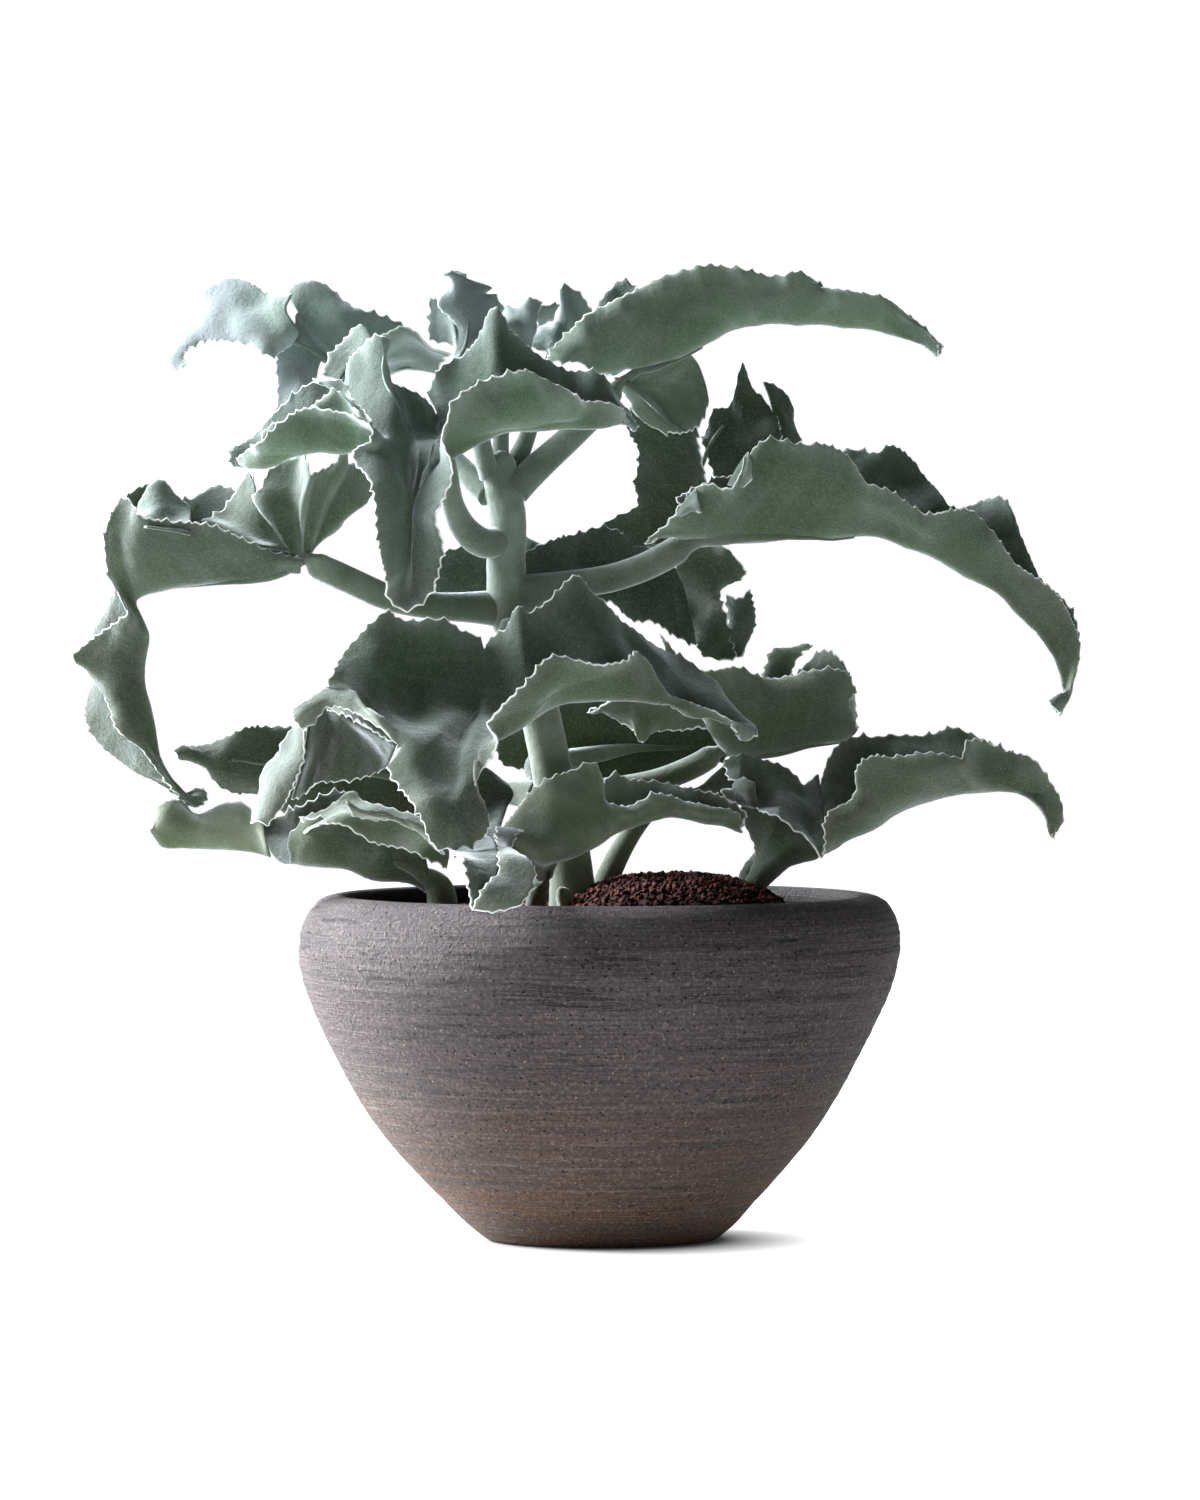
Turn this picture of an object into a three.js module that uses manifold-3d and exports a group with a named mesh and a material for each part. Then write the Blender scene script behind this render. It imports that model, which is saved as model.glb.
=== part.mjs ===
// A felt bush: a shrub of velvety, three-lobed leaves in a dark stoneware bowl, the soil
// dressed with red lava grit. Millimetres, +Z up, the front towards -Y, the origin under
// the middle of the bowl's foot.
import * as THREE from "three";
import { mergeVertices } from "three/addons/utils/BufferGeometryUtils.js";
import Module from "manifold-3d";

// Driving dimensions
const FOOT_RADIUS = 59;
const BELLY_RADIUS = 151;
const BELLY_HEIGHT = 147;
const RIM_HEIGHT = 173;
const MOUTH_RADIUS = 131.5;
const FLOOR_THICKNESS = 13;
const GRIT_EDGE_HEIGHT = 163;
const GRIT_PEAK_HEIGHT = 183;
const BLADE_THICKNESS = 1.6;
const TOOTH_DEPTH = 1.3;
const SEAT_GAP = 0.3;

// The plant's points are written as they stand seen from the front, so these two bring
// them back to their true places.
const VIEW_DISTANCE = 4500;
const EYE_HEIGHT = 369;

const POT_SEGMENTS = 36;
// Triangles that differ from a flat face by less than this are joined.
const FLATNESS = 0.3;
const TUBE_SIDES = 7;

// Each leaf is one or more sheets. A sheet is a list of stations, and a station is a list of
// points [x, z, y] in millimetres as they stand seen from the front: x to the right of the
// stem's foot, z above the table, y the depth behind the pot's axis (less is nearer).
const LEAVES = {
  leaf_front_middle: {
    petiole: [[-45, 312.5, -9, 6], [-49.5, 310.5, -20, 6.6], [-56, 303, -36, 6.5], [-58, 290, -46, 5],
      [-60, 272, -60, 3.5], [-66, 256, -84, 2.2], [-80, 232, -104, 1.2]],
    sheets: [
      { margins: "both", net: [
        [[-107, 315.5, -26], [-120, 306, -30], [-129.5, 294, -36], [-137, 279, -44],
          [-140.5, 273.5, -52], [-137, 265, -62]],
        [[-103, 311.5, -27], [-112, 297.5, -38], [-120, 286, -48], [-126, 277, -60], [-128.5, 271, -68],
          [-129, 263.5, -74]],
        [[-95, 308.5, -28], [-101, 292.5, -44], [-107, 276, -60], [-115, 269, -74], [-118.5, 263, -80],
          [-118.5, 258, -84]],
        [[-86, 309.5, -28], [-89, 290, -48], [-93, 270, -66], [-100, 261, -80], [-105, 255, -86],
          [-108, 251.5, -88]],
        [[-77, 309, -28], [-79, 289, -50], [-82, 269, -70], [-89, 260, -84], [-96, 251, -92],
          [-101, 246, -92]],
        [[-70, 304.5, -30], [-72, 286, -52], [-75, 267, -72], [-81, 259, -88], [-94, 245, -98],
          [-107.5, 237, -98]],
        [[-64, 303, -32], [-66, 284, -52], [-69, 266, -73], [-76, 257, -90], [-89, 232.5, -106],
          [-99, 224, -108]],
        [[-60.5, 299, -34], [-62, 282, -52], [-64.5, 265, -74], [-71, 255, -92], [-83, 224, -112],
          [-91, 212.5, -116]],
        [[-59, 296, -36], [-59.5, 280, -52], [-61.5, 264, -74], [-67, 254, -93], [-76, 220, -114],
          [-82.5, 196.5, -118]],
        [[-57.5, 299.5, -34], [-56.5, 281, -52], [-59, 264.5, -74], [-63.5, 254, -93], [-69, 225, -112],
          [-61.5, 201, -112]],
        [[-55.5, 302.5, -32], [-54, 283, -51], [-56.5, 265, -73], [-60.5, 254.5, -92], [-63, 235, -106],
          [-60.5, 219.5, -108]],
        [[-53, 305, -31], [-52, 284, -50], [-54, 265, -72], [-58, 254.5, -91], [-62, 242.5, -100],
          [-64, 231.5, -106]],
        [[-50, 307, -30], [-49.5, 285, -50], [-51, 265, -72], [-54.5, 254.5, -90], [-55.5, 250, -98],
          [-52.5, 249, -104]],
        [[-46, 313, -28], [-45.5, 287.5, -50], [-46, 266, -72], [-47, 255, -88], [-53.5, 252.5, -98],
          [-58, 257, -104]],
        [[-42.5, 318, -27], [-40, 292.5, -48], [-38, 270, -70], [-37, 258, -86], [-45, 261, -100],
          [-52.5, 265, -106]],
        [[-35.5, 315, -28], [-31, 295, -48], [-26, 275, -68], [-23, 267, -82], [-30, 273, -98],
          [-37, 280, -106]],
        [[-26, 320.5, -28], [-21, 300, -47], [-13.5, 280, -64], [-8.5, 270, -78], [-17, 280, -96],
          [-25, 292, -104]],
        [[-12.5, 333.5, -28], [-6, 305, -46], [0, 284, -62], [5, 272, -74], [0, 280, -90],
          [-5, 289, -98]],
        [[-2, 322, -28], [4, 301, -44], [11.5, 282, -58], [19, 270.5, -70], [15, 279, -84],
          [10, 290, -90]],
        [[13, 310, -26], [18, 295, -38], [25, 279, -52], [31, 268, -62], [25, 277, -74],
          [19, 294, -80]],
        [[30, 298, -24], [33, 287.5, -34], [37, 276, -44], [44, 264, -52], [39, 268, -60],
          [31, 275, -66]],
        [[49, 286, -22], [51, 279, -28], [54, 271, -36], [57, 260, -44], [53, 263, -50],
          [49, 267.5, -54]],
        [[63, 275, -20], [64, 269, -26], [65.5, 263, -32], [68, 256, -36], [66, 257.5, -41],
          [63, 260, -45]],
        [[71, 260, -22], [72.5, 258.5, -25], [74, 256, -28], [75, 253, -31], [73, 253, -34],
          [70.5, 254.5, -36]],
      ] },
      { margins: "last", net: [
        [[-141, 277, -50], [-144.5, 264, -60], [-146.5, 247.5, -62], [-149.5, 233.5, -60],
          [-156, 223, -58]],
        [[-133.5, 273, -58], [-136, 260, -66], [-140, 245, -66], [-143.5, 234, -64], [-147, 228, -62]],
        [[-123.5, 266, -66], [-126, 252.5, -72], [-128.5, 242.5, -70], [-131, 235, -66],
          [-133, 230.5, -64]],
        [[-112, 258, -76], [-115, 247.5, -80], [-118, 240, -76], [-120, 235, -72], [-121, 231.5, -70]],
        [[-99, 250, -86], [-102, 242.5, -88], [-104, 238.5, -84], [-106, 236, -80], [-107.5, 234, -78]],
      ] },
      { margins: "both", net: [
        [[-154.5, 264, -60], [-152, 266, -64], [-148.5, 267, -64], [-143, 268, -58]],
        [[-154, 258, -66], [-151.5, 259, -72], [-148.5, 259, -70], [-145, 260, -60]],
        [[-158, 251, -70], [-155, 252, -78], [-151, 252, -76], [-145, 251, -62]],
        [[-165, 241, -72], [-159, 242, -82], [-152, 242, -80], [-147, 241.5, -64]],
        [[-173, 230, -72], [-165, 231, -84], [-157, 232, -82], [-150, 234, -68]],
        [[-175.5, 222, -70], [-169, 221, -82], [-162, 222, -82], [-156, 225, -72]],
        [[-173, 210, -66], [-169, 212, -76], [-164, 214, -78], [-157.5, 217, -72]],
      ] },
    ],
  },
  leaf_front_upper: {
    petiole: [[-52, 349, -4, 6], [-60, 349, -12, 7], [-69, 356, -24, 6.8], [-75, 368, -36, 6],
      [-77, 384, -50, 5], [-79, 396, -62, 4], [-84, 402, -70, 3]],
    sheets: [
      { margins: "both", net: [
        [[-186, 392.5, -36], [-185.5, 390.5, -38], [-184.5, 388, -40], [-183, 386, -42],
          [-182, 388, -45], [-183, 390.5, -47]],
        [[-173, 405, -34], [-173, 397.5, -38], [-172, 390, -44], [-171, 386.5, -52], [-173, 392, -58],
          [-174, 398, -62]],
        [[-161, 417.5, -32], [-160, 407.5, -38], [-158, 396, -46], [-156, 391.5, -56], [-159, 399, -64],
          [-162, 408, -68]],
        [[-146, 429, -30], [-145, 416, -38], [-143, 402, -48], [-141, 395.5, -60], [-145, 405, -70],
          [-148, 415.5, -74]],
        [[-132, 431, -30], [-130, 419, -40], [-128, 405, -52], [-126, 397, -64], [-129, 405, -74],
          [-133, 414.5, -78]],
        [[-125, 441, -30], [-122, 426, -42], [-119, 411, -54], [-117, 400, -68], [-118, 405, -78],
          [-120, 411, -82]],
        [[-120, 446, -30], [-116, 428, -42], [-112, 412, -55], [-110, 401, -69], [-112, 404, -80],
          [-114, 407, -86]],
        [[-115, 449.5, -30], [-111, 431, -42], [-106, 414, -56], [-105, 401, -70], [-110, 398, -84],
          [-115.5, 400, -90]],
        [[-110, 451, -30], [-107, 433, -42], [-102.5, 414, -56], [-101, 400, -71], [-111, 394, -88],
          [-124.5, 394, -92]],
        [[-108, 441, -31], [-105, 429, -42], [-100, 413, -56], [-98, 399, -72], [-105, 386, -93],
          [-116, 380, -100]],
        [[-104, 433, -32], [-101, 425, -42], [-96.5, 412, -56], [-95, 398.5, -72], [-101, 374, -98],
          [-113, 366, -107]],
        [[-97, 427, -34], [-95, 421, -42], [-92.5, 410, -56], [-92, 398, -73], [-98.5, 360, -102],
          [-112, 351, -111]],
        [[-90, 423, -35], [-89, 418, -42], [-88, 408, -56], [-89, 397.5, -73], [-97, 346, -105],
          [-109.5, 332.5, -113]],
        [[-84.5, 417, -37], [-84, 413, -43], [-84.5, 406, -56], [-86, 396.5, -73], [-96, 337.5, -106],
          [-105.5, 321, -113]],
        [[-82, 413, -39], [-82, 410, -44], [-82.5, 405, -56], [-84, 396, -73], [-93.5, 339, -105],
          [-98.5, 315.5, -113]],
        [[-84, 417, -40], [-82.5, 414, -46], [-81, 406, -57], [-82, 396, -73], [-89, 344, -104],
          [-87, 323, -111]],
        [[-87.5, 424, -38], [-82, 419, -46], [-79.5, 407, -58], [-80, 396, -74], [-86, 352.5, -102],
          [-82.5, 340, -107]],
        [[-83, 434, -36], [-79, 422.5, -45], [-77.5, 407.5, -58], [-78, 395.5, -75], [-84.5, 364, -97],
          [-80.5, 349, -103]],
        [[-76, 439.5, -33], [-74.5, 424, -44], [-74, 408, -58], [-76.5, 395.5, -76],
          [-82.5, 372.5, -93], [-84.5, 361, -98]],
        [[-70, 443, -32], [-70, 425, -44], [-71, 408, -58], [-75, 395, -77], [-79.5, 380, -91],
          [-81, 374, -95]],
        [[-64.5, 449, -31], [-65.5, 426.5, -44], [-67.5, 408, -58], [-73, 395, -78], [-76, 389, -89],
          [-73.5, 396.5, -92]],
        [[-60, 456, -30], [-61, 428, -44], [-63, 408.5, -58], [-69.5, 395.5, -78], [-76, 398.5, -89],
          [-81, 407, -94]],
        [[-53.5, 466, -30], [-54, 431, -44], [-54.5, 410, -58], [-60, 399, -78], [-69, 407.5, -90],
          [-77.5, 418, -96]],
        [[-48, 455, -30], [-47, 432, -43], [-46, 413, -57], [-48.5, 403.5, -77], [-58, 414, -90],
          [-67, 426, -96]],
        [[-41.5, 451, -30], [-39, 432, -42], [-36, 415, -55], [-36, 405, -74], [-45, 417, -88],
          [-53, 431.5, -94]],
        [[-32, 444, -30], [-29, 430, -41], [-26, 416, -53], [-24, 405.5, -70], [-31, 418, -84],
          [-40, 435.5, -90]],
        [[-20, 436, -30], [-17, 426, -39], [-13.5, 415.5, -49], [-11, 406, -64], [-18, 414, -78],
          [-26, 429, -84]],
        [[-7, 436, -30], [-5, 427, -38], [-2.5, 416, -45], [0, 406.5, -56], [-6, 412, -68],
          [-12.5, 420, -74]],
        [[3, 431.5, -30], [4.5, 425, -36], [6, 416, -41], [8, 407, -48], [4.5, 411, -56],
          [0, 419.5, -62]],
        [[11, 422, -30], [12, 418, -34], [13, 413, -37], [14, 407, -41], [12.5, 409.5, -46],
          [10, 414.5, -50]],
        [[16.5, 415, -30], [17, 412.5, -33], [17.5, 409.5, -35], [17.5, 406, -38], [15.5, 406.5, -41],
          [14, 410, -43]],
      ] },
      { margins: "none", net: [
        [[-140, 433, -24], [-136, 432, -26], [-131, 430, -31]],
        [[-134, 444, -22], [-130, 442.5, -25], [-125, 439, -30]],
        [[-126, 454.5, -22], [-123, 451, -25], [-118, 445, -31]],
        [[-121, 458, -24], [-118.5, 456, -26], [-114, 449, -31]],
      ] },
    ],
  },
  leaf_front_lower: {
    petiole: [[-33, 158, -34, 7], [-33, 168, -38, 6.6], [-33, 176, -48, 6.2], [-34, 183, -62, 5.2],
      [-37, 191, -80, 3.6], [-31, 201, -87, 2.2], [-20, 212, -84, 1.4]],
    sheets: [
      { margins: "both", net: [
        [[-53, 201, -94], [-48, 199, -92], [-43.5, 193.5, -86], [-39, 189, -78], [-35, 184, -70],
          [-32, 180, -60]],
        [[-47, 211, -90], [-40, 201, -92], [-35, 192.5, -88], [-31, 186, -78], [-28.5, 182, -68],
          [-27, 180, -56]],
        [[-40, 220, -84], [-33, 206, -88], [-27, 195, -86], [-23, 188, -76], [-23, 189, -64],
          [-23, 190, -54]],
        [[-28.5, 230, -76], [-23, 212.5, -84], [-17, 199, -82], [-13, 191.5, -70], [-15, 197.5, -58],
          [-16, 202.5, -50]],
        [[-14, 236.5, -68], [-9, 220, -76], [-4, 204, -76], [0, 198, -66], [-2, 207, -54],
          [-3, 215, -46]],
        [[-2, 238.5, -62], [-1, 222.5, -68], [3, 209, -70], [8, 202, -60], [6, 212.5, -48],
          [4, 232, -38]],
        [[2, 223.5, -62], [5, 217, -66], [11, 209, -66], [17, 205, -56], [15, 216, -46],
          [13, 229.5, -36]],
        [[14, 218.5, -58], [17, 215, -60], [21, 211, -60], [26, 207.5, -50], [24, 217.5, -40],
          [22, 229.5, -32]],
        [[29.5, 224, -52], [31, 219, -54], [34, 213, -54], [38, 209.5, -45], [37, 218, -38],
          [36, 228, -30]],
        [[46, 219.5, -46], [47, 216.5, -48], [48.5, 212.5, -48], [51, 210, -40], [50.5, 217, -34],
          [50, 225, -28]],
        [[60, 215, -41], [60.5, 213.5, -43], [61, 211.5, -43], [62.5, 208.5, -36], [63, 214, -31],
          [63, 221, -26]],
        [[67, 211, -35], [68, 209.5, -36], [69, 208.5, -35], [70.5, 208, -32], [72, 211, -29],
          [72, 214.5, -28]],
      ] },
      { margins: "last", net: [
        [[-75, 194.5, -100], [-73, 189, -104], [-70.5, 182.5, -110], [-69.5, 174, -118],
          [-66, 165, -126]],
        [[-68, 198, -98], [-64, 189, -104], [-61, 180, -112], [-60, 172.5, -122], [-61, 167, -132]],
        [[-59, 196, -95], [-56, 189, -103], [-54, 180, -112], [-54, 172.5, -124], [-55, 167, -136]],
        [[-51, 201, -92], [-49, 191, -104], [-47.5, 182.5, -115], [-47, 174, -127], [-47, 166.5, -138]],
        [[-45, 199, -90], [-42, 190, -100], [-40, 182.5, -110], [-40, 175, -120], [-41, 166.5, -132]],
        [[-41, 192, -86], [-38, 187, -90], [-36, 183, -96], [-35, 180, -102], [-37.5, 174, -112]],
      ] },
      { margins: "none", net: [
        [[-62, 237, -54], [-59, 236.5, -51], [-56, 235, -48]],
        [[-66, 225, -60], [-56, 226, -56], [-45, 225, -52]],
        [[-67, 212, -70], [-58, 214, -66], [-48, 216, -62]],
        [[-70, 200, -86], [-61, 200, -82], [-52, 201, -78]],
        [[-66, 193, -103], [-58, 187, -109], [-48, 184, -108]],
      ] },
    ],
  },
  leaf_left_large: {
    petiole: [[-53, 316, 0, 6.6], [-60, 316.5, -2, 7.2], [-86, 317.5, -6, 6.8], [-108, 322, -9, 6.8],
      [-126, 330, -9, 6.8], [-141, 336.5, -8, 6.6], [-152, 339, -7, 5.5], [-166, 336, -8, 4],
      [-190, 331, -7, 2.6], [-218, 327, -5, 1.6]],
    sheets: [
      { margins: "both", net: [
        [[-150, 341, -10], [-150.5, 339, -12], [-151, 337, -11], [-151, 334, -7], [-151, 340, 0],
          [-152, 345, 4]],
        [[-168, 345.5, -18], [-167.5, 341, -18], [-166.5, 336, -14], [-165, 331, -6], [-167, 347.5, 4],
          [-170, 368, 10]],
        [[-181, 351.5, -22], [-181, 344, -22], [-181, 336.5, -16], [-180.5, 329.5, -6],
          [-181, 352.5, 8], [-182, 375, 16]],
        [[-193.5, 356.5, -24], [-194, 347.5, -24], [-194.5, 338, -17], [-195, 329, -6],
          [-195, 352.5, 10], [-194, 378, 20]],
        [[-205, 359, -26], [-205.5, 348.5, -26], [-206.5, 338, -18], [-207.5, 327, -6], [-207, 351, 10],
          [-206, 370.5, 18]],
        [[-215, 359.5, -27], [-216, 348.5, -27], [-217.5, 337, -19], [-219, 324.5, -6], [-218, 350, 10],
          [-213, 371, 16]],
        [[-226, 361, -28], [-227, 349, -27], [-228, 336, -18], [-228, 321.5, -5], [-228.5, 352.5, 8],
          [-222, 379, 14]],
        [[-234, 364, -28], [-235, 350, -24], [-234, 335, -15], [-231, 320, -4], [-235, 347.5, 6],
          [-228, 378, 10]],
        [[-240, 371.5, -22], [-240, 355, -20], [-237, 337.5, -12], [-232, 319, -4], [-238, 347.5, 6],
          [-236, 374, 8]],
        [[-246.5, 360, -18], [-244, 347.5, -16], [-240, 333.5, -10], [-232.5, 318, -4],
          [-241, 342.5, 4], [-243, 364, 4]],
        [[-247, 347.5, -14], [-244, 339, -13], [-240, 329, -9], [-232.5, 316.5, -4], [-242, 335, 3],
          [-245, 346, 3]],
        [[-246, 334, -12], [-243, 328, -12], [-239, 321.5, -8], [-231.5, 314, -4], [-240, 325, 3],
          [-244, 332.5, 3]],
        [[-241, 321.5, -12], [-238, 318, -12], [-235, 314, -8], [-230, 309, -3], [-239, 314, 4],
          [-246, 320, 8]],
        [[-237.5, 313.5, -12], [-235, 310, -12], [-232.5, 306, -8], [-228.5, 302, -3], [-239, 305, 8],
          [-251, 307.5, 14]],
        [[-251, 304, -13], [-243.5, 301, -13], [-236, 297.5, -9], [-228.5, 294, -2], [-242, 295, 10],
          [-258, 297.5, 18]],
        [[-265, 292, -14], [-253, 289, -15], [-241, 286, -10], [-228, 282, -2], [-245, 280, 12],
          [-259, 286, 22]],
        [[-259, 284, -14], [-249, 279, -15], [-238, 275, -10], [-227, 271, -2], [-245, 269, 12],
          [-259, 270, 22]],
        [[-249, 271.5, -14], [-242, 268, -14], [-234, 264, -9], [-225, 260, -1], [-242, 258, 12],
          [-258, 259, 20]],
        [[-242, 256, -13], [-236, 254, -13], [-229, 251, -8], [-221, 248.5, -1], [-236, 248, 10],
          [-250, 247, 18]],
        [[-230, 245, -12], [-226, 243, -11], [-221, 240, -7], [-215.5, 237, -1], [-227, 238, 8],
          [-237, 237, 14]],
        [[-221, 233, -10], [-218, 232, -10], [-214.5, 230, -6], [-210, 228, -1], [-216, 229, 5],
          [-223, 229.5, 8]],
        [[-212, 222, -8], [-210, 222, -8], [-208, 222, -5], [-205, 223, -1], [-208, 222.5, 2],
          [-212, 223, 3]],
        [[-207, 217, -6], [-205, 217.5, -6], [-202, 219, -4], [-199, 222, -2], [-201, 225, 1],
          [-205, 225, 2]],
        [[-203, 216, -4], [-201, 216.5, -4], [-199, 218, -3], [-197.5, 221, -2], [-198, 224, 0],
          [-199.5, 226, 0]],
      ] },
      { margins: "first", net: [
        [[-234, 364.5, -4], [-233, 364, -8], [-231, 363, -14], [-228, 357, -32]],
        [[-221, 380.5, 2], [-222, 374, -4], [-222.5, 366, -14], [-222, 356, -31]],
        [[-213, 373, 2], [-213.5, 369, -2], [-214, 363, -14], [-214.5, 355, -31]],
        [[-206, 367, 4], [-206, 365, 0], [-206, 361, -12], [-206, 353, -30]],
      ] },
      { margins: "first", net: [
        [[-200, 360, 4], [-193.5, 358, -2], [-183.5, 353.5, -10], [-170, 347, -19]],
        [[-191.5, 365.5, 6], [-185, 361.5, 0], [-176, 356, -8], [-165, 346, -16]],
        [[-183, 374, 8], [-178, 367.5, 1], [-171, 359, -6], [-161, 345.5, -13]],
        [[-176, 384.5, 8], [-173, 375, 1], [-168, 362.5, -6], [-158, 345, -12]],
        [[-172, 372.5, -4], [-169, 366, -8], [-164, 357.5, -10], [-156, 344, -11]],
        [[-166, 386.5, 2], [-164, 375, -3], [-160.5, 361, -7], [-154, 343.5, -10]],
        [[-151, 392.5, 6], [-152.5, 377.5, 0], [-153, 362.5, -6], [-152, 343, -9]],
        [[-146.5, 393, 2], [-148.5, 380, -6], [-149.5, 364, -9], [-150, 342.5, -8]],
        [[-145, 382.5, -12], [-148.5, 371, -13], [-149.5, 360, -10], [-149, 342, -7]],
        [[-136, 389, -4], [-142, 375, -7], [-146, 361, -8], [-148, 342, -6]],
        [[-132.5, 396.5, 2], [-137, 380, -2], [-143, 362.5, -5], [-147, 342, -5]],
        [[-128.5, 384, 8], [-134, 374, 4], [-140, 361, 0], [-146, 343, -3]],
        [[-120, 388.5, 6], [-128, 376, 4], [-137, 362, 1], [-145.5, 344, -2]],
        [[-114.5, 376, 8], [-123, 369, 6], [-134, 359, 3], [-145, 345, -1]],
        [[-119, 367, 10], [-127, 360, 8], [-136, 354, 4], [-144.5, 346, 0]],
        [[-131, 356.5, 10], [-135, 353.5, 8], [-140, 350.5, 4], [-144, 346.5, 1]],
      ] },
    ],
  },
  leaf_right_large: {
    petiole: [[-39.5, 323, 0, 6.8], [-33, 325, -2, 7.4], [-20, 327.5, -6, 7], [4, 331, -8, 7],
      [24, 338, -10, 7], [44, 349, -10, 7], [58, 355, -10, 6.4], [72, 355, -10, 4.6], [96, 354, -9, 3],
      [126, 353, -8, 2]],
    sheets: [
      { margins: "both", net: [
        [[20, 348.5, -14], [26.5, 350, -17], [35, 353, -16], [49, 352, -10], [44, 360, 4],
          [37, 370, 12]],
        [[33, 359.5, -20], [39, 358, -20], [46.5, 357, -18], [55, 349.5, -9], [52, 362.5, 8],
          [49, 376, 16]],
        [[47.5, 376.5, -26], [50, 370, -26], [54, 360, -20], [63, 348, -8], [60, 364, 10],
          [56.5, 381, 22]],
        [[56, 378.5, -28], [58, 371, -27], [61, 359, -20], [69, 348, -8], [67, 365, 12], [65, 383, 24]],
        [[64, 376.5, -30], [65.5, 368.5, -28], [68, 358, -20], [75, 348, -8], [73, 367.5, 14],
          [72, 389, 26]],
        [[73, 392, -31], [74.5, 376, -30], [76.5, 361, -20], [81.5, 348, -8], [80, 370, 14],
          [79, 396, 26]],
        [[81.5, 400, -32], [83, 381, -30], [85, 363, -20], [89, 348.5, -8], [88, 372.5, 14],
          [86.5, 397.5, 26]],
        [[99, 398, -32], [100, 380, -30], [101, 363.5, -20], [102, 350, -8], [101.5, 372.5, 14],
          [100.5, 396, 26]],
        [[114, 397, -32], [115, 380, -30], [116, 364, -20], [117, 351, -8], [117, 372.5, 14],
          [116, 395, 26]],
        [[124, 391, -30], [125, 377.5, -28], [126, 364, -19], [127.5, 350.5, -8], [128, 375, 14],
          [128, 396, 26]],
        [[132.5, 379, -28], [134, 370, -26], [136, 360, -18], [137.5, 349.5, -8], [138, 372.5, 14],
          [136.5, 394.5, 24]],
        [[144, 375, -26], [145.5, 366, -25], [147.5, 357, -17], [149.5, 346.5, -8], [149, 370, 14],
          [145.5, 398.5, 26]],
        [[153, 368.5, -24], [155, 361, -23], [157.5, 352.5, -16], [159, 343.5, -7], [158, 365, 14],
          [156, 390.5, 26]],
        [[161.5, 363.5, -22], [163.5, 356, -21], [166, 348, -15], [167.5, 339.5, -7], [167, 357.5, 12],
          [166, 377.5, 22]],
        [[173, 365.5, -22], [174.5, 355, -20], [176.5, 345, -14], [178, 334, -6], [177, 350, 10],
          [174.5, 366, 18]],
        [[185, 365, -20], [186, 353, -19], [187.5, 341, -13], [188.5, 327.5, -6], [189, 350, 10],
          [191, 372, 20]],
        [[193, 357, -18], [194.5, 346, -17], [196.5, 335, -12], [198.5, 320, -5], [200, 345, 10],
          [201, 370.5, 20]],
        [[199.5, 347.5, -16], [201, 338.5, -15], [203.5, 327.5, -10], [206, 312.5, -4], [207, 337.5, 8],
          [207, 357.5, 16]],
        [[206, 339, -14], [208.5, 330, -13], [211, 319, -9], [214, 304, -3], [214, 327.5, 6],
          [212, 343.5, 12]],
        [[216, 332, -12], [217.5, 322.5, -11], [219.5, 311, -7], [221.5, 295, -2], [222, 317.5, 4],
          [220, 330, 8]],
        [[228, 323, -10], [227, 312.5, -9], [226, 301, -5], [226.5, 287.5, -1], [230, 307.5, 2],
          [232, 318.5, 4]],
        [[235, 311, -8], [233, 301, -7], [230.5, 290, -4], [229, 279, 0], [234, 297.5, 1],
          [237.5, 306.5, 2]],
        [[239, 296, -6], [236, 289, -5], [233, 282, -2], [230, 273, 1], [234, 284, 3], [238, 292.5, 2]],
        [[234, 275, -5], [232.5, 273.5, -5], [231, 271.5, -2], [229, 269, 1], [231, 271, 3],
          [233.5, 273.5, 1]],
        [[225, 267, -4], [225.5, 266.5, -5], [226, 265.5, -3], [226.5, 264, -1], [227, 265, 1],
          [226.5, 267, 0]],
      ] },
    ],
  },
  leaf_upper_right: {
    petiole: [[-43.5, 375, -1, 5.6], [-38, 381, 1, 6.6], [-33, 386, 4, 7], [-23, 395, 4, 6.8],
      [-12, 405, 2, 6.4], [-1, 416, 0, 6], [8, 426, 0, 5], [16, 434, 0, 4], [30, 437, 0, 3],
      [50, 448, 0, 2]],
    sheets: [
      { margins: "both", net: [
        [[-27, 439.5, -6], [-20, 439, -10], [-11, 439, -10], [5, 430, 0], [2, 434, 8], [-2, 440, 12]],
        [[-23, 449, -8], [-14, 446, -12], [-4, 443, -10], [8, 430, 0], [4, 445, 12], [-5, 459, 18]],
        [[-13, 457.5, -10], [-4, 452, -13], [5, 445, -10], [11, 430.5, 0], [6, 452.5, 14],
          [-1, 468.5, 22]],
        [[-4.5, 464, -10], [4, 456, -14], [11, 447, -10], [14, 431.5, 0], [13, 457.5, 16],
          [10.5, 479.5, 24]],
        [[8, 470, -10], [14, 459, -14], [19, 447, -10], [22, 433, 0], [20, 457.5, 14], [19, 474, 20]],
        [[24, 479.5, -8], [27, 466, -13], [30, 453, -10], [34, 439, 0], [31, 457.5, 12], [29, 479, 18]],
        [[44, 486, -8], [45, 471, -13], [46, 458, -10], [47.5, 447.5, 0], [46, 464, 12], [45, 484, 18]],
        [[59, 487.5, -8], [60, 474, -12], [61, 462.5, -9], [62, 453.5, 0], [61, 467.5, 12],
          [60, 485, 18]],
        [[75, 484.5, -8], [75.5, 474, -12], [76.5, 464, -9], [77, 456, 0], [76.5, 467.5, 12],
          [75.5, 482.5, 18]],
        [[88, 483, -8], [89, 473, -12], [89.5, 464.5, -9], [90, 457, 0], [89.5, 467, 12],
          [89, 481, 17]],
        [[100, 485, -8], [101.5, 474, -11], [103, 464.5, -8], [104, 456.5, 0], [103, 467, 11],
          [101, 482.5, 16]],
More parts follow.
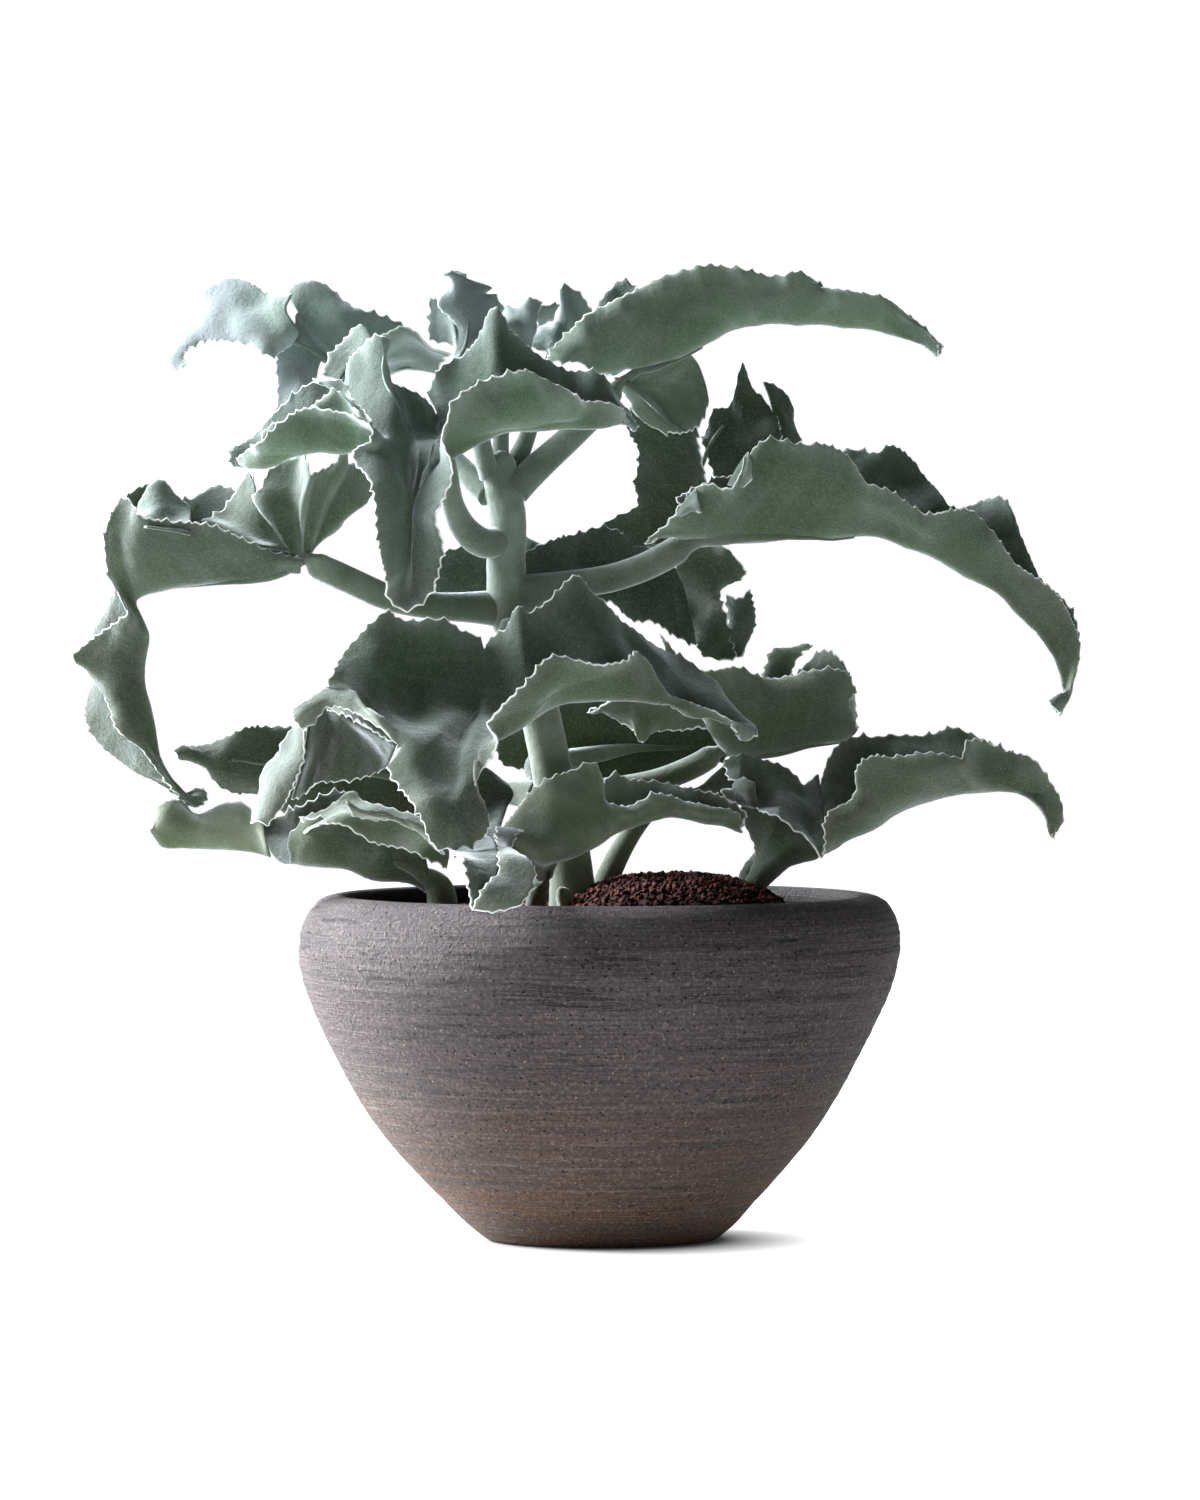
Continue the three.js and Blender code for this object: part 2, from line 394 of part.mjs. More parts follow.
        [[110, 478, -7], [113, 470, -10], [115.5, 462.5, -7], [117, 455.5, 0], [115, 465, 10],
          [112, 476, 14]],
        [[124, 474, -6], [127, 467, -8], [129, 460.5, -6], [131, 453.5, 0], [129, 462.5, 8],
          [126, 472, 12]],
        [[138, 470.5, -5], [141, 464.5, -7], [143, 458.5, -5], [145, 451, 0], [143, 460, 7],
          [140, 468.5, 10]],
        [[152, 464, -4], [153.5, 459.5, -6], [155, 454.5, -4], [156, 449, 0], [155, 455, 5],
          [153, 462.5, 7]],
        [[162, 456, -3], [163, 453, -4], [163.5, 450, -3], [164.5, 447, 0], [164, 450, 3],
          [163, 454, 4]],
        [[167.5, 448, -2], [168, 447, -2.5], [168.5, 446, -1.5], [169, 444, 0], [169.5, 445.5, 1.5],
          [169.5, 447, 1.5]],
      ] },
      { margins: "last", net: [
        [[6, 431, 0], [9, 424, 6], [13, 418.5, 8], [17, 412.5, 10]],
        [[12, 431, 0], [17, 424, 4], [21.5, 417, 6], [26, 406, 10]],
        [[19, 433, 0], [26, 425, 12], [32, 416.5, 14], [37, 404, 12]],
        [[28, 437, 0], [35, 429, 14], [40, 420, 20], [44, 405, 16]],
        [[36, 441, 2], [43, 434, 16], [47, 424, 22], [50, 410, 20]],
        [[42, 445, 4], [48, 437.5, 16], [51.5, 428, 22], [53.5, 419, 22]],
      ] },
      { margins: "last", net: [
        [[39, 416, 16], [39, 411, 4], [38, 408, 2], [39.5, 403, 3]],
        [[43.5, 417, 18], [43.5, 414, 2], [43, 410, -2], [44, 404.5, 1]],
        [[47, 416, 20], [46.5, 413, 6], [47.5, 409, 2], [47.5, 405, 4]],
      ] },
    ],
  },
  leaf_upper_left: {
    petiole: [[-56.5, 373, 4, 4.6], [-62, 377, 8, 5.4], [-72, 388, 17, 5.6], [-90, 400, 30, 5],
      [-110, 417, 38, 4.6], [-126, 431, 44, 4.4], [-137, 439, 46, 4], [-147, 446, 40, 3],
      [-158, 452, 29, 2.3], [-168, 456, 20.5, 1.9], [-180, 460, 18.5, 1.3]],
    veins: [[[-128, 433, 45, 2.2], [-117, 437, 39, 1.9], [-106, 435, 38, 1.5], [-94, 436, 34, 1]]],
    sheets: [
      { margins: "both", net: [
        [[-155, 473, 30], [-158, 465, 26], [-154, 458, 24], [-152, 453, 26], [-156, 447, 30]],
        [[-166, 473, 34], [-167, 464, 26], [-166, 456, 20], [-165, 449, 20], [-165, 443, 22]],
        [[-175, 477.5, 38], [-176, 468, 27], [-176, 460, 20], [-176, 453, 20], [-176, 448, 22]],
        [[-187, 480.5, 38], [-186.5, 471, 27], [-186, 462.5, 20], [-186, 455, 20], [-186, 450, 22]],
        [[-199, 473, 36], [-197.5, 466, 27], [-196, 460, 21], [-195.5, 454.5, 20], [-195.5, 450.5, 22]],
        [[-209, 464, 33], [-206, 459, 26], [-204, 454.5, 21], [-202.5, 451, 20], [-202.5, 448.5, 21]],
        [[-215.5, 452.5, 30], [-213, 449, 25], [-210.5, 447, 21], [-208.5, 445.5, 20], [-207, 444, 20]],
        [[-217, 444, 28], [-214.5, 441.5, 24], [-212, 441, 21], [-209.5, 441, 20], [-207, 441.5, 20]],
        [[-212.5, 437, 26], [-211, 436.5, 24], [-209.5, 436, 22], [-208, 435.5, 21], [-206.5, 435, 20]],
      ] },
      { margins: "first", net: [
        [[-163.5, 416, 30], [-156, 421, 32], [-149.5, 425, 34], [-143, 430, 38]],
        [[-162.5, 427.5, 32], [-156, 431, 34], [-149.5, 434, 36], [-142, 436, 40]],
        [[-162.5, 439, 33], [-156, 440, 34], [-149.5, 441, 36], [-141, 439, 42]],
        [[-159, 450, 34], [-154, 447.5, 35], [-148.5, 445, 37], [-140, 440, 44]],
        [[-153, 461, 40], [-150, 455, 38], [-146, 448.5, 40], [-138.5, 441, 46]],
        [[-157, 472, 48], [-151.5, 462.5, 44], [-146, 452.5, 43], [-137, 442, 48]],
        [[-151, 477, 52], [-147, 466, 47], [-142, 454, 45], [-135, 442, 50]],
        [[-141, 478, 54], [-139, 466, 48], [-136, 453, 46], [-132, 441, 52]],
        [[-132.5, 474, 55], [-132, 463, 49], [-130.5, 451, 47], [-128.5, 439, 54]],
        [[-125, 468.5, 55], [-126, 459, 50], [-126, 448, 48], [-125, 436, 55]],
        [[-116, 464, 54], [-118, 455, 50], [-120, 445, 48], [-121, 433, 55]],
        [[-107, 460.5, 52], [-111, 452, 49], [-114, 443, 47], [-117, 430, 54]],
        [[-99.5, 457.5, 50], [-104, 449, 47], [-108, 440, 46], [-113, 427, 52]],
      ] },
      { margins: "first", net: [
        [[-118, 449, 6], [-115, 444, 12], [-112, 439, 22], [-112, 432, 41]],
        [[-109, 452.5, 4], [-108, 446, 12], [-107, 440, 22], [-107, 433, 42]],
        [[-100, 457.5, 4], [-99.5, 450, 12], [-99, 442.5, 22], [-99, 435.5, 40]],
        [[-91, 455, 4], [-91.5, 448.5, 12], [-92, 441.5, 20], [-92.5, 435.5, 34]],
        [[-84, 449, 4], [-85, 444, 12], [-86, 439, 18], [-86.5, 434.5, 26]],
        [[-75, 446, 6], [-78, 442.5, 12], [-80.5, 438, 16], [-82.5, 433.5, 20]],
      ] },
    ],
  },
  leaf_right_middle: {
    petiole: [[-24, 222, 4, 7], [-10, 224, 10, 6.4], [10, 226.5, 14, 6], [28, 230, 15, 6],
      [48, 238, 15, 6], [62, 246, 14, 5.4], [74, 246, 12, 4], [96, 247, 12, 2.4], [118, 251, 12, 1.6]],
    sheets: [
      { margins: "both", net: [
        [[-8, 263.5, 8], [-7, 263, 8], [-6, 261.5, 9], [-5, 261, 10]],
        [[1, 269, 6], [1.5, 263.5, 5], [2, 261, 6], [2.5, 258, 8]],
        [[10, 272, 5], [10, 264, 3], [10.5, 259, 5], [11, 255, 7]],
        [[19, 271, 6], [17, 262, 2], [17, 256.5, 3], [17.5, 251.5, 6]],
        [[25, 270, 10], [25, 261, 8], [23, 255, 8], [20, 249, 10]],
        [[35, 267, 14], [33, 262, 12], [30, 258, 12], [27, 254, 12]],
        [[44, 264, 16], [43, 260, 14], [41, 257.5, 14], [39, 255, 14]],
        [[52, 262, 17], [51.5, 259, 15], [50.5, 258, 15], [50, 256.5, 14]],
        [[62, 260, 18], [62, 255, 16], [62, 251, 15], [62, 247, 13]],
      ] },
      { margins: "both", net: [
        [[29, 303, 14], [33, 292, 12], [38, 278, 12], [47, 262, 16], [46, 272, 24], [44, 284, 28]],
        [[44, 286, 10], [49, 275, 6], [55, 262.5, 6], [64, 242, 12], [62, 257.5, 26], [56.5, 275, 32]],
        [[55, 284.5, 8], [59, 273.5, 4], [63, 261, 4], [71, 240, 12], [69, 257.5, 28], [65, 280, 34]],
        [[67.5, 286, 6], [70, 274, 2], [73, 260, 3], [79, 241, 12], [77, 260, 30], [73, 281, 36]],
        [[78, 282.5, 6], [80, 271.5, 2], [83, 259, 3], [87, 242, 12], [86, 260, 30], [83, 279, 36]],
        [[93, 282.5, 6], [94, 272, 2], [95.5, 260, 3], [97.5, 244, 12], [97, 261, 28], [95, 280, 34]],
        [[106.5, 285.5, 6], [107, 275, 2], [107.5, 263, 3], [109, 247.5, 12], [109, 264, 26],
          [109, 295, 32]],
        [[122, 284, 8], [119, 275, 4], [120, 265, 4], [121.5, 251.5, 12], [123, 267.5, 20],
          [122, 288, 26]],
        [[127.5, 274, 10], [124, 270, 9], [125, 263.5, 10], [127.5, 255.5, 13], [127.5, 262.5, 16],
          [127, 275, 20]],
      ] },
      { margins: "both", net: [
        [[78, 276.5, 39], [84, 276, 39], [91, 277, 38]],
        [[82, 288, 32], [88, 287.5, 30], [95, 288, 32]],
        [[86, 296.5, 30], [92, 294, 27], [99.5, 294, 30]],
        [[95.5, 297, 29], [98.5, 295.5, 27], [103, 296, 29]],
        [[103, 298.5, 28], [104, 298, 27], [105.5, 297.5, 28]],
      ] },
    ],
  },
  leaf_right_lower: {
    petiole: [[72, 160, 0, 8.4], [73.5, 172, 0, 8], [74, 182, -4, 7.4], [80, 192, -10, 6.4],
      [96, 197, -20, 4.6], [118, 200, -23, 3.2], [140, 209, -18, 2.2], [165, 218, -13, 1.6]],
    sheets: [
      { margins: "both", net: [
        [[110, 192, -38], [110.5, 193, -36], [111, 193.5, -34], [113, 195, -30], [106.5, 202.5, -10],
          [99, 214, 0]],
        [[111.5, 199, -40], [114, 199, -40], [116.5, 199, -36], [120, 199, -26], [111.5, 209, -4],
          [105, 220, 6]],
        [[111, 209, -40], [117, 206, -41], [122, 203.5, -37], [128, 202.5, -22], [119, 217.5, 0],
          [112, 235, 10]],
        [[115, 217, -40], [122, 212, -42], [128, 208, -37], [135, 205.5, -20], [126.5, 222.5, 2],
          [120, 249, 12]],
        [[125.5, 223, -38], [130, 217.5, -41], [135, 212.5, -36], [141, 208.5, -18], [133, 227.5, 4],
          [127.5, 253, 14]],
        [[127.5, 235, -38], [133, 226, -41], [139, 218, -35], [146, 211.5, -16], [140, 230, 4],
          [137, 252.5, 16]],
        [[135, 241.5, -36], [140, 231, -39], [146, 221.5, -33], [153, 214, -15], [148, 232.5, 4],
          [146.5, 252.5, 16]],
        [[146.5, 242, -34], [150.5, 232.5, -37], [155, 223.5, -31], [161.5, 217, -14], [158, 235, 4],
          [156.5, 252, 16]],
        [[159, 244, -32], [162.5, 235, -35], [166, 226.5, -29], [171.5, 221, -13], [168, 237.5, 4],
          [166, 253.5, 16]],
        [[171, 243, -30], [173, 236, -33], [176, 229, -27], [180, 223.5, -12], [177.5, 239, 4],
          [174, 256.5, 15]],
        [[180, 241.5, -28], [181.5, 236, -30], [184, 230, -25], [188, 225, -11], [186, 239, 3],
          [183, 254.5, 13]],
        [[182, 249, -22], [186, 242, -24], [190, 234, -19], [195, 226, -10], [193, 237.5, -2],
          [191, 251, 8]],
        [[192, 250.5, -14], [195, 243, -16], [198, 235, -13], [202, 225.5, -8], [200.5, 235, -2],
          [199, 246.5, 2]],
        [[202, 246, -10], [203.5, 239, -12], [205.5, 231, -10], [208, 222.5, -7], [207, 231, -3],
          [206, 242.5, 0]],
        [[214, 241.5, -8], [213.5, 234, -9], [213.5, 226, -8], [214.5, 218, -6], [215, 226, -3],
          [215, 237.5, -2]],
        [[222, 232.5, -6], [220.5, 226, -7], [220, 220, -7], [219.5, 212.5, -5], [221, 220, -3],
          [222, 229, -3]],
        [[229, 221.5, -5], [226.5, 216, -6], [224, 211.5, -6], [222, 207, -4], [224.5, 212.5, -3],
          [228, 220, -3]],
        [[230.5, 212.5, -5], [228.5, 209.5, -5.5], [226.5, 206.5, -5.5], [224, 203.5, -4],
          [226.5, 207, -3], [229.5, 211, -3]],
        [[228, 204.5, -5], [227, 203.5, -5.5], [226, 202.5, -5.5], [224.5, 201.5, -4], [226, 203, -3.5],
          [227.5, 204.5, -3.5]],
      ] },
      { margins: "last", net: [
        [[61, 235, 2], [63, 227.5, 0], [68, 222.5, -2], [75, 217, -12]],
        [[64, 241, 3], [71.5, 227.5, 0], [78, 219, -6], [83, 212, -16]],
        [[74, 241.5, 3], [83, 225, 0], [89, 216, -8], [94, 207, -20]],
        [[85, 241.5, 4], [94, 222.5, 1], [98, 214, -10], [103, 202, -24]],
        [[94, 236, 8], [101.5, 220, 2], [105, 211, -12], [108, 195, -32]],
        [[102, 228.5, 11], [106.5, 217.5, 3], [109, 207.5, -16], [110, 192, -38]],
        [[110, 235, 13], [112, 220, 0], [111.5, 209, -22], [111, 196, -38]],
      ] },
      { margins: "first", net: [
        [[60, 228, -2], [60, 226.5, -8], [62, 223.5, -10], [69, 220, 0]],
        [[66, 231.5, -8], [65.5, 227, -14], [67, 221, -14], [72, 217, -9]],
        [[73, 230.5, -10], [72, 225, -16], [73, 218.5, -15], [80, 214, -6]],
        [[77, 225.5, -8], [75.5, 221.5, -13], [76.5, 217, -13], [85, 210, -12]],
      ] },
      { margins: "none", net: [
        [[67, 184, -2], [75, 182, -9], [82, 183, -4]],
        [[73, 192.5, -2], [83, 189, -16], [95, 188, -8]],
        [[72.5, 201, -2], [84, 197.5, -22], [103, 192, -24]],
        [[70, 207, 0], [81.5, 206, -20], [106.5, 194, -32]],
        [[73, 214, 2], [81.5, 212, -15], [99, 202, -26]],
      ] },
    ],
  },
  leaf_left_lower: {
    petiole: [[-80, 160, -44, 8.6], [-80, 172, -44, 8.2], [-83, 180, -44, 7.4], [-92, 187, -43, 6],
      [-108, 192, -40, 4.6], [-130, 196, -39, 3.4], [-150, 198, -36, 2.4], [-168, 198, -31.5, 1.9],
      [-186, 199, -25, 1.4]],
    sheets: [
      { margins: "both", net: [
        [[-226, 212, -16], [-226, 209, -20], [-225.5, 206, -20], [-225, 203, -18]],
        [[-218, 219, -14], [-219, 212.5, -22], [-219.5, 205, -24], [-220, 197, -18]],
        [[-208, 221.5, -14], [-208.5, 213, -24], [-209, 204.5, -26], [-209, 196.5, -18]],
        [[-201, 216, -18], [-199.5, 209.5, -28], [-198, 203, -28], [-197, 196, -18]],
        [[-188, 218.5, -16], [-187, 211, -28], [-186, 203.5, -29], [-185, 195.5, -20]],
        [[-177, 217.5, -16], [-176, 210, -28], [-175, 202, -29], [-173, 194, -22]],
        [[-170, 212.5, -18], [-169.5, 206, -28], [-168, 199, -31], [-166, 192, -26]],
      ] },
      { margins: "both", net: [
        [[-156, 204, -34], [-157, 197.5, -37], [-156, 190, -32], [-163, 191, -16], [-169, 201, -8],
          [-171, 209, -6]],
        [[-151, 209, -36], [-150, 199, -40], [-148, 188.5, -34], [-156, 195, -14], [-162, 204, -4],
          [-164, 212, 0]],
        [[-136, 210, -38], [-135, 198, -43], [-133, 184.5, -35], [-141, 197.5, -12], [-146, 208, 0],
          [-148, 217, 4]],
        [[-121, 206, -40], [-120, 195, -44], [-118, 180.5, -36], [-125, 195, -12], [-130, 210, 0],
          [-132, 224, 6]],
        [[-105, 200, -42], [-104, 189, -45], [-102, 177.5, -38], [-108.5, 192.5, -16], [-112, 206, -4],
          [-115, 217, 4]],
        [[-89, 194, -44], [-87, 184, -48], [-85, 174, -43], [-91, 184, -26], [-94, 193, -16],
          [-96, 202.5, -8]],
      ] },
      { margins: "both", net: [
        [[-151, 211, -26], [-150, 210.5, -31], [-148, 205, -42]],
        [[-136, 220, -26], [-137, 215, -33], [-136, 205, -45]],
        [[-125, 227, -24], [-128.5, 219, -32], [-128.5, 205, -47]],
        [[-117, 218.5, -28], [-118.5, 213, -36], [-115, 200, -48]],
        [[-105, 216, -34], [-105, 211, -40], [-101, 196, -50]],
        [[-93.5, 214, -38], [-93, 207, -44], [-89, 190, -52]],
        [[-83, 205, -44], [-82, 200, -48], [-81, 188, -52]],
        [[-77, 195, -47], [-77, 191, -49], [-78, 186, -50]],
      ] },
    ],
  },
  leaf_back_left: {
    petiole: [[-32, 222, 6, 6.4], [-44, 224, 14, 6], [-62, 225, 30, 5.4], [-90, 230, 44, 4.8],
      [-120, 235, 50, 4], [-150, 238, 49, 2.8], [-185, 240, 45, 1.6]],
    sheets: [
      { margins: "both", net: [
        [[-214, 244, 44], [-213, 243.5, 43.5], [-212, 242.5, 43.5], [-211, 241.5, 44]],
        [[-211, 247.5, 44], [-208, 245, 42], [-205, 241.5, 42], [-202, 237.5, 44]],
        [[-198.5, 250.5, 46], [-197.5, 244, 42], [-196, 237, 42], [-194.5, 229.5, 46]],
        [[-186, 252.5, 48], [-185.5, 244, 44], [-185, 234, 44], [-184, 223.5, 50]],
        [[-175, 256, 50], [-174, 245, 46], [-173, 234, 46], [-172, 221.5, 52]],
        [[-158.5, 257.5, 52], [-158, 246, 48], [-157.5, 234, 48], [-157, 220, 54]],
        [[-141, 256, 54], [-140, 245, 50], [-139, 232.5, 50], [-138, 220, 54]],
        [[-126, 250, 52], [-125, 241, 50], [-124, 231, 50], [-123, 220, 52]],
        [[-112, 240, 50], [-111, 235, 48], [-110, 228, 48], [-109, 220, 50]],
      ] },
    ],
  },
  leaf_back_upper: {
    petiole: [[-45, 350, 5.5, 5.2], [-45, 350, 16, 5.8], [-44, 351, 32, 5.6], [-40, 347, 45, 5.4],
      [-22, 341, 51, 5], [8, 343, 59, 4.4], [30, 353, 61, 3.8], [44, 370, 53, 3.2], [50, 390, 55, 2.4],
      [60, 408, 58, 1.6]],
    sheets: [
      { margins: "first", net: [
        [[13, 417.5, 70], [24, 422.5, 64], [35, 425, 60], [43, 424, 58], [48, 417.5, 60]],
        [[12.5, 406, 66], [24, 407.5, 60], [35, 409, 56], [44, 408, 54], [49, 402, 58]],
        [[18, 397, 64], [27, 397.5, 58], [37, 398, 54], [46, 397, 52], [51, 392.5, 56]],
        [[19, 387.5, 62], [28, 387.5, 56], [38, 387.5, 52], [48, 387, 50], [53, 382.5, 54]],
        [[17, 376, 60], [26, 376.5, 54], [38, 376.5, 50], [49, 376, 48], [55, 372.5, 52]],
        [[17, 368, 58], [25, 367.5, 52], [39, 367, 48], [51, 367, 47], [57, 366, 50]],
        [[5, 361, 60], [19, 360, 54], [33, 359, 50], [48, 359, 49], [58, 360, 52]],
        [[-3, 355, 61], [12, 353.5, 56], [29, 352.5, 53], [44, 352.5, 53], [56, 354, 55]],
        [[-6, 348.5, 62], [6.5, 347, 58], [20, 347.5, 56], [33, 349, 55], [46.5, 350, 56]],
      ] },
      { margins: "first", net: [
        [[49, 401, 59], [51, 395, 57], [54, 387.5, 55], [57, 379, 51]],
        [[52, 404, 59], [55.5, 395, 57], [57, 387.5, 55], [59, 379, 51]],
        [[55.5, 415.5, 60], [57, 402.5, 57], [59, 390, 54], [63, 377, 50]],
        [[63, 417.5, 62], [64, 402.5, 58], [65.5, 389, 54], [68, 376, 50]],
        [[70.5, 438.5, 66], [71.5, 415, 60], [72.5, 395, 56], [74, 376, 50]],
        [[75.5, 427.5, 66], [77, 412.5, 60], [78, 395, 56], [79, 377, 50]],
        [[83, 420, 64], [84, 409, 60], [85, 396, 56], [85, 379, 50]],
        [[88.5, 410, 62], [89, 404, 60], [89.5, 395, 56], [90, 381, 50]],
      ] },
      { margins: "first", net: [
        [[80.5, 429.5, 72], [84, 420, 69], [86, 408, 65], [86, 386, 46]],
        [[87, 428, 75], [90, 419, 71], [92, 406, 66], [91, 387, 47]],
        [[92, 424, 76], [95, 416, 72], [97, 406, 68], [96, 389, 51]],
        [[97, 416, 75], [99, 410, 72], [100.5, 404, 68], [100, 394, 58]],
      ] },
    ],
  },
  leaf_back_middle: {
    petiole: [[-46, 319, 8, 6.2], [-44, 319, 16, 6.6], [-36, 321, 26, 6.2], [-16, 324, 38, 5.2],
      [12, 332, 46, 4.4], [34, 338, 48, 3.6], [48, 336, 52, 3], [54, 320, 55, 2.2], [58, 304, 54, 1.6]],
    sheets: [
      { margins: "both", net: [
        [[-83, 342, 26], [-83, 337, 26], [-83, 331, 26], [-83, 322, 28]],
        [[-72, 346.5, 28], [-72, 339, 28], [-72, 331, 28], [-72, 321, 30]],
        [[-58.5, 345, 30], [-58.5, 337.5, 30], [-58.5, 330, 30], [-58.5, 322, 32]],
        [[-43.5, 343, 34], [-42, 338, 34], [-41, 332, 34], [-40, 326, 34]],
        [[-39, 343, 36], [-36, 338, 34], [-33, 331, 32], [-30, 323, 32]],
        [[-23, 351, 38], [-22.5, 344, 36], [-22, 334, 34], [-21, 318, 34]],
        [[-11, 354, 44], [-10.5, 345, 42], [-9.5, 335, 40], [-7, 318, 38]],
        [[-1, 356.5, 48], [0, 347.5, 46], [1.5, 337.5, 44], [4, 320, 42]],
        [[11.5, 352.5, 52], [13, 342.5, 50], [14, 330, 46], [15, 310.5, 42]],
        [[24, 347.5, 54], [24, 337.5, 50], [25, 324, 46], [26.5, 309.5, 42]],
        [[31.5, 344, 54], [33, 332.5, 50], [35, 320, 46], [38, 302, 42]],
        [[35, 339, 52], [40.5, 327.5, 48], [44, 314, 44], [47, 297.5, 42]],
      ] },
      { margins: "both", net: [
        [[38, 346, 60], [49, 347, 60], [60, 347.5, 58], [65, 345, 58]],
        [[37, 333, 60], [49, 334, 60], [59, 335, 58], [71.5, 333.5, 60]],
        [[40, 320, 58], [49, 321, 58], [55, 322, 56], [60, 323.5, 58]],
        [[43, 307.5, 54], [50, 308, 54], [56, 309, 54], [62, 311, 54]],
        [[47, 298, 48], [54, 297.5, 49], [60, 297.5, 50], [66, 299, 52]],
        [[51, 292.5, 47], [57, 291, 49], [62.5, 290, 49], [67, 291.5, 50]],
      ] },
      { margins: "both", net: [
        [[60, 323, 55], [65, 321, 51], [71.5, 322, 54], [75, 326, 57]],
        [[61, 314, 54], [66, 314, 51], [72, 315, 53], [76.5, 316, 56]],
        [[63, 306, 53], [67.5, 306, 50], [72.5, 306.5, 52], [76, 307.5, 55]],
        [[66, 298.5, 51], [69, 298, 49], [72.5, 298.5, 50], [74, 300, 52]],
        [[67.5, 292, 50], [68.5, 291.5, 49], [69.5, 292, 49], [70, 293, 49]],
      ] },
    ],
  },
  leaf_back_lower: {
    petiole: [[-30, 236, 6, 6.6], [-28, 238, 14, 6.2], [-20, 240, 26, 5.4], [-4, 243, 38, 4.4],
      [18, 246, 47, 3.2], [44, 247, 50, 2]],
    sheets: [
      { margins: "both", net: [
        [[-56, 250, 40], [-54, 246, 40], [-52, 242, 40], [-49, 237, 42]],
        [[-41, 259, 44], [-40, 251, 42], [-38.5, 244, 42], [-36, 234, 44]],
        [[-21, 270, 48], [-20, 257.5, 45], [-18.5, 245, 45], [-16, 230, 48]],
        [[-1, 275, 52], [0, 261, 48], [1.5, 246, 48], [4, 227.5, 50]],
        [[19, 275, 54], [20, 261, 50], [21.5, 246, 50], [24, 230, 52]],
        [[39, 270, 54], [40, 259, 51], [41, 246, 50], [43, 234, 52]],
        [[55, 264, 52], [56, 256, 50], [57, 248, 50], [58, 239, 52]],
        [[64, 256, 50], [64, 252, 49], [64, 248, 49], [64, 243, 50]],
      ] },
    ],
  },
  leaf_right_back_small: {
    petiole: [[-4, 160, 18, 6.8], [0, 173, 19, 6.4], [4, 184, 21, 6], [10, 196, 23, 5.4],
      [18, 208, 27, 4.6], [29, 219, 33, 3.6], [46, 226, 40, 2.4], [62, 232, 42, 1.4]],
    sheets: [
      { margins: "both", net: [
        [[48, 225, 40], [55, 232, 42], [62, 238, 44]],
        [[58, 220, 42], [66, 228, 42], [74, 236, 46]],
        [[71, 218.5, 44], [81, 226, 44], [88, 234, 48]],
        [[86, 220, 46], [94, 224, 46], [99, 229, 48]],
      ] },
    ],
  },
  leaf_top_left: {
    petiole: [[-56, 382, -2, 3.8], [-58.5, 390, -4, 4.6], [-61, 402, -3, 4.6], [-65, 420, 0, 4],
      [-69, 434, 3, 3.4], [-68, 446, 5, 2.6], [-67, 460, 5, 1.6]],
    sheets: [
      { margins: "both", net: [
        [[-78, 437, 10], [-75, 439, 8], [-72, 441, 6], [-68.5, 444, 8], [-65, 447, 10]],
        [[-73.5, 447.5, 10], [-69.5, 448.5, 6], [-64.5, 450, 2], [-58.5, 452, 5], [-53, 455, 8]],
        [[-73, 456, 10], [-69.5, 456, 6], [-65, 457, 2], [-57, 459, 5], [-49.5, 462, 8]],
        [[-76, 463, 10], [-71.5, 463, 6], [-67, 465, 2], [-59, 466, 5], [-51.5, 470, 8]],
        [[-81, 468.5, 10], [-75, 469, 6], [-70, 471, 2], [-64, 472, 5], [-58.5, 472.5, 9]],
        [[-76.5, 475, 8], [-74, 475, 5], [-72, 476, 2], [-65, 477, 6], [-57, 476.5, 10]],
        [[-77, 481.5, 6], [-75.5, 481, 4], [-74, 481, 2], [-70, 482, 5], [-65, 480.5, 8]],
        [[-80, 483, 4], [-79, 483.5, 3], [-77.5, 484, 2], [-75, 484, 3], [-72, 483.5, 4]],
      ] },
      { margins: "both", net: [
        [[-85, 472, 22], [-81, 470, 20], [-76.5, 468.5, 14]],
        [[-84.5, 464, 22], [-80, 463, 19], [-75, 463, 11]],
        [[-86, 457, 22], [-80, 456, 19], [-73, 456, 9]],
        [[-85, 450.5, 22], [-79.5, 449, 18], [-72, 448, 9]],
      ] },
    ],
  },
  leaf_top_middle: {
    petiole: [[-50.5, 383, 3, 2.9], [-50.5, 390, 4, 3.6], [-50.5, 402, 6, 3.8], [-48, 420, 7, 3.2],
      [-44, 440, 7, 2.4], [-41, 452, 8, 1.6]],
    sheets: [
      { margins: "both", net: [
        [[-50.5, 469.5, 19], [-49, 462.5, 16], [-47, 455, 12], [-44, 445, 7]],
        [[-46, 466, 16], [-45, 461, 12], [-43.5, 455, 9], [-42, 445, 6]],
        [[-41, 465.5, 15], [-40.5, 460, 11], [-40.5, 455, 8], [-40, 444, 6]],
        [[-36, 470.5, 14], [-36, 464, 11], [-37, 457, 8], [-38, 445, 6]],
        [[-30, 469, 15], [-32, 462.5, 12], [-34, 456, 9], [-36, 446, 7]],
      ] },
    ],
  },
  leaf_top_right: {
    petiole: [[-45.5, 382, 9, 3.8], [-42.5, 390, 12, 4.6], [-38, 400, 15, 4.2], [-32, 420, 16, 3.4],
      [-27, 438, 16, 2.4], [-25, 452, 14, 1.6]],
    sheets: [
      { margins: "both", net: [
        [[-39, 450, 20], [-37, 449, 18], [-35, 447.5, 16], [-32, 445, 15]],
        [[-32, 457.5, 22], [-30.5, 454, 19], [-29, 449.5, 16], [-28, 444, 14]],
        [[-25, 459, 23], [-25, 454, 18], [-25, 448, 15], [-26, 441, 13]],
        [[-20, 466, 24], [-20, 459, 20], [-21, 451, 17], [-23, 444, 14]],
        [[-20, 477, 26], [-16.5, 467.5, 23], [-16, 457.5, 19], [-18, 447.5, 15]],
        [[-12, 472.5, 27], [-11.5, 465, 25], [-12, 457.5, 23], [-14, 451, 22]],
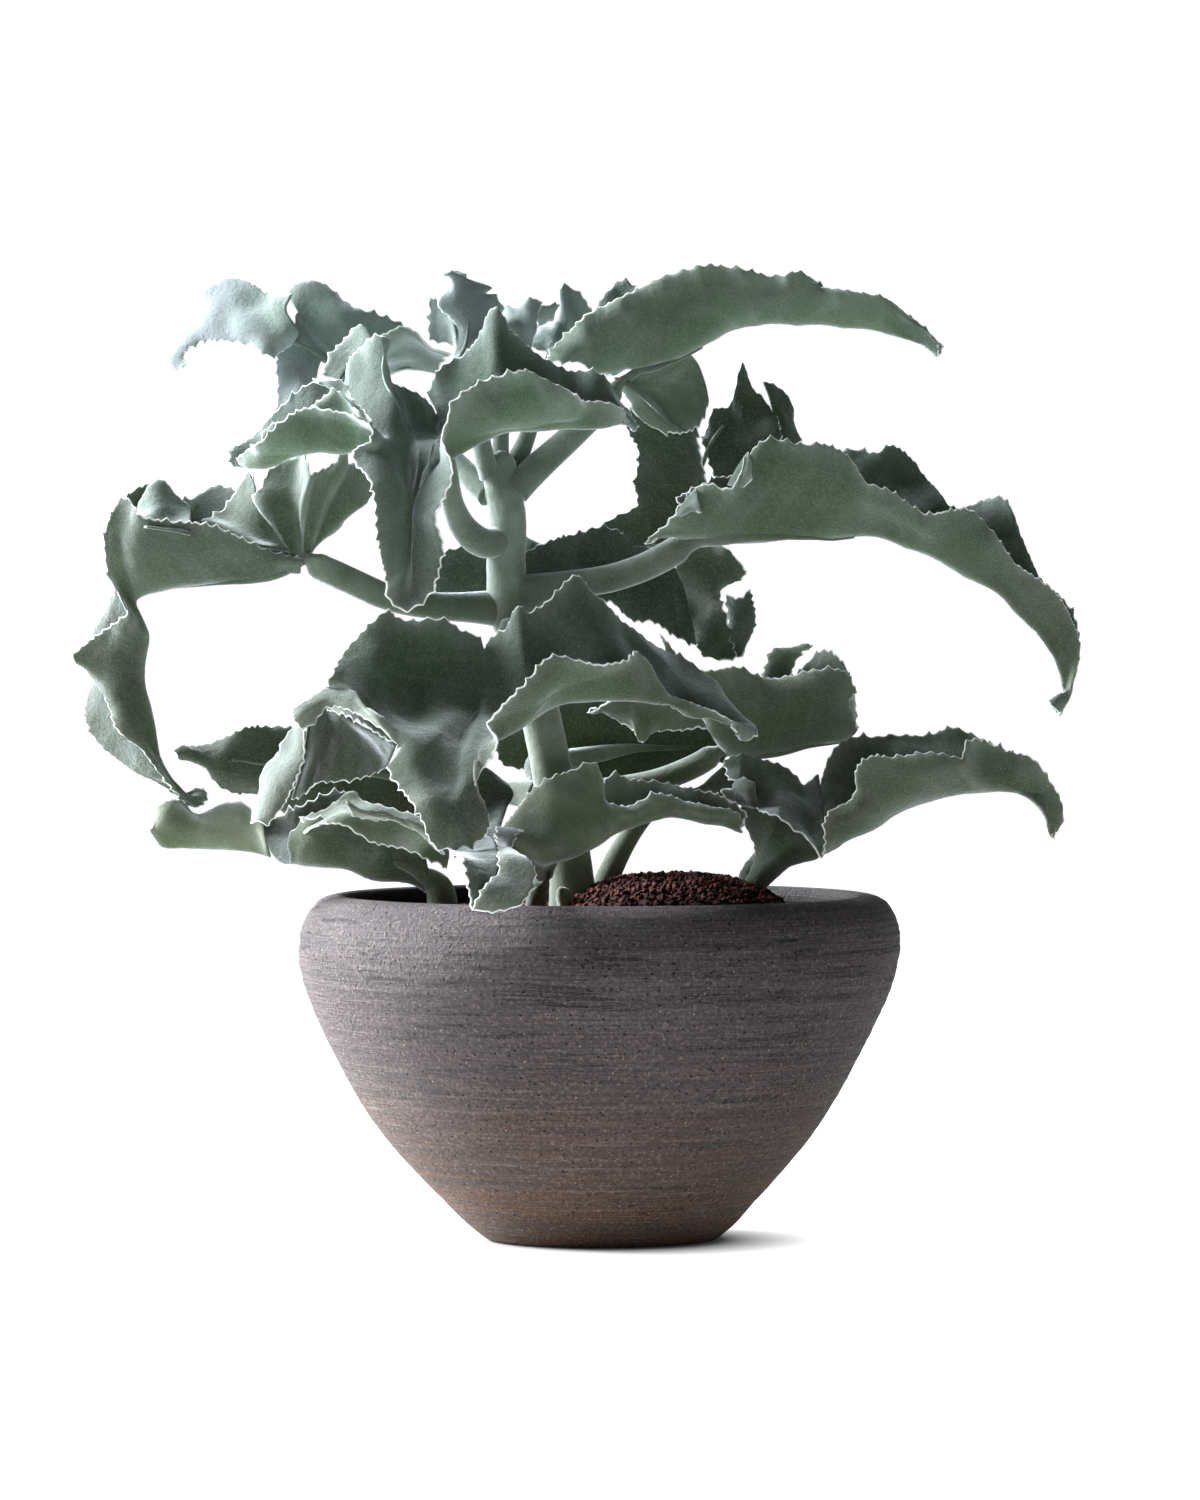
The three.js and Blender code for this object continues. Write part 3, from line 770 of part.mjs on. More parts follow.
        [[-5, 464, 31], [-6, 462, 31], [-7, 460, 30], [-8.5, 458, 29]],
      ] },
      { margins: "both", net: [
        [[-33, 458, 20], [-32, 462.5, 13], [-30, 465.5, 14]],
        [[-28.5, 459.5, 20], [-28, 463.5, 12], [-26, 467, 14]],
        [[-24.5, 460, 22], [-23.5, 464.5, 14], [-21, 468, 16]],
      ] },
    ],
  },
};

// The stem, as points [x, z, y, radius], swollen where the leaf pairs leave it.
const STEM = [
  [-14, 160, 0, 12.4], [-14.5, 170, 0, 12], [-15.5, 182, 0, 11.2], [-18, 200, 0, 10.8],
  [-23, 225, 0, 10.6], [-28, 250, 0, 10.2], [-32.5, 270, 0, 10.2], [-38, 292.5, 0, 10.6],
  [-45.5, 315, 0, 12.2], [-47.5, 329, 0, 10.2], [-48, 340, 0, 9.2], [-47.5, 350, 0, 9.8],
  [-47, 359, 0, 8.4], [-48, 368, 1, 9], [-50, 377, 2, 10.4], [-50, 386, 2, 9],
];

// The side bud at the stem's foot.
const BUD = [[-17, 160, -15, 3.4], [-17.5, 167, -18, 4.4], [-18.5, 171, -21, 4.4], [-20, 174, -24, 3]];

const wasm = await Module();
wasm.setup();

// A point [x, z, y] seen from the front, in its true place.
function place([x, z, y]) {
  const nearness = (VIEW_DISTANCE + y) / VIEW_DISTANCE;
  return new THREE.Vector3(x * nearness, y, EYE_HEIGHT + (z - EYE_HEIGHT) * nearness);
}

// A solid from flat lists of coordinates and of triangle corners.
function solidOf(positions, triangles) {
  const geometry = new THREE.BufferGeometry();
  geometry.setAttribute("position", new THREE.Float32BufferAttribute(positions, 3));
  geometry.setIndex(triangles);
  return solidOfGeometry(geometry);
}

// A solid from a closed geometry, its shared corners merged.
function solidOfGeometry(geometry) {
  geometry.deleteAttribute("normal");
  geometry.deleteAttribute("uv");
  const merged = mergeVertices(geometry, 1e-4);
  const corners = merged.index.array;
  const triangles = [];
  for (let k = 0; k < corners.length; k += 3) {
    const [a, b, c] = [corners[k], corners[k + 1], corners[k + 2]];
    if (a !== b && b !== c && c !== a) triangles.push(a, b, c);
  }
  return new wasm.Manifold(
    new wasm.Mesh({
      numProp: 3,
      vertProperties: merged.attributes.position.array,
      triVerts: new Uint32Array(triangles),
    }),
  );
}

// A round tube along points [x, z, y, radius], each radius grown by `extra` and both ends
// pushed out by as much.
function tube(points, extra = 0) {
  const centres = points.map(place);
  const path = new THREE.CatmullRomCurve3(centres, false, "centripetal");
  const steps = points.length - 1;
  const positions = [];
  const triangles = [];
  const side = new THREE.Vector3(0.31, 0.94, 0.12);
  for (let i = 0; i <= steps; i++) {
    const along = path.getTangent(i / steps);
    const centre = path.getPoint(i / steps);
    if (i === 0) centre.addScaledVector(along, -extra);
    if (i === steps) centre.addScaledVector(along, extra);
    const radius = points[i][3] + extra;
    side.addScaledVector(along, -side.dot(along)).normalize();
    const up = new THREE.Vector3().crossVectors(along, side);
    for (let k = 0; k < TUBE_SIDES; k++) {
      const turn = (2 * Math.PI * k) / TUBE_SIDES;
      const point = centre
        .clone()
        .addScaledVector(side, radius * Math.cos(turn))
        .addScaledVector(up, radius * Math.sin(turn));
      positions.push(point.x, point.y, point.z);
    }
  }
  const ring = (i, k) => i * TUBE_SIDES + (k % TUBE_SIDES);
  for (let i = 0; i < steps; i++) {
    for (let k = 0; k < TUBE_SIDES; k++) {
      triangles.push(ring(i, k), ring(i, k + 1), ring(i + 1, k + 1));
      triangles.push(ring(i, k), ring(i + 1, k + 1), ring(i + 1, k));
    }
  }
  for (let k = 1; k < TUBE_SIDES - 1; k++) {
    triangles.push(ring(0, 0), ring(0, k + 1), ring(0, k));
    triangles.push(ring(steps, 0), ring(steps, k), ring(steps, k + 1));
  }
  return solidOf(positions, triangles);
}

// The point of a notch in the free margin between the points a and b, drawn in towards c.
function notch(a, b, c) {
  const middle = a.clone().add(b).multiplyScalar(0.5);
  const inward = c.clone().sub(middle);
  const depth = Math.min(TOOTH_DEPTH, 0.3 * inward.length());
  return middle.addScaledVector(inward.normalize(), depth);
}

// A leaf sheet as a closed solid of even thickness, with the same triangles on both faces.
// Its free margins have a notch between each two stations.
function sheetSolid({ margins, net }) {
  const stations = net.map((station) => station.map(place));
  const height = stations.length;
  const width = stations[0].length;
  const points = stations.flat();
  const at = (i, j) => i * width + j;
  const firstNotch = [];
  const lastNotch = [];
  for (let i = 0; i < height - 1; i++) {
    if (margins === "both" || margins === "first") {
      firstNotch.push(points.length);
      points.push(notch(stations[i][0], stations[i + 1][0], stations[i][1]));
    }
    if (margins === "both" || margins === "last") {
      lastNotch.push(points.length);
      points.push(notch(stations[i][width - 1], stations[i + 1][width - 1], stations[i][width - 2]));
    }
  }
  const faces = [];
  for (let i = 0; i < height - 1; i++) {
    for (let j = 0; j < width - 1; j++) {
      const [a, b, c, d] = [at(i, j), at(i, j + 1), at(i + 1, j + 1), at(i + 1, j)];
      if (j === 0 && firstNotch.length > 0) {
        faces.push(a, b, firstNotch[i], firstNotch[i], b, c, firstNotch[i], c, d);
      } else if (j === width - 2 && lastNotch.length > 0) {
        faces.push(a, b, lastNotch[i], a, lastNotch[i], d, lastNotch[i], c, d);
      } else {
        faces.push(a, b, c, a, c, d);
      }
    }
  }
  const middle = new THREE.BufferGeometry().setFromPoints(points);
  middle.setIndex(faces);
  middle.computeVertexNormals();
  const centre = middle.attributes.position;
  const normal = middle.attributes.normal;
  const count = points.length;
  const positions = [];
  for (const side of [1, -1]) {
    const push = (side * BLADE_THICKNESS) / 2;
    for (let k = 0; k < count; k++) {
      positions.push(
        centre.getX(k) + push * normal.getX(k),
        centre.getY(k) + push * normal.getY(k),
        centre.getZ(k) + push * normal.getZ(k),
      );
    }
  }
  const triangles = [...faces];
  for (let k = 0; k < faces.length; k += 3) {
    triangles.push(faces[k] + count, faces[k + 2] + count, faces[k + 1] + count);
  }
  const rim = [];
  for (let j = 0; j < width - 1; j++) rim.push(at(0, j));
  for (let i = 0; i < height - 1; i++) rim.push(at(i, width - 1), ...lastNotch.slice(i, i + 1));
  for (let j = width - 1; j > 0; j--) rim.push(at(height - 1, j));
  for (let i = height - 1; i > 0; i--) rim.push(at(i, 0), ...firstNotch.slice(i - 1, i));
  rim.forEach((a, k) => {
    const b = rim[(k + 1) % rim.length];
    triangles.push(b, a, a + count);
    triangles.push(b, a + count, b + count);
  });
  return solidOf(positions, triangles);
}

// A leaf: its petiole, its sheets and the veins that carry them, with no hollow left inside.
function leafSolid({ petiole, sheets, veins = [] }) {
  const pieces = [...veins.map((vein) => tube(vein)), ...sheets.map(sheetSolid)];
  const leaf = pieces.reduce((whole, piece) => whole.add(piece), tube(petiole));
  const bodies = leaf.decompose().filter((body) => body.volume() > 0);
  return wasm.Manifold.compose(bodies).asOriginal().simplify(FLATNESS);
}

// A solid of revolution from a profile of [radius, height] points that runs anticlockwise.
function turned(profile, segments = POT_SEGMENTS) {
  const points = profile.map(([r, z]) => new THREE.Vector2(r, z));
  const geometry = new THREE.LatheGeometry([...points, points[0]], segments);
  geometry.rotateX(Math.PI / 2);
  return solidOfGeometry(geometry);
}

// Outside of the bowl from foot to lip, [radius, height].
const POT_OUTSIDE = [
  [FOOT_RADIUS, 0], [66.8, 7], [90, 32.5], [110, 57], [126, 83], [139.5, 109],
  [147.5, 128], [BELLY_RADIUS, BELLY_HEIGHT], [149.6, 157.5], [146, 165.5], [141, 170.6],
  [MOUTH_RADIUS, RIM_HEIGHT],
];
const POT_INSIDE = [
  [128, 170.5], [129, 166], [138, 159], [142.5, 148], [140.5, 134], [130, 107], [109, 70],
  [90, 44], [50, FLOOR_THICKNESS],
];
// The bowl was thrown a little off true: its belly stands this far to one side.
const LEAN_LINEAR = -0.06;
const LEAN_SQUARE = 0.00035;

// The solid with the bowl's lean.
function leaning(solid) {
  return solid.warp((point) => {
    point[0] += LEAN_LINEAR * point[2] + LEAN_SQUARE * point[2] * point[2];
  });
}

// The fill follows the bowl's inside, a seat gap away from it.
const FILL_SIDE = [
  [0, FLOOR_THICKNESS + SEAT_GAP], [49.7, FLOOR_THICKNESS + SEAT_GAP], [89.6, 44.3], [108.6, 70.2],
    [129.6, 107.1], [140.1, 134], [142, 148],
  [137.4, 159], [134.5, 160.8],
];
// The grit is heaped up to the right of the stem.
const MOUND_CENTRE = 33;
const MOUND_HALF_WIDTH = 58;
const MOUND_HALF_DEPTH = 80;
const GRIT_RINGS = [131, 120, 108, 96, 84, 70, 54, 36, 18, 0];
const GRIT_RELIEF = 0.9;

// The height of the grit's surface at a place in the bowl.
function gritHeight(x, y) {
  const away = ((x - MOUND_CENTRE) / MOUND_HALF_WIDTH) ** 2 + (y / MOUND_HALF_DEPTH) ** 2;
  const rise = (GRIT_PEAK_HEIGHT - GRIT_EDGE_HEIGHT) * Math.max(0, 1 - away);
  return GRIT_EDGE_HEIGHT + rise + GRIT_RELIEF * Math.sin(0.9 * x + 2 * y) * Math.sin(1.3 * y - x);
}

// The whole fill, its top heaped and a little rough.
function gritFill() {
  const top = GRIT_RINGS.map((r) => [r, GRIT_EDGE_HEIGHT]);
  return turned([...FILL_SIDE, ...top]).warp((point) => {
    if (point[2] > GRIT_EDGE_HEIGHT - 0.5) point[2] = gritHeight(point[0], point[1]);
  });
}

const root = new THREE.Group();
root.name = "felt_bush";

// Adds a solid to the group as a named mesh with a material of its own.
function add(name, solid, colour, roughness) {
  const { vertProperties, triVerts } = solid.getMesh();
  const geometry = new THREE.BufferGeometry();
  geometry.setAttribute("position", new THREE.BufferAttribute(vertProperties, 3));
  geometry.setIndex(new THREE.BufferAttribute(triVerts, 1));
  geometry.computeVertexNormals();
  const material = new THREE.MeshStandardMaterial({ color: colour, roughness, metalness: 0 });
  const mesh = new THREE.Mesh(geometry, material);
  mesh.name = name;
  root.add(mesh);
}

const LEAF_COLOUR = 0x6f8276;
const YOUNG_COLOUR = 0x9fb0a6;
const STEM_COLOUR = 0x84937f;

const leaves = Object.entries(LEAVES);
let stem = tube(STEM);
let grit = leaning(gritFill());
for (const [, leaf] of leaves) {
  const grown = tube(leaf.petiole, SEAT_GAP);
  stem = stem.subtract(grown);
  grit = grit.subtract(grown);
}
const grownBud = tube(BUD, SEAT_GAP);
stem = stem.subtract(grownBud);
grit = grit.subtract(tube(STEM, SEAT_GAP)).subtract(grownBud);

add("pot", leaning(turned([[0, 0],
  ...POT_OUTSIDE, ...POT_INSIDE, [0, FLOOR_THICKNESS]])), 0x5d5553, 0.85);
add("lava_grit", grit.asOriginal().simplify(FLATNESS), 0x55302c, 1);
add("stem", stem.asOriginal().simplify(FLATNESS), STEM_COLOUR, 0.9);
add("basal_bud", tube(BUD), 0xa9aca4, 0.9);
for (const [name, leaf] of leaves) {
  add(name, leafSolid(leaf), name.startsWith("leaf_top") ? YOUNG_COLOUR : LEAF_COLOUR, 0.95);
}

export default root;
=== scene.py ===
"""A felt bush in a dark stoneware bowl: velvety, lobed leaves with waved, toothed margins
over red lava grit. Metres, +Z up, the front towards -Y, the origin under the middle of the
bowl's foot. Tables and named sizes are in millimetres, lights and shader values in metres."""

import math

import bpy
import numpy as np
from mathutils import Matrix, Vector, kdtree


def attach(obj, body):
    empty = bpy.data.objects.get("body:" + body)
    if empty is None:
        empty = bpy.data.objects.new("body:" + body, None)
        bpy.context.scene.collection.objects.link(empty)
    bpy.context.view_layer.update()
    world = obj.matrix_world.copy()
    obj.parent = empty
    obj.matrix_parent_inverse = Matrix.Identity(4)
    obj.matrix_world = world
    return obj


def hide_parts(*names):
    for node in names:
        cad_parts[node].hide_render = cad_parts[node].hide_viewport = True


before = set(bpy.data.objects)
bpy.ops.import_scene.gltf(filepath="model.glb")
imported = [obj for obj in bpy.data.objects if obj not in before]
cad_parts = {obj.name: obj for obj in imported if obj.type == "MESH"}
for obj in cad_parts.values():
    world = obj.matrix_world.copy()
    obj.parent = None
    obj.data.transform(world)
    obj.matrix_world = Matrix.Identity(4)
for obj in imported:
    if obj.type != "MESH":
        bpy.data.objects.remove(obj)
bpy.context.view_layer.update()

MM = 0.001
SEED = 11

# The bowl
FOOT_RADIUS = 59
BELLY_RADIUS = 151
BELLY_HEIGHT = 147
RIM_HEIGHT = 173
MOUTH_RADIUS = 131.5
FLOOR_THICKNESS = 13
LEAN_LINEAR = -0.06
LEAN_SQUARE = 0.00035
POT_SIDES = 250
POT_STEP = 1.9

# Throwing grooves: the marks around the bowl, the height of one and how deep they are cut.
GROOVES = ((5, 1.9, 1.0), (9, 4.3, 0.8), (60, 1.7, 0.5))

# The grit
GRIT_RADIUS = 134
GRIT_EDGE_HEIGHT = 163
GRIT_PEAK_HEIGHT = 183
MOUND_CENTRE = 36
MOUND_HALF_WIDTH = 62
MOUND_HALF_DEPTH = 80
BED_DEPTH = 1.6
GRAIN_SIZE = 2.9
GRAIN_COUNT = 7200
GRAIN_JITTER = 1.8
GRAIN_SINK = 0.6

# The leaves
BLADE_THICKNESS = 1.3
LEAF_STEP = 1.6
EASING_ROUNDS = 12
EASING_SHARE = 0.7
HELD_MARGIN = 9
TOOTH_SPACING = 5.6
TOOTH_DEPTH = 2.1
TOOTH_REACH = 2.6
TOOTHLESS_END = 3
RUFFLE_HEIGHT = 0.9
RUFFLE_LENGTH = 13
RUFFLE_REACH = 6
RIM_WIDTH = 0.6
MARGIN_BULGE = 0.75
MARGIN_THINNING = 0.4
# How pale the felt is at a free margin, partly its own paleness and partly painted sheen.
MARGIN_PALENESS = 0.7
RIPPLE_LENGTH = 34
RIPPLE_DEPTH = 2.6
RIPPLE_WAVES = 8
RIPPLE_CREASES = 4
RIPPLE_FADE = 16
PALE_MARGIN_WIDTH = 7
VEIN_SPACING = 16
VEIN_WIDTH = 1.1
VEIN_SLANT = 0.45
VEIN_BEND = 2.2
VEIN_BEND_LENGTH = 11
SMALL_VEIN_SPACING = 0.43 * VEIN_SPACING
SMALL_VEIN_WIDTH = 0.8
SMALL_VEIN_SLANT = 0.9
SMALL_VEIN_STRENGTH = 0.35
VEIN_RELIEF_UNDER = 0.25
VEIN_RELIEF_UPPER = -0.12

# A sheet's points lie this many times farther apart across it than along it.
ACROSS_STEP = 1.7

# The two lines of points inside a margin: how far in, and the most of the gap beside it.
RIM_LINES = ((0.25, 0.25), (0.6, 0.5))

# The stem and the petioles. A petiole that starts above the flare height meets the stem.
STALK_STEP = 2.0
STEM_STEP = 1.0
BUD_STEP = 0.8
MIDRIB_THINNING = 0.45
MIDRIB_STANDS_OUT = 0.25
FLARE_FROM_HEIGHT = 200
FLARE_AMOUNT = 0.4
FLARE_LENGTH = 8
SCAR_LEVELS = (196, 214, 236, 252, 268, 283, 297, 309, 322, 337, 352, 364, 374)
SCAR_WIDTH = 1.6

# The plant's points are written as they stand seen from the front, so these two bring
# them back to their true places.
VIEW_DISTANCE = 4500
EYE_HEIGHT = 369

# The camera, the lights and the floor
CAMERA_LENS = 216
CAMERA_SENSOR = 36
CAMERA_PITCH = math.radians(1.575)
CAMERA_SIDEWAYS = -1
WORLD_LIGHT = 0.05
WORLD_SHOWN = 1.05
FLOOR_HALF_SIZE = 9000
# The floor's painted shadow: its glow near the foot, and where the glow begins and ends fading up.
PAINTED_SHADOW_GLOW = 0.03
PAINTED_SHADOW_INNER = 60
PAINTED_SHADOW_OUTER = 105

# Each leaf is a petiole, as points "x z y radius", and one or more sheets. A sheet's net has
# a station on each line, and a station has points "x z y". "free" names the sheet's free
# margins: "first" and "last" run through the stations' first and last points, "start" and
# "end" are the first and the last station. "upper" is 1 where the sheet's first face is the
# leaf's upper face. "tone" is painted light and shade: it lightens or darkens the first and
# the other face, where light falls on them or where they lie in shade. "swells" push the leaf
# farther, or nearer if negative, as "x z reach_x reach_z push", and "veins" are raised ribs,
# as points like the petiole's.
LEAVES = {
    "leaf_front_middle": {
        "swells": "-112 292 13 34 -9, -41 300 12 32 -8",
        "petiole": """
            -43 306 -4 6, -47 298 -11 6.4, -53 288 -22 6, -57 278 -34 5, -60 268 -46 3.5,
            -66 258 -60 2.2, -78 248 -80 1.2""",
        "sheets": [
            {"free": "first last start end", "upper": 1, "net": """
-107 315.5 -42, -120 306 -48, -129.5 294 -57, -137 279 -74, -140.5 273.5 -52, -137 265 -62
-103 311.5 -42, -112 297.5 -48, -120 286 -57, -126 277 -74, -128.5 271 -68, -129 263.5 -74
-95 308.5 -42, -101 292.5 -48, -107 276 -57, -115 269 -74, -118.5 263 -80, -118.5 258 -84
-86 309.5 -42, -89 290 -48, -93 270 -57, -100 261 -74, -105 255 -86, -108 251.5 -88
-77 309 -42, -79 289 -48, -82 269 -57, -89 260 -74, -96 251 -92, -101 246 -92
-70 304.5 -42, -72 286 -48, -75 267 -57, -81 259 -74, -94 245 -98, -107.5 237 -98
-64 303 -42, -66 284 -48, -69 266 -57, -76 257 -74, -89 232.5 -106, -99 224 -108
-60.5 299 -42, -62 282 -48, -64.5 265 -57, -71 255 -74, -83 224 -112, -91 212.5 -116
-59 296 -42, -59.5 280 -48, -61.5 264 -57, -67 254 -74, -76 220 -114, -82.5 196.5 -118
-57.5 299.5 -40, -56.5 281 -48, -59 264.5 -60, -63.5 254 -80, -69 225 -112, -61.5 201 -112
-55.5 302.5 -40, -54 283 -48, -56.5 265 -60, -60.5 254.5 -80, -63 235 -106, -60.5 219.5 -108
-53 305 -40, -52 284 -48, -54 265 -60, -58 254.5 -80, -62 242.5 -100, -64 231.5 -106
-50 307 -40, -49.5 285 -48, -51 265 -60, -54.5 254.5 -80, -55.5 250 -98, -52.5 249 -104
-46 313 -40, -45.5 287.5 -48, -46 266 -60, -47 255 -80, -53.5 252.5 -98, -58 257 -104
-42.5 318 -40, -40 292.5 -48, -38 270 -60, -37 258 -80, -45 261 -100, -52.5 265 -106
-35.5 315 -40, -31 295 -48, -26 275 -60, -23 267 -80, -30 273 -98, -37 280 -106
-26 320.5 -39, -21 300 -47.9, -13.5 280 -60.3, -8.5 270 -79.8, -17 280 -96, -25 292 -104
-12.5 333.5 -35.8, -6 305 -47.3, 0 284 -60.7, 5 272 -77.9, 0 280 -90, -5 289 -98
-2 322 -33.3, 4 301 -45.8, 11.5 282 -58.9, 19 270.5 -74.4, 15 279 -84, 10 290 -90
13 310 -28, 18 295 -39.4, 25 279 -53.1, 31 268 -64.5, 25 277 -74, 19 294 -80
30 298 -24, 33 287.5 -34, 37 276 -44, 44 264 -52, 39 268 -60, 31 275 -66
49 286 -22, 51 279 -28, 54 271 -36, 57 260 -44, 53 263 -50, 49 267.5 -54
63 275 -20, 64 269 -26, 65.5 263 -32, 68 256 -36, 66 257.5 -41, 63 260 -45
71 260 -22, 72.5 258.5 -25, 74 256 -28, 75 253 -31, 73 253 -34, 70.5 254.5 -36"""},
            {"free": "last", "upper": -1, "tone": (-0.6, -0.6), "net": """
-146.5 264 -62, -147.5 252.5 -66, -149.5 240 -66, -152 230 -62, -155 220.5 -58
-140 267 -60, -141 255 -56, -143 242.5 -54, -145.5 232.5 -52, -149 223.5 -50
-132 266 -66, -133.5 256 -66, -135.5 246 -62, -138 237 -58, -141 229.5 -56
-123.5 259 -70, -125 251 -62, -126.5 244 -56, -128 237 -52, -129.5 231 -50
-114 254 -78, -115.5 248 -70, -117 242.5 -62, -118 237 -58, -119 232 -54
-103 248 -90, -104.5 244 -84, -106 240.5 -78, -107 238 -72, -108.5 236 -68"""},
            {"free": "first last start end", "upper": -1, "tone": (-0.1, -0.1), "net": """
-154 257.5 -66, -152 257 -68, -150 256.5 -70, -147.5 256 -72
-157.5 251 -64, -154 250 -69, -151 249.5 -74, -147 249.5 -76
-163 244 -62, -158.5 243 -70, -153.5 242 -77, -148 241.5 -80
-170 235 -62, -164.5 234 -72, -158.5 232.5 -80, -151.5 232 -82
-174 224 -62, -168.5 223.5 -72, -162.5 223 -80, -156 223.5 -82
-174 214 -64, -170 214 -72, -165.5 214.5 -78, -161 215 -80
-172 209 -68, -170.5 209 -72, -169 209.5 -75, -167 210.5 -76"""},
            {"free": "first last start", "upper": 1, "tone": (0.1, 0.1), "net": """
-154.5 262.5 -70, -153 260.5 -74, -151.5 258 -72
-149.5 267 -72, -148 264 -77, -146.5 260.5 -72
-144.5 271 -72, -143 267.5 -78, -141.5 264 -74
-138.5 276 -70, -137.5 271.5 -78, -136.5 267 -76
-131 277.5 -72, -130 271.5 -82, -129 265.5 -82
-124.5 276 -76, -123 269 -86, -122 262 -86
-118 270 -82, -116.5 264 -92, -115.5 258 -92
-110.5 262 -88, -109 257 -96, -107 252.5 -96
-103 251 -94, -102.5 249.5 -98, -102 248 -98"""},
        ],
    },
    "leaf_front_upper": {
        "swells": "-105 428 13 30 -12, -50 440 14 24 -4",
        "petiole": """
            -52 349 -4 6, -60 349 -12 7, -69 356 -24 6.8, -75 368 -36 6, -77 384 -50 5, -79 396 -62 4,
            -84 402 -70 3""",
        "sheets": [
            {"free": "first last start end", "upper": 1, "tone": (0.1, 0.25), "net": """
-186 392.5 -36, -185.5 390.5 -38, -184.5 388 -40, -183 386 -42, -182 388 -45, -183 390.5 -47
-173 405 -34, -173 397.5 -38, -172 390 -44, -171 386.5 -52, -173 392 -58, -174 398 -62
-161 417.5 -32, -160 407.5 -38, -158 396 -46, -156 391.5 -56, -159 399 -64, -162 408 -68
-146 429 -30, -145 416 -38, -143 402 -48, -141 395.5 -60, -145 405 -70, -148 415.5 -74
-132 431 -30, -130 419 -40, -128 405 -52, -126 397 -64, -129 405 -74, -133 414.5 -78
-125 441 -34, -122 426 -44, -119 411 -56, -117 400 -68, -118 405 -78, -120 411 -82
-120 446 -38, -116 428 -46, -112 412 -57, -110 401 -69, -112 404 -80, -114 407 -86
-115 449.5 -41, -111 431 -47, -106 414 -58, -105 401 -70, -110 398 -84, -115.5 400 -90
-110 451 -43, -107 433 -48, -102.5 414 -58, -101 400 -71, -111 394 -88, -124.5 394 -92
-108 441 -44, -105 429 -48, -100 413 -57, -98 399 -72, -105 386 -93, -116 380 -100
-104 433 -44, -101 425 -48, -96.5 411 -56, -95 398.5 -72, -101 374 -98, -113 366 -107
-97 427 -44, -95 421 -47, -93 408 -56, -92.5 393 -84, -99.5 360 -100, -112 351 -112
-90 423 -44, -89 418 -47, -88.5 407 -56, -90 392 -85, -97.5 346 -101, -109.5 332.5 -114
-84.5 417 -45, -84 413 -48, -85 405 -58, -88 391.5 -86, -97 334 -103, -105.5 321 -113
-82 413 -46, -82 410 -49, -83 404 -60, -87 391 -87, -96.5 331 -104, -98.5 315.5 -112
-84 417 -44, -82.5 413 -49, -81.5 404 -61, -86.5 391.5 -87, -95.5 338 -103, -87 323 -114
-87.5 424 -38, -82 419 -46, -79.5 407 -58, -86 391.5 -87, -94.5 352 -100, -82 342 -114
-83 434 -36, -79 422.5 -45, -77.5 407.5 -58, -84 392 -87, -93.5 364 -98, -82 352 -114
-76 439.5 -33, -74.5 424 -44, -74 408 -58, -82 392.5 -86, -92 373 -96, -83 362 -112
-70 443 -32, -70 425 -44, -71 408 -58, -79.5 393 -85, -89.5 381 -94, -80 374 -111
-64.5 449 -31, -65.5 426.5 -44, -67.5 408 -58, -76 393.5 -82, -82 388 -93, -75 390 -108
-60 456 -30, -61 428 -44, -63 408.5 -58, -70.5 395 -79, -76 397 -90, -79 406 -98
-53.5 466 -30, -54 431 -44, -54.5 410 -58, -60 399 -78, -69 407.5 -90, -77.5 418 -96
-48 455 -30, -47 432 -43, -46 413 -57, -48.5 403.5 -77, -58 414 -90, -67 426 -96
-41.5 451 -30, -39 432 -42, -36 415 -55, -36 405 -74, -45 417 -88, -53 431.5 -94
-32 444 -30, -29 430 -41, -26 416 -53, -24 405.5 -70, -31 418 -84, -40 435.5 -90
-20 436 -30, -17 426 -39, -13.5 415.5 -49, -11 406 -64, -18 414 -78, -26 429 -84
-7 436 -30, -5 427 -38, -2.5 416 -45, 0 406.5 -56, -6 412 -68, -12.5 420 -74
3 431.5 -30, 4.5 425 -36, 6 416 -41, 8 407 -48, 4.5 411 -56, 0 419.5 -62
11 422 -30, 12 418 -34, 13 413 -37, 14 407 -41, 12.5 409.5 -46, 10 414.5 -50
16.5 415 -30, 17 412.5 -33, 17.5 409.5 -35, 17.5 406 -38, 15.5 406.5 -41, 14 410 -43"""},
            {"free": "first", "upper": 1, "net": """
-140 433 -24, -136 432 -26, -131 430 -31
-134 444 -22, -130 442.5 -25, -125 439 -30
-126 454.5 -22, -123 451 -25, -118 445 -31
-121 458 -24, -118.5 456 -26, -114 449 -31"""},
            {"free": "first start", "upper": 1, "tone": (0.3, 0.3), "net": """
-145 432.5 -54, -144 431 -56, -142 429 -58
-138.5 431 -58, -138 429 -60, -136 426 -60
-131.5 430 -62, -132 426 -63, -132 422 -62
-126.5 423.5 -68, -127.5 420.5 -68, -128 417 -66
-120.5 416 -76, -122 414 -75, -123 412 -72
-114.5 410 -84, -115.5 409 -82, -116.5 407.5 -80"""},
            {"free": "first start", "upper": -1, "tone": (0.1, 0.1), "net": """
-170 403 -50, -170 401 -52, -170 397 -50
-162.5 407.5 -54, -162.5 404.5 -56, -162 400 -54
-155 411.5 -58, -155 408 -60, -154 403 -58
-148 414.5 -62, -147.5 411 -65, -146.5 406 -62
-142 419 -66, -141 414.5 -69, -139.5 408 -66
-137.5 423.5 -70, -135.5 417.5 -73, -133 410 -70
-134 425.5 -71, -130.5 418.5 -75, -127 410.5 -73
-129 422 -75, -126 416.5 -78, -123 410 -76
-123 416 -79, -121 413 -81, -119 409 -79
-115.5 409.5 -84, -115.5 408.5 -84, -115.5 407 -83"""},
        ],
    },
    "leaf_front_lower": {
        "swells": "-60 222 28 30 24",
        "petiole": """
            -33 158 -34 5.6, -33 168 -38 5.4, -32 176 -45 5, -30 181 -53 4, -28 186 -60 2.6""",
        "sheets": [
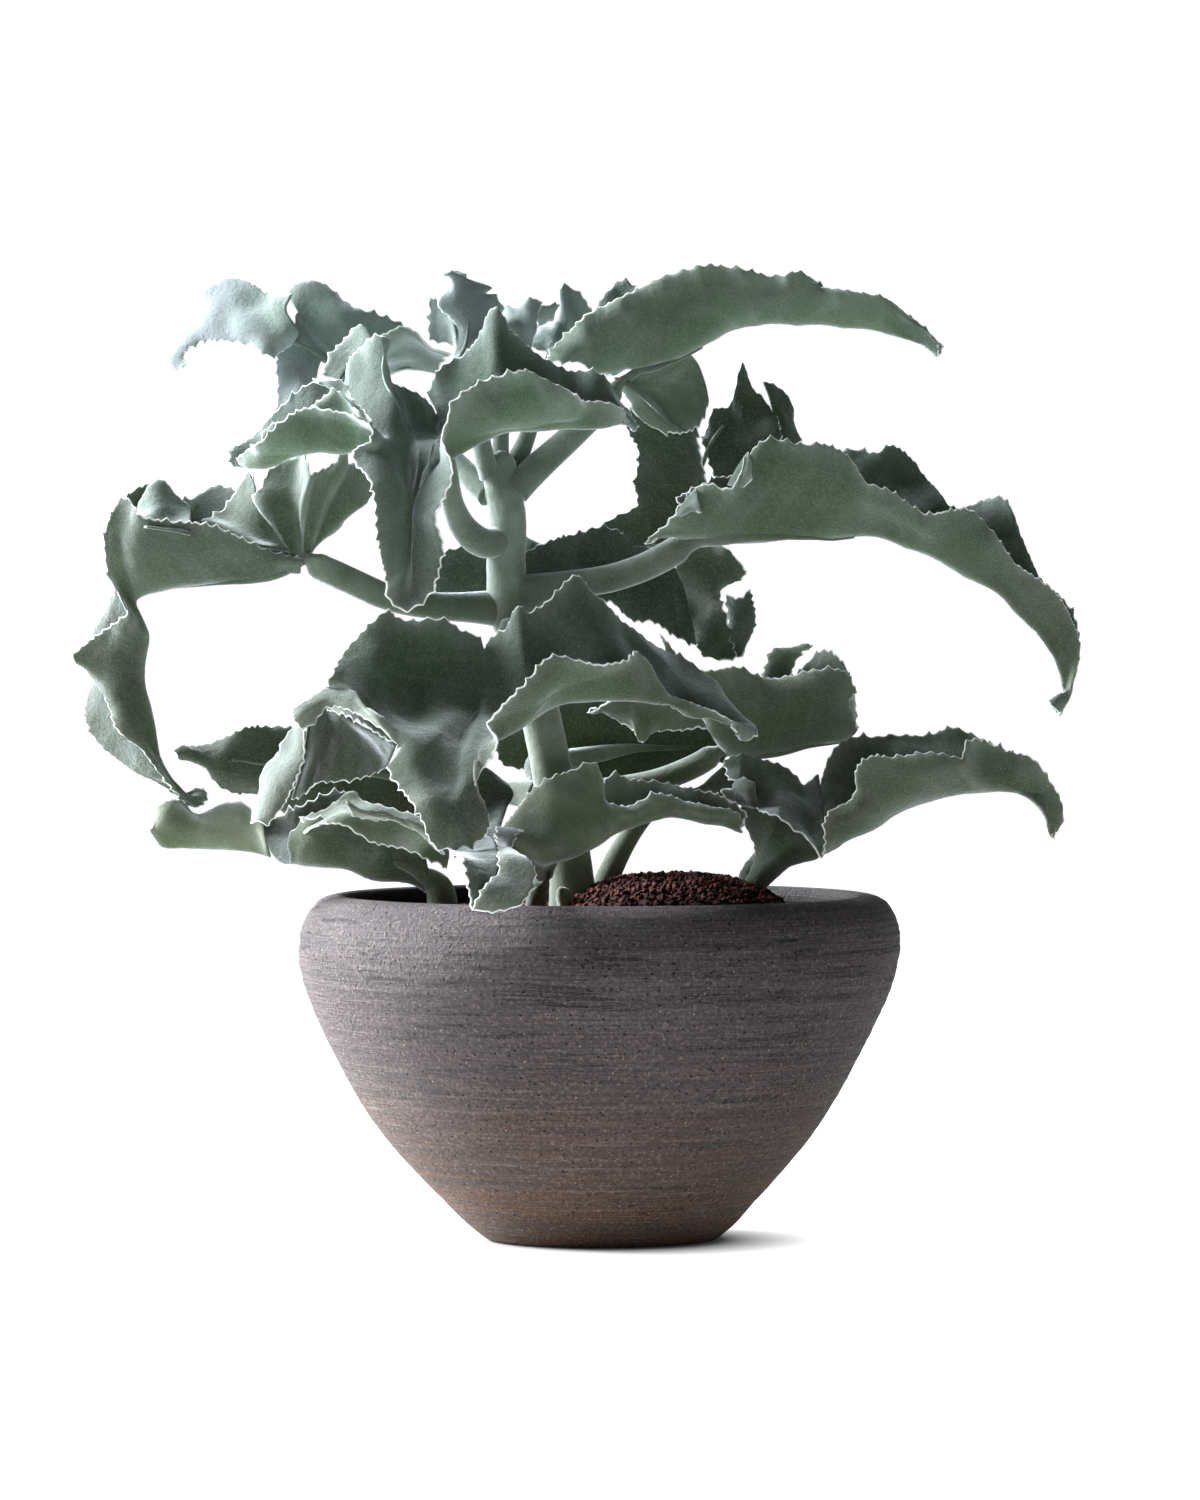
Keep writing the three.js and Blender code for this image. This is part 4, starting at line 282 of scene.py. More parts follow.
            {"free": "first last end", "upper": -1, "tone": (0.35, 0.35), "net": """
-53 201 -94, -48 199 -92, -43.5 193.5 -86, -39 189 -78, -35 184 -70, -32 180 -60
-47 211 -90, -40 201 -92, -35 192.5 -88, -31 186 -78, -28.5 182 -68, -27 180 -56
-40 220 -84, -33 206 -88, -27 195 -86, -23 188 -76, -23 189 -64, -23 190 -54
-28.5 230 -76, -23 212.5 -84, -17 199 -82, -13 191.5 -70, -15 197.5 -58, -16 202.5 -50
-14 236.5 -68, -9 220 -76, -4 204 -76, 0 198 -66, -2 207 -54, -3 215 -46
-2 238.5 -62, -1 222.5 -68, 3 209 -70, 8 202 -60, 6 212.5 -48, 4 232 -38
2 223.5 -62, 5 217 -66, 11 209 -66, 17 205 -56, 15 216 -46, 13 229.5 -36
14 218.5 -58, 17 215 -60, 21 211 -60, 26 207.5 -50, 24 217.5 -40, 22 229.5 -32
29.5 224 -52, 31 219 -54, 34 213 -54, 38 209.5 -45, 37 218 -38, 36 228 -30
46 219.5 -46, 47 216.5 -48, 48.5 212.5 -48, 51 210 -40, 50.5 217 -34, 50 225 -28
60 215 -41, 60.5 213.5 -43, 61 211.5 -43, 62.5 208.5 -36, 63 214 -31, 63 221 -26
67 211 -35, 68 209.5 -36, 69 208.5 -35, 70.5 208 -32, 72 211 -29, 72 214.5 -28"""},
            {"free": "first start end", "upper": -1, "tone": (-0.35, -0.35), "net": """
-75.5 197 -84, -70 199 -80, -64 201 -76, -58 202 -74
-75 196 -108, -69 198 -104, -63 200 -100, -56 201 -97
-74 194 -128, -68 196 -126, -61 197.5 -123, -54 198 -120
-71.5 189 -140, -65.5 190 -138, -59 190.5 -137, -52 190.5 -137
-69.5 182 -146, -64 182 -144, -58 182 -143, -52.5 182 -143
-67.5 174 -150, -64.5 174 -149, -61 174 -149, -57.5 174 -149
-65.5 166 -153, -64.5 166 -153, -63 166 -153, -61.5 166 -153"""},
            {"free": "first last start end", "upper": -1, "tone": (0.15, 0.15), "net": """
-52.5 201.5 -78, -50.5 201.5 -80, -48 201 -80, -46 200 -78
-52.5 200.5 -106, -50 200.5 -107, -47 200 -106, -44.5 199 -104
-52 197.5 -129, -49 198 -130, -46 197.5 -129, -43 196 -126
-51.5 191 -141, -47.5 191 -142, -43.5 190.5 -141, -39.5 189.5 -138
-51.5 183.5 -147, -46 183 -148, -40 182.5 -147, -34.5 182 -144
-58 174.5 -151, -51 174 -152, -43.5 173.5 -152, -36 174 -149
-65 165 -154, -57 163.5 -155, -48.5 163.5 -156, -40.5 165 -155"""},
            {"free": "first", "upper": 1, "tone": (-0.65, -0.65), "net": """
-62 237 -54, -59 236.5 -51, -56 235 -48
-66 225 -60, -56 226 -56, -45 225 -52
-67 212 -70, -58 214 -66, -48 216 -62
-70 200 -86, -61 200 -82, -52 201 -78
-66 193 -103, -58 187 -109, -48 184 -108"""},
        ],
    },
    "leaf_left_large": {
        "swells": "-262 290 22 40 16",
        "petiole": """
            -53 316 0 6.6, -60 316.5 -2 7.2, -86 317.5 -6 6.8, -108 322 -9 6.8, -126 330 -9 6.8,
            -141 336.5 -8 6.6, -152 339 -7 5.5, -166 336 -8 4, -190 331 -7 2.6, -218 327 -5 1.6""",
        "sheets": [
            {"free": "first last end", "upper": 1, "tone": (-0.2, -0.25), "net": """
-150 341 -10, -150.5 339 -12, -151 337 -11, -151 334 -7, -151 340 0, -152 345 4
-168 345.5 -18, -167.5 341 -18, -166.5 336 -14, -165 331 -6, -167 347.5 4, -170 368 10
-181 351.5 -22, -181 344 -22, -181 336.5 -16, -180.5 329.5 -6, -181 352.5 8, -182 375 16
-193.5 356.5 -24, -194 347.5 -24, -194.5 338 -17, -195 329 -6, -195 352.5 10, -194 378 20
-205 359 -26, -205.5 348.5 -26, -206.5 338 -18, -207.5 327 -6, -207 351 10, -206 370.5 18
-215 359.5 -27, -216 348.5 -27, -217.5 337 -19, -219 324.5 -6, -218 350 10, -213 371 16
-226 361 -28, -227 349 -27, -228 336 -18, -228 321.5 -5, -228.5 352.5 8, -222 379 14
-234 364 -28, -235 350 -24, -234 335 -15, -231 320 -4, -235 347.5 6, -228 378 10
-240 371.5 -22, -240 355 -20, -237 337.5 -12, -232 319 -4, -238 347.5 6, -236 374 8
-246.5 360 -18, -244 347.5 -16, -240 333.5 -10, -232.5 318 -4, -241 342.5 4, -243 364 4
-247 347.5 -14, -244 339 -13, -240 329 -9, -232.5 316.5 -4, -242 335 3, -245 346 3
-246 334 -12, -243 328 -12, -239 321.5 -8, -231.5 314 -4, -240 325 3, -244 332.5 3
-241 321.5 -12, -238 318 -12, -235 314 -8, -230 309 -3, -239 314 4, -246 320 8
-237.5 313.5 -12, -235 310 -12, -232.5 306 -8, -228.5 302 -3, -239 305 8, -251 307.5 14
-251 304 -13, -243.5 301 -13, -236 297.5 -9, -228.5 294 -2, -242 295 10, -258 297.5 18
-265 292 -14, -253 289 -15, -241 286 -10, -228 282 -2, -245 280 12, -259 286 22
-259 284 -14, -249 279 -15, -238 275 -10, -227 271 -2, -245 269 12, -259 270 22
-249 271.5 -14, -242 268 -14, -234 264 -9, -225 260 -1, -242 258 12, -258 259 20
-242 256 -13, -236 254 -13, -229 251 -8, -221 248.5 -1, -236 248 10, -250 247 18
-230 245 -12, -226 243 -11, -221 240 -7, -215.5 237 -1, -227 238 8, -237 237 14
-221 233 -10, -218 232 -10, -214.5 230 -6, -210 228 -1, -216 229 5, -223 229.5 8
-212 222 -8, -210 222 -8, -208 222 -5, -205 223 -1, -208 222.5 2, -212 223 3
-207 217 -6, -205 217.5 -6, -202 219 -4, -199 222 -2, -201 225 1, -205 225 2
-203 216 -4, -201 216.5 -4, -199 218 -3, -197.5 221 -2, -198 224 0, -199.5 226 0"""},
            {"free": "first start", "upper": 1, "tone": (0.35, 0.35), "net": """
-234 364.5 -4, -233 364 -8, -231 363 -14, -228 357 -32
-221 380.5 2, -222 374 -4, -222.5 366 -14, -222 356 -31
-213 373 2, -213.5 369 -2, -214 363 -14, -214.5 355 -31
-206 367 4, -206 365 0, -206 361 -12, -206 353 -30"""},
            {"free": "first", "upper": -1, "tone": (-0.1, -0.1), "net": """
-200 360 4, -193.5 358 -2, -183.5 353.5 -10, -170 347 -19
-191.5 365.5 6, -185 361.5 0, -176 356 -8, -165 346 -16
-183 374 8, -178 367.5 1, -171 359 -6, -161 345.5 -13
-176 384.5 8, -173 375 1, -168 362.5 -6, -158 345 -12
-172 372.5 -4, -169 366 -8, -164 357.5 -10, -156 344 -11
-166 386.5 2, -164 375 -3, -160.5 361 -7, -154 343.5 -10
-151 392.5 6, -152.5 377.5 0, -153 362.5 -6, -152 343 -9
-146.5 393 2, -148.5 380 -6, -149.5 364 -9, -150 342.5 -8
-145 382.5 -12, -148.5 371 -13, -149.5 360 -10, -149 342 -7
-136 389 -4, -142 375 -7, -146 361 -8, -148 342 -6
-132.5 396.5 2, -137 380 -2, -143 362.5 -5, -147 342 -5
-128.5 384 8, -134 374 4, -140 361 0, -146 343 -3
-120 388.5 6, -128 376 4, -137 362 1, -145.5 344 -2
-114.5 376 8, -123 369 6, -134 359 3, -145 345 -1
-119 367 10, -127 360 8, -136 354 4, -144.5 346 0
-131 356.5 10, -135 353.5 8, -140 350.5 4, -144 346.5 1"""},
        ],
    },
    "leaf_right_large": {
        "petiole": """
            -39.5 323 0 6.8, -33 325 -2 7.4, -20 327.5 -6 7, 4 331 -8 7, 24 338 -10 7, 44 349 -10 7,
            58 355 -10 6.4, 72 355 -10 4.6, 96 354 -9 3, 126 353 -8 2""",
        "sheets": [
            {"free": "first last start end", "upper": -1, "tone": (0.15, -0.1), "net": """
20 348.5 -14, 26.5 350 -17, 35 353 -16, 49 352 -10, 44 360 4, 37 370 12
33 359.5 -20, 39 358 -20, 46.5 357 -18, 55 349.5 -9, 52 362.5 8, 49 376 16
47.5 376.5 -26, 50 370 -26, 54 360 -20, 63 348 -8, 60 364 10, 56.5 381 22
56 378.5 -28, 58 371 -27, 61 359 -20, 69 348 -8, 67 365 12, 65 383 24
64 376.5 -30, 65.5 368.5 -28, 68 358 -20, 75 348 -8, 73 367.5 14, 72 389 26
73 392 -31, 74.5 376 -30, 76.5 361 -20, 81.5 348 -8, 80 370 14, 79 396 26
81.5 400 -32, 83 381 -30, 85 363 -20, 89 348.5 -8, 88 372.5 14, 86.5 397.5 26
99 398 -32, 100 380 -30, 101 363.5 -20, 102 350 -8, 101.5 372.5 14, 100.5 396 26
114 397 -32, 115 380 -30, 116 364 -20, 117 351 -8, 117 372.5 14, 116 395 26
124 391 -30, 125 377.5 -28, 126 364 -19, 127.5 350.5 -8, 128 375 14, 128 396 26
132.5 379 -28, 134 370 -26, 136 360 -18, 137.5 349.5 -8, 138 372.5 14, 136.5 394.5 24
144 375 -26, 145.5 366 -25, 147.5 357 -17, 149.5 346.5 -8, 149 370 14, 145.5 398.5 26
153 368.5 -24, 155 361 -23, 157.5 352.5 -16, 159 343.5 -7, 158 365 14, 156 390.5 26
161.5 363.5 -22, 163.5 356 -21, 166 348 -15, 167.5 339.5 -7, 167 357.5 12, 166 377.5 22
173 365.5 -22, 174.5 355 -20, 176.5 345 -14, 178 334 -6, 177 350 10, 174.5 366 18
185 365 -20, 186 353 -19, 187.5 341 -13, 188.5 327.5 -6, 189 350 10, 191 372 20
193 357 -18, 194.5 346 -17, 196.5 335 -12, 198.5 320 -5, 200 345 10, 201 370.5 20
199.5 347.5 -16, 201 338.5 -15, 203.5 327.5 -10, 206 312.5 -4, 207 337.5 8, 207 357.5 16
206 339 -14, 208.5 330 -13, 211 319 -9, 214 304 -3, 214 327.5 6, 212 343.5 12
216 332 -12, 217.5 322.5 -11, 219.5 311 -7, 221.5 295 -2, 222 317.5 4, 220 330 8
228 323 -10, 227 312.5 -9, 226 301 -5, 226.5 287.5 -1, 230 307.5 2, 232 318.5 4
235 311 -8, 233 301 -7, 230.5 290 -4, 229 279 0, 234 297.5 1, 237.5 306.5 2
239 296 -6, 236 289 -5, 233 282 -2, 230 273 1, 234 284 3, 238 292.5 2
234 275 -5, 232.5 273.5 -5, 231 271.5 -2, 229 269 1, 231 271 3, 233.5 273.5 1
225 267 -4, 225.5 266.5 -5, 226 265.5 -3, 226.5 264 -1, 227 265 1, 226.5 267 0"""},
            {"free": "last", "upper": 1, "tone": (0.4, 0.4), "net": """
37 362.5 -26, 38.5 362.5 -27, 40.5 363 -26
42 370 -27, 44.5 368 -31, 47.5 365 -29
46.5 375.5 -28, 48 371 -33, 49.5 364 -31"""},
            {"free": "last", "upper": 1, "tone": (0.4, 0.4), "net": """
63 378 -30, 66.5 377 -32, 69.5 375.5 -31
68 387 -31, 71 383 -34, 73.5 379 -33
73 394 -31, 74 391 -34, 74.5 387 -33"""},
        ],
    },
    "leaf_upper_right": {
        "petiole": """
            -43.5 375 -1 5.6, -38 381 1 6.6, -33 386 4 7, -23 395 4 6.8, -12 405 2 6.4, -1 416 0 6,
            8 426 0 5, 16 434 0 4, 30 437 0 3, 50 448 0 2""",
        "veins": ["""
            12 429 -2 1.6, 24 420 1 1.8, 34 412 8 1.6, 43 406 13 1.2"""],
        "sheets": [
            {"free": "first last start end", "upper": -1, "tone": (0.4, 0.4), "net": """
-27 439.5 -6, -20 439 -10, -11 439 -10, 5 430 0, 2 434 8, -2 440 12
-23 449 -8, -14 446 -12, -4 443 -10, 8 430 0, 4 445 12, -5 459 18
-13 457.5 -10, -4 452 -13, 5 445 -10, 11 430.5 0, 6 452.5 14, -1 468.5 22
-4.5 464 -10, 4 456 -14, 11 447 -10, 14 431.5 0, 13 457.5 16, 10.5 479.5 24
8 470 -10, 14 459 -14, 19 447 -10, 22 433 0, 20 457.5 14, 19 474 20
24 479.5 -8, 27 466 -13, 30 453 -10, 34 439 0, 31 457.5 12, 29 479 18
44 486 -8, 45 471 -13, 46 458 -10, 47.5 447.5 0, 46 464 12, 45 484 18
59 487.5 -8, 60 474 -12, 61 462.5 -9, 62 453.5 0, 61 467.5 12, 60 485 18
75 484.5 -8, 75.5 474 -12, 76.5 464 -9, 77 456 0, 76.5 467.5 12, 75.5 482.5 18
88 483 -8, 89 473 -12, 89.5 464.5 -9, 90 457 0, 89.5 467 12, 89 481 17
100 485 -8, 101.5 474 -11, 103 464.5 -8, 104 456.5 0, 103 467 11, 101 482.5 16
110 478 -7, 113 470 -10, 115.5 462.5 -7, 117 455.5 0, 115 465 10, 112 476 14
124 474 -6, 127 467 -8, 129 460.5 -6, 131 453.5 0, 129 462.5 8, 126 472 12
138 470.5 -5, 141 464.5 -7, 143 458.5 -5, 145 451 0, 143 460 7, 140 468.5 10
152 464 -4, 153.5 459.5 -6, 155 454.5 -4, 156 449 0, 155 455 5, 153 462.5 7
162 456 -3, 163 453 -4, 163.5 450 -3, 164.5 447 0, 164 450 3, 163 454 4
167.5 448 -2, 168 447 -2.5, 168.5 446 -1.5, 169 444 0, 169.5 445.5 1.5, 169.5 447 1.5"""},
            {"free": "last start", "upper": -1, "tone": (0.2, 0.2), "net": """
6 431 0, 9 424 6, 13 418.5 8, 17 412.5 10
12 431 0, 17 424 4, 21.5 417 6, 26 406 10
19 433 0, 26 425 12, 32 416.5 14, 37 404 12
28 437 0, 35 429 14, 40 420 20, 44 405 16
36 441 2, 43 434 16, 47 424 22, 50 410 20
42 445 4, 48 437.5 16, 51.5 428 22, 53.5 419 22"""},
        ],
    },
    "leaf_upper_left": {
        "swells": "-222 455 44 60 47, -126 462 18 22 -14",
        "petiole": """
            -56.5 373 4 4.6, -62 377 8 5.4, -72 388 17 5.6, -90 400 30 5, -110 417 38 4.6,
            -126 431 44 4.4, -137 439 46 4, -147 446 40 3, -158 452 29 2.3, -168 456 20.5 1.9,
            -180 460 18.5 1.3""",
        "veins": ["""
            -128 433 45 2.2, -117 437 39 1.9, -106 435 38 1.5, -94 436 34 1"""],
        "sheets": [
            {"free": "first last end", "upper": -1, "tone": (-0.15, -0.15), "net": """
-155 473 30, -158 465 26, -154 458 24, -152 453 26, -156 447 30
-166 473 34, -167 464 26, -166 456 20, -165 449 20, -165 443 22
-175 477.5 38, -176 468 27, -176 460 20, -176 453 20, -176 448 22
-187 480.5 38, -186.5 471 27, -186 462.5 20, -186 455 20, -186 450 22
-199 473 36, -197.5 466 27, -196 460 21, -195.5 454.5 20, -195.5 450.5 22
-209 464 33, -206 459 26, -204 454.5 21, -202.5 451 20, -202.5 448.5 21
-215.5 452.5 30, -213 449 25, -210.5 447 21, -208.5 445.5 20, -207 444 20
-217 444 28, -214.5 441.5 24, -212 441 21, -209.5 441 20, -207 441.5 20
-212.5 437 26, -211 436.5 24, -209.5 436 22, -208 435.5 21, -206.5 435 20"""},
            {"free": "first start", "upper": 1, "net": """
-163.5 416 30, -156 421 32, -149.5 425 34, -143 430 38
-162.5 427.5 32, -156 431 34, -149.5 434 36, -142 436 40
-162.5 439 33, -156 440 34, -149.5 441 36, -141 439 42
-159 450 34, -154 447.5 35, -148.5 445 37, -140 440 44
-153 461 40, -150 455 38, -146 448.5 40, -138.5 441 46
-157 472 48, -151.5 462.5 44, -146 452.5 43, -137 442 48
-151 477 52, -147 466 47, -142 454 45, -135 442 50
-141 478 54, -139 466 48, -136 453 46, -132 441 52
-132.5 474 55, -132 463 49, -130.5 451 47, -128.5 439 54
-125 468.5 55, -126 459 50, -126 448 48, -125 436 55
-116 464 54, -118 455 50, -120 445 48, -121 433 55
-107 460.5 52, -111 452 49, -114 443 47, -117 430 54
-99.5 457.5 50, -104 449 47, -108 440 46, -113 427 52"""},
            {"free": "first start end", "upper": -1, "net": """
-118 449 6, -115 444 12, -112 439 22, -112 432 41
-109 452.5 4, -108 446 12, -107 440 22, -107 433 42
-100 457.5 4, -99.5 450 12, -99 442.5 22, -99 435.5 40
-91 455 4, -91.5 448.5 12, -92 441.5 20, -92.5 435.5 34
-84 449 4, -85 444 12, -86 439 18, -86.5 434.5 26
-75 446 6, -78 442.5 12, -80.5 438 16, -82.5 433.5 20"""},
        ],
    },
    "leaf_right_middle": {
        "petiole": """
            -24 222 4 7, -10 224 10 6.4, 10 226.5 14 6, 28 230 15 6, 48 238 15 6, 62 246 14 5.4,
            74 246 12 4, 96 247 12 2.4, 118 251 12 1.6""",
        "sheets": [
            {"free": "first last start", "upper": -1, "net": """
-8 263.5 8, -7 263 8, -6 261.5 9, -5 261 10
1 269 6, 1.5 263.5 5, 2 261 6, 2.5 258 8
10 272 5, 10 264 3, 10.5 259 5, 11 255 7
19 271 6, 17 262 2, 17 256.5 3, 17.5 251.5 6
25 270 10, 25 261 8, 23 255 8, 20 249 10
35 267 14, 33 262 12, 30 258 12, 27 254 12
44 264 16, 43 260 14, 41 257.5 14, 39 255 14
52 262 17, 51.5 259 15, 50.5 258 15, 50 256.5 14
62 260 18, 62 255 16, 62 251 15, 62 247 13"""},
            {"free": "first last start end", "upper": -1, "net": """
29 303 14, 33 292 12, 38 278 12, 47 262 16, 46 272 24, 44 284 28
44 286 10, 49 275 6, 55 262.5 6, 64 242 12, 62 257.5 26, 56.5 275 32
55 284.5 8, 59 273.5 4, 63 261 4, 71 240 12, 69 257.5 28, 65 280 34
67.5 286 6, 70 274 2, 73 260 3, 79 241 12, 77 260 30, 73 281 36
78 282.5 6, 80 271.5 2, 83 259 3, 87 242 12, 86 260 30, 83 279 36
93 282.5 6, 94 272 2, 95.5 260 3, 97.5 244 12, 97 261 28, 95 280 34
106.5 285.5 6, 107 275 2, 107.5 263 3, 109 247.5 12, 109 264 26, 109 295 32
122 284 8, 119 275 4, 120 265 4, 121.5 251.5 12, 123 267.5 20, 122 288 26
127.5 274 10, 124 270 9, 125 263.5 10, 127.5 255.5 13, 127.5 262.5 16, 127 275 20"""},
            {"free": "first last start end", "upper": -1, "tone": (0.3, 0.3), "net": """
78 276.5 39, 84 276 39, 91 277 38
82 288 32, 88 287.5 30, 95 288 32
86 296.5 30, 92 294 27, 99.5 294 30
95.5 297 29, 98.5 295.5 27, 103 296 29
103 298.5 28, 104 298 27, 105.5 297.5 28"""},
        ],
    },
    "leaf_right_lower": {
        "petiole": """
            72 160 2 8, 73 171 3 7.4, 74 180 6 6.4, 78 189 11 4.6, 85 197 17 2.6""",
        "sheets": [
            {"free": "first last end", "upper": -1, "net": """
110 192 -38, 110.5 193 -36, 111 193.5 -34, 113 195 -30, 106.5 202.5 -10, 99 214 0
111.5 199 -40, 114 199 -40, 116.5 199 -36, 120 199 -26, 111.5 209 -4, 105 220 6
111 209 -40, 117 206 -41, 122 203.5 -37, 128 202.5 -22, 119 217.5 0, 112 235 10
115 217 -40, 122 212 -42, 128 208 -37, 135 205.5 -20, 126.5 222.5 2, 120 249 12
125.5 223 -38, 130 217.5 -41, 135 212.5 -36, 141 208.5 -18, 133 227.5 4, 127.5 253 14
127.5 235 -38, 133 226 -41, 139 218 -35, 146 211.5 -16, 140 230 4, 137 252.5 16
135 241.5 -36, 140 231 -39, 146 221.5 -33, 153 214 -15, 148 232.5 4, 146.5 252.5 16
146.5 242 -34, 150.5 232.5 -37, 155 223.5 -31, 161.5 217 -14, 158 235 4, 156.5 252 16
159 244 -32, 162.5 235 -35, 166 226.5 -29, 171.5 221 -13, 168 237.5 4, 166 253.5 16
171 243 -30, 173 236 -33, 176 229 -27, 180 223.5 -12, 177.5 239 4, 174 256.5 15
180 241.5 -28, 181.5 236 -30, 184 230 -25, 188 225 -11, 186 239 3, 183 254.5 13
182 249 -22, 186 242 -24, 190 234 -19, 195 226 -10, 193 237.5 -2, 191 251 8
192 250.5 -14, 195 243 -16, 198 235 -13, 202 225.5 -8, 200.5 235 -2, 199 246.5 2
202 246 -10, 203.5 239 -12, 205.5 231 -10, 208 222.5 -7, 207 231 -3, 206 242.5 0
214 241.5 -8, 213.5 234 -9, 213.5 226 -8, 214.5 218 -6, 215 226 -3, 215 237.5 -2
222 232.5 -6, 220.5 226 -7, 220 220 -7, 219.5 212.5 -5, 221 220 -3, 222 229 -3
229 221.5 -5, 226.5 216 -6, 224 211.5 -6, 222 207 -4, 224.5 212.5 -3, 228 220 -3
230.5 212.5 -5, 228.5 209.5 -5.5, 226.5 206.5 -5.5, 224 203.5 -4, 226.5 207 -3, 229.5 211 -3
228 204.5 -5, 227 203.5 -5.5, 226 202.5 -5.5, 224.5 201.5 -4, 226 203 -3.5, 227.5 204.5 -3.5"""},
            {"free": "first last start", "upper": 1, "tone": (-0.15, -0.15), "net": """
61 239 10, 62 235.5 4, 63 231.5 -2
68 240.5 10, 70 236 2, 74 229 -8
76.5 241.5 8, 78 232.5 -2, 78 217 -14
85 241 6, 86 230 -4, 85.5 210.5 -22
91.5 237.5 6, 93 225 -6, 93.5 206 -28
97.5 232.5 6, 99 220 -8, 101.5 202 -34
102 228.5 6, 105 216 -10, 109 192 -38
108 233 8, 110 220 -8, 111.5 194 -38"""},
            {"free": "first start", "upper": -1, "tone": (-0.5, -0.5), "net": """
59 226 -4, 59.5 223.5 -8, 61.5 221.5 -4
62.5 231 -6, 63.5 225 -14, 66.5 219 -6
69 232.5 -8, 70 225 -17, 73 217 -8
76 229 -12, 76.5 223.5 -16, 77.5 216 -10"""},
            {"free": "first", "upper": -1, "tone": (-0.2, -0.2), "net": """
67 174 -2, 73 173 -7, 81 176 -2
73 185 0, 82 184 -7, 95 188 -2
75 195 3, 87 192.5 -6, 108 191.5 -6
72.5 205 5, 83 202 -4, 108 197 -8
70 218 9, 80 215 3, 105 205 -2
70 223 10, 83 221 5, 101 214 4"""},
        ],
    },
    "leaf_left_lower": {
        "swells": "-190 214 26 26 14",
        "petiole": """
            -80 160 -44 8, -80 172 -43 7.4, -83 180 -42 6.4, -92 187 -41 4.8, -108 192 -38 3""",
        "sheets": [
            {"free": "first start", "upper": -1, "tone": (0.4, 0.4), "net": """
-226 212 -16, -226 209 -20, -225.5 206 -20, -225 203 -18
-218 219 -14, -219 212.5 -22, -219.5 205 -24, -220 197 -18
-208 221.5 -14, -208.5 213 -24, -209 204.5 -26, -209 196.5 -18
-201 216 -18, -199.5 209.5 -28, -198 203 -28, -197 196 -18
-188 218.5 -16, -187 211 -28, -186 203.5 -29, -185 195.5 -20
-177 217.5 -16, -176 210 -28, -175 202 -29, -173 194 -22
-170 212.5 -18, -169.5 206 -28, -168 199 -31, -166 192 -26"""},
            {"free": "first last", "upper": -1, "tone": (-0.25, -0.25), "net": """
-156 204 -34, -157 197.5 -37, -156 190 -32, -163 191 -16, -169 201 -8, -171 209 -6
-151 209 -36, -150 199 -40, -148 188.5 -34, -156 195 -14, -162 204 -4, -164 212 0
-136 210 -38, -135 198 -43, -133 184.5 -35, -141 197.5 -12, -146 208 0, -148 217 4
-121 206 -40, -120 195 -44, -118 180.5 -36, -125 195 -12, -130 210 0, -132 224 6
-105 200 -42, -104 189 -45, -102 177.5 -38, -108.5 192.5 -16, -112 206 -4, -115 217 4
-89 194 -44, -87 184 -48, -85 174 -43, -91 184 -26, -94 193 -16, -96 202.5 -8"""},
            {"free": "first last start", "upper": -1, "tone": (0.3, 0.3), "net": """
-151 211 -26, -150 210.5 -31, -148 205 -42
-136 220 -26, -137 215 -33, -136 205 -45
-125 227 -24, -128.5 219 -32, -128.5 205 -47
-117 218.5 -28, -118.5 213 -36, -115 200 -48
-105 216 -34, -105 211 -40, -101 196 -50
-93.5 214 -38, -93 207 -44, -89 190 -52
-83 205 -44, -82 200 -48, -81 188 -52
-77 195 -47, -77 191 -49, -78 186 -50"""},
            {"free": "first last start end", "upper": -1, "tone": (0.4, 0.4), "net": """
-128.5 220 -58, -126 216 -62, -125 212 -58
-120 216 -60, -117 212.5 -66, -115 209 -62
-109 217 -62, -106 212.5 -70, -104 208 -66
-101 214 -64, -97.5 209 -72, -95 204 -68
-91 209 -68, -87.5 203 -76, -85.5 197 -72
-83 201 -72, -80.5 197 -78, -79 193 -74"""},
        ],
    },
    "leaf_back_left": {
        "petiole": """
            -32 222 6 6.4, -44 224 14 6, -62 225 30 5.4, -90 230 44 4.8, -120 235 50 4,
            -150 238 49 2.8, -185 240 45 1.6""",
        "sheets": [
            {"free": "first last start", "upper": -1, "tone": (-0.5, -0.5), "net": """
-214 244 44, -213 243.5 43.5, -212 242.5 43.5, -211 241.5 44
-211 247.5 44, -208 245 42, -205 241.5 42, -202 237.5 44
-198.5 250.5 46, -197.5 244 42, -196 237 42, -194.5 229.5 46
-186 252.5 48, -185.5 244 44, -185 234 44, -184 223.5 50
-175 256 50, -174 245 46, -173 234 46, -172 221.5 52
-158.5 257.5 52, -158 246 48, -157.5 234 48, -157 211 54
-141 256 54, -140 245 50, -139 232.5 50, -138 211 54
-126 250 52, -125 241 50, -124 231 50, -123 208 52
-112 240 50, -111 235 48, -110 228 48, -109 206 50
-99 238 47, -98 231 46, -97 223 46, -96 203 48
-88 230 45, -87 221 44, -86 212 44, -85 197 46"""},
        ],
    },
    "leaf_back_upper": {
        "petiole": """
            -45 350 5.5 5.2, -45 350 16 5.8, -44 351 32 5.6, -40 347 45 5.4, -22 341 51 5,
            8 343 59 4.4, 30 353 61 3.8, 44 370 53 3.2, 50 390 55 2.4, 60 408 58 1.6""",
        "sheets": [
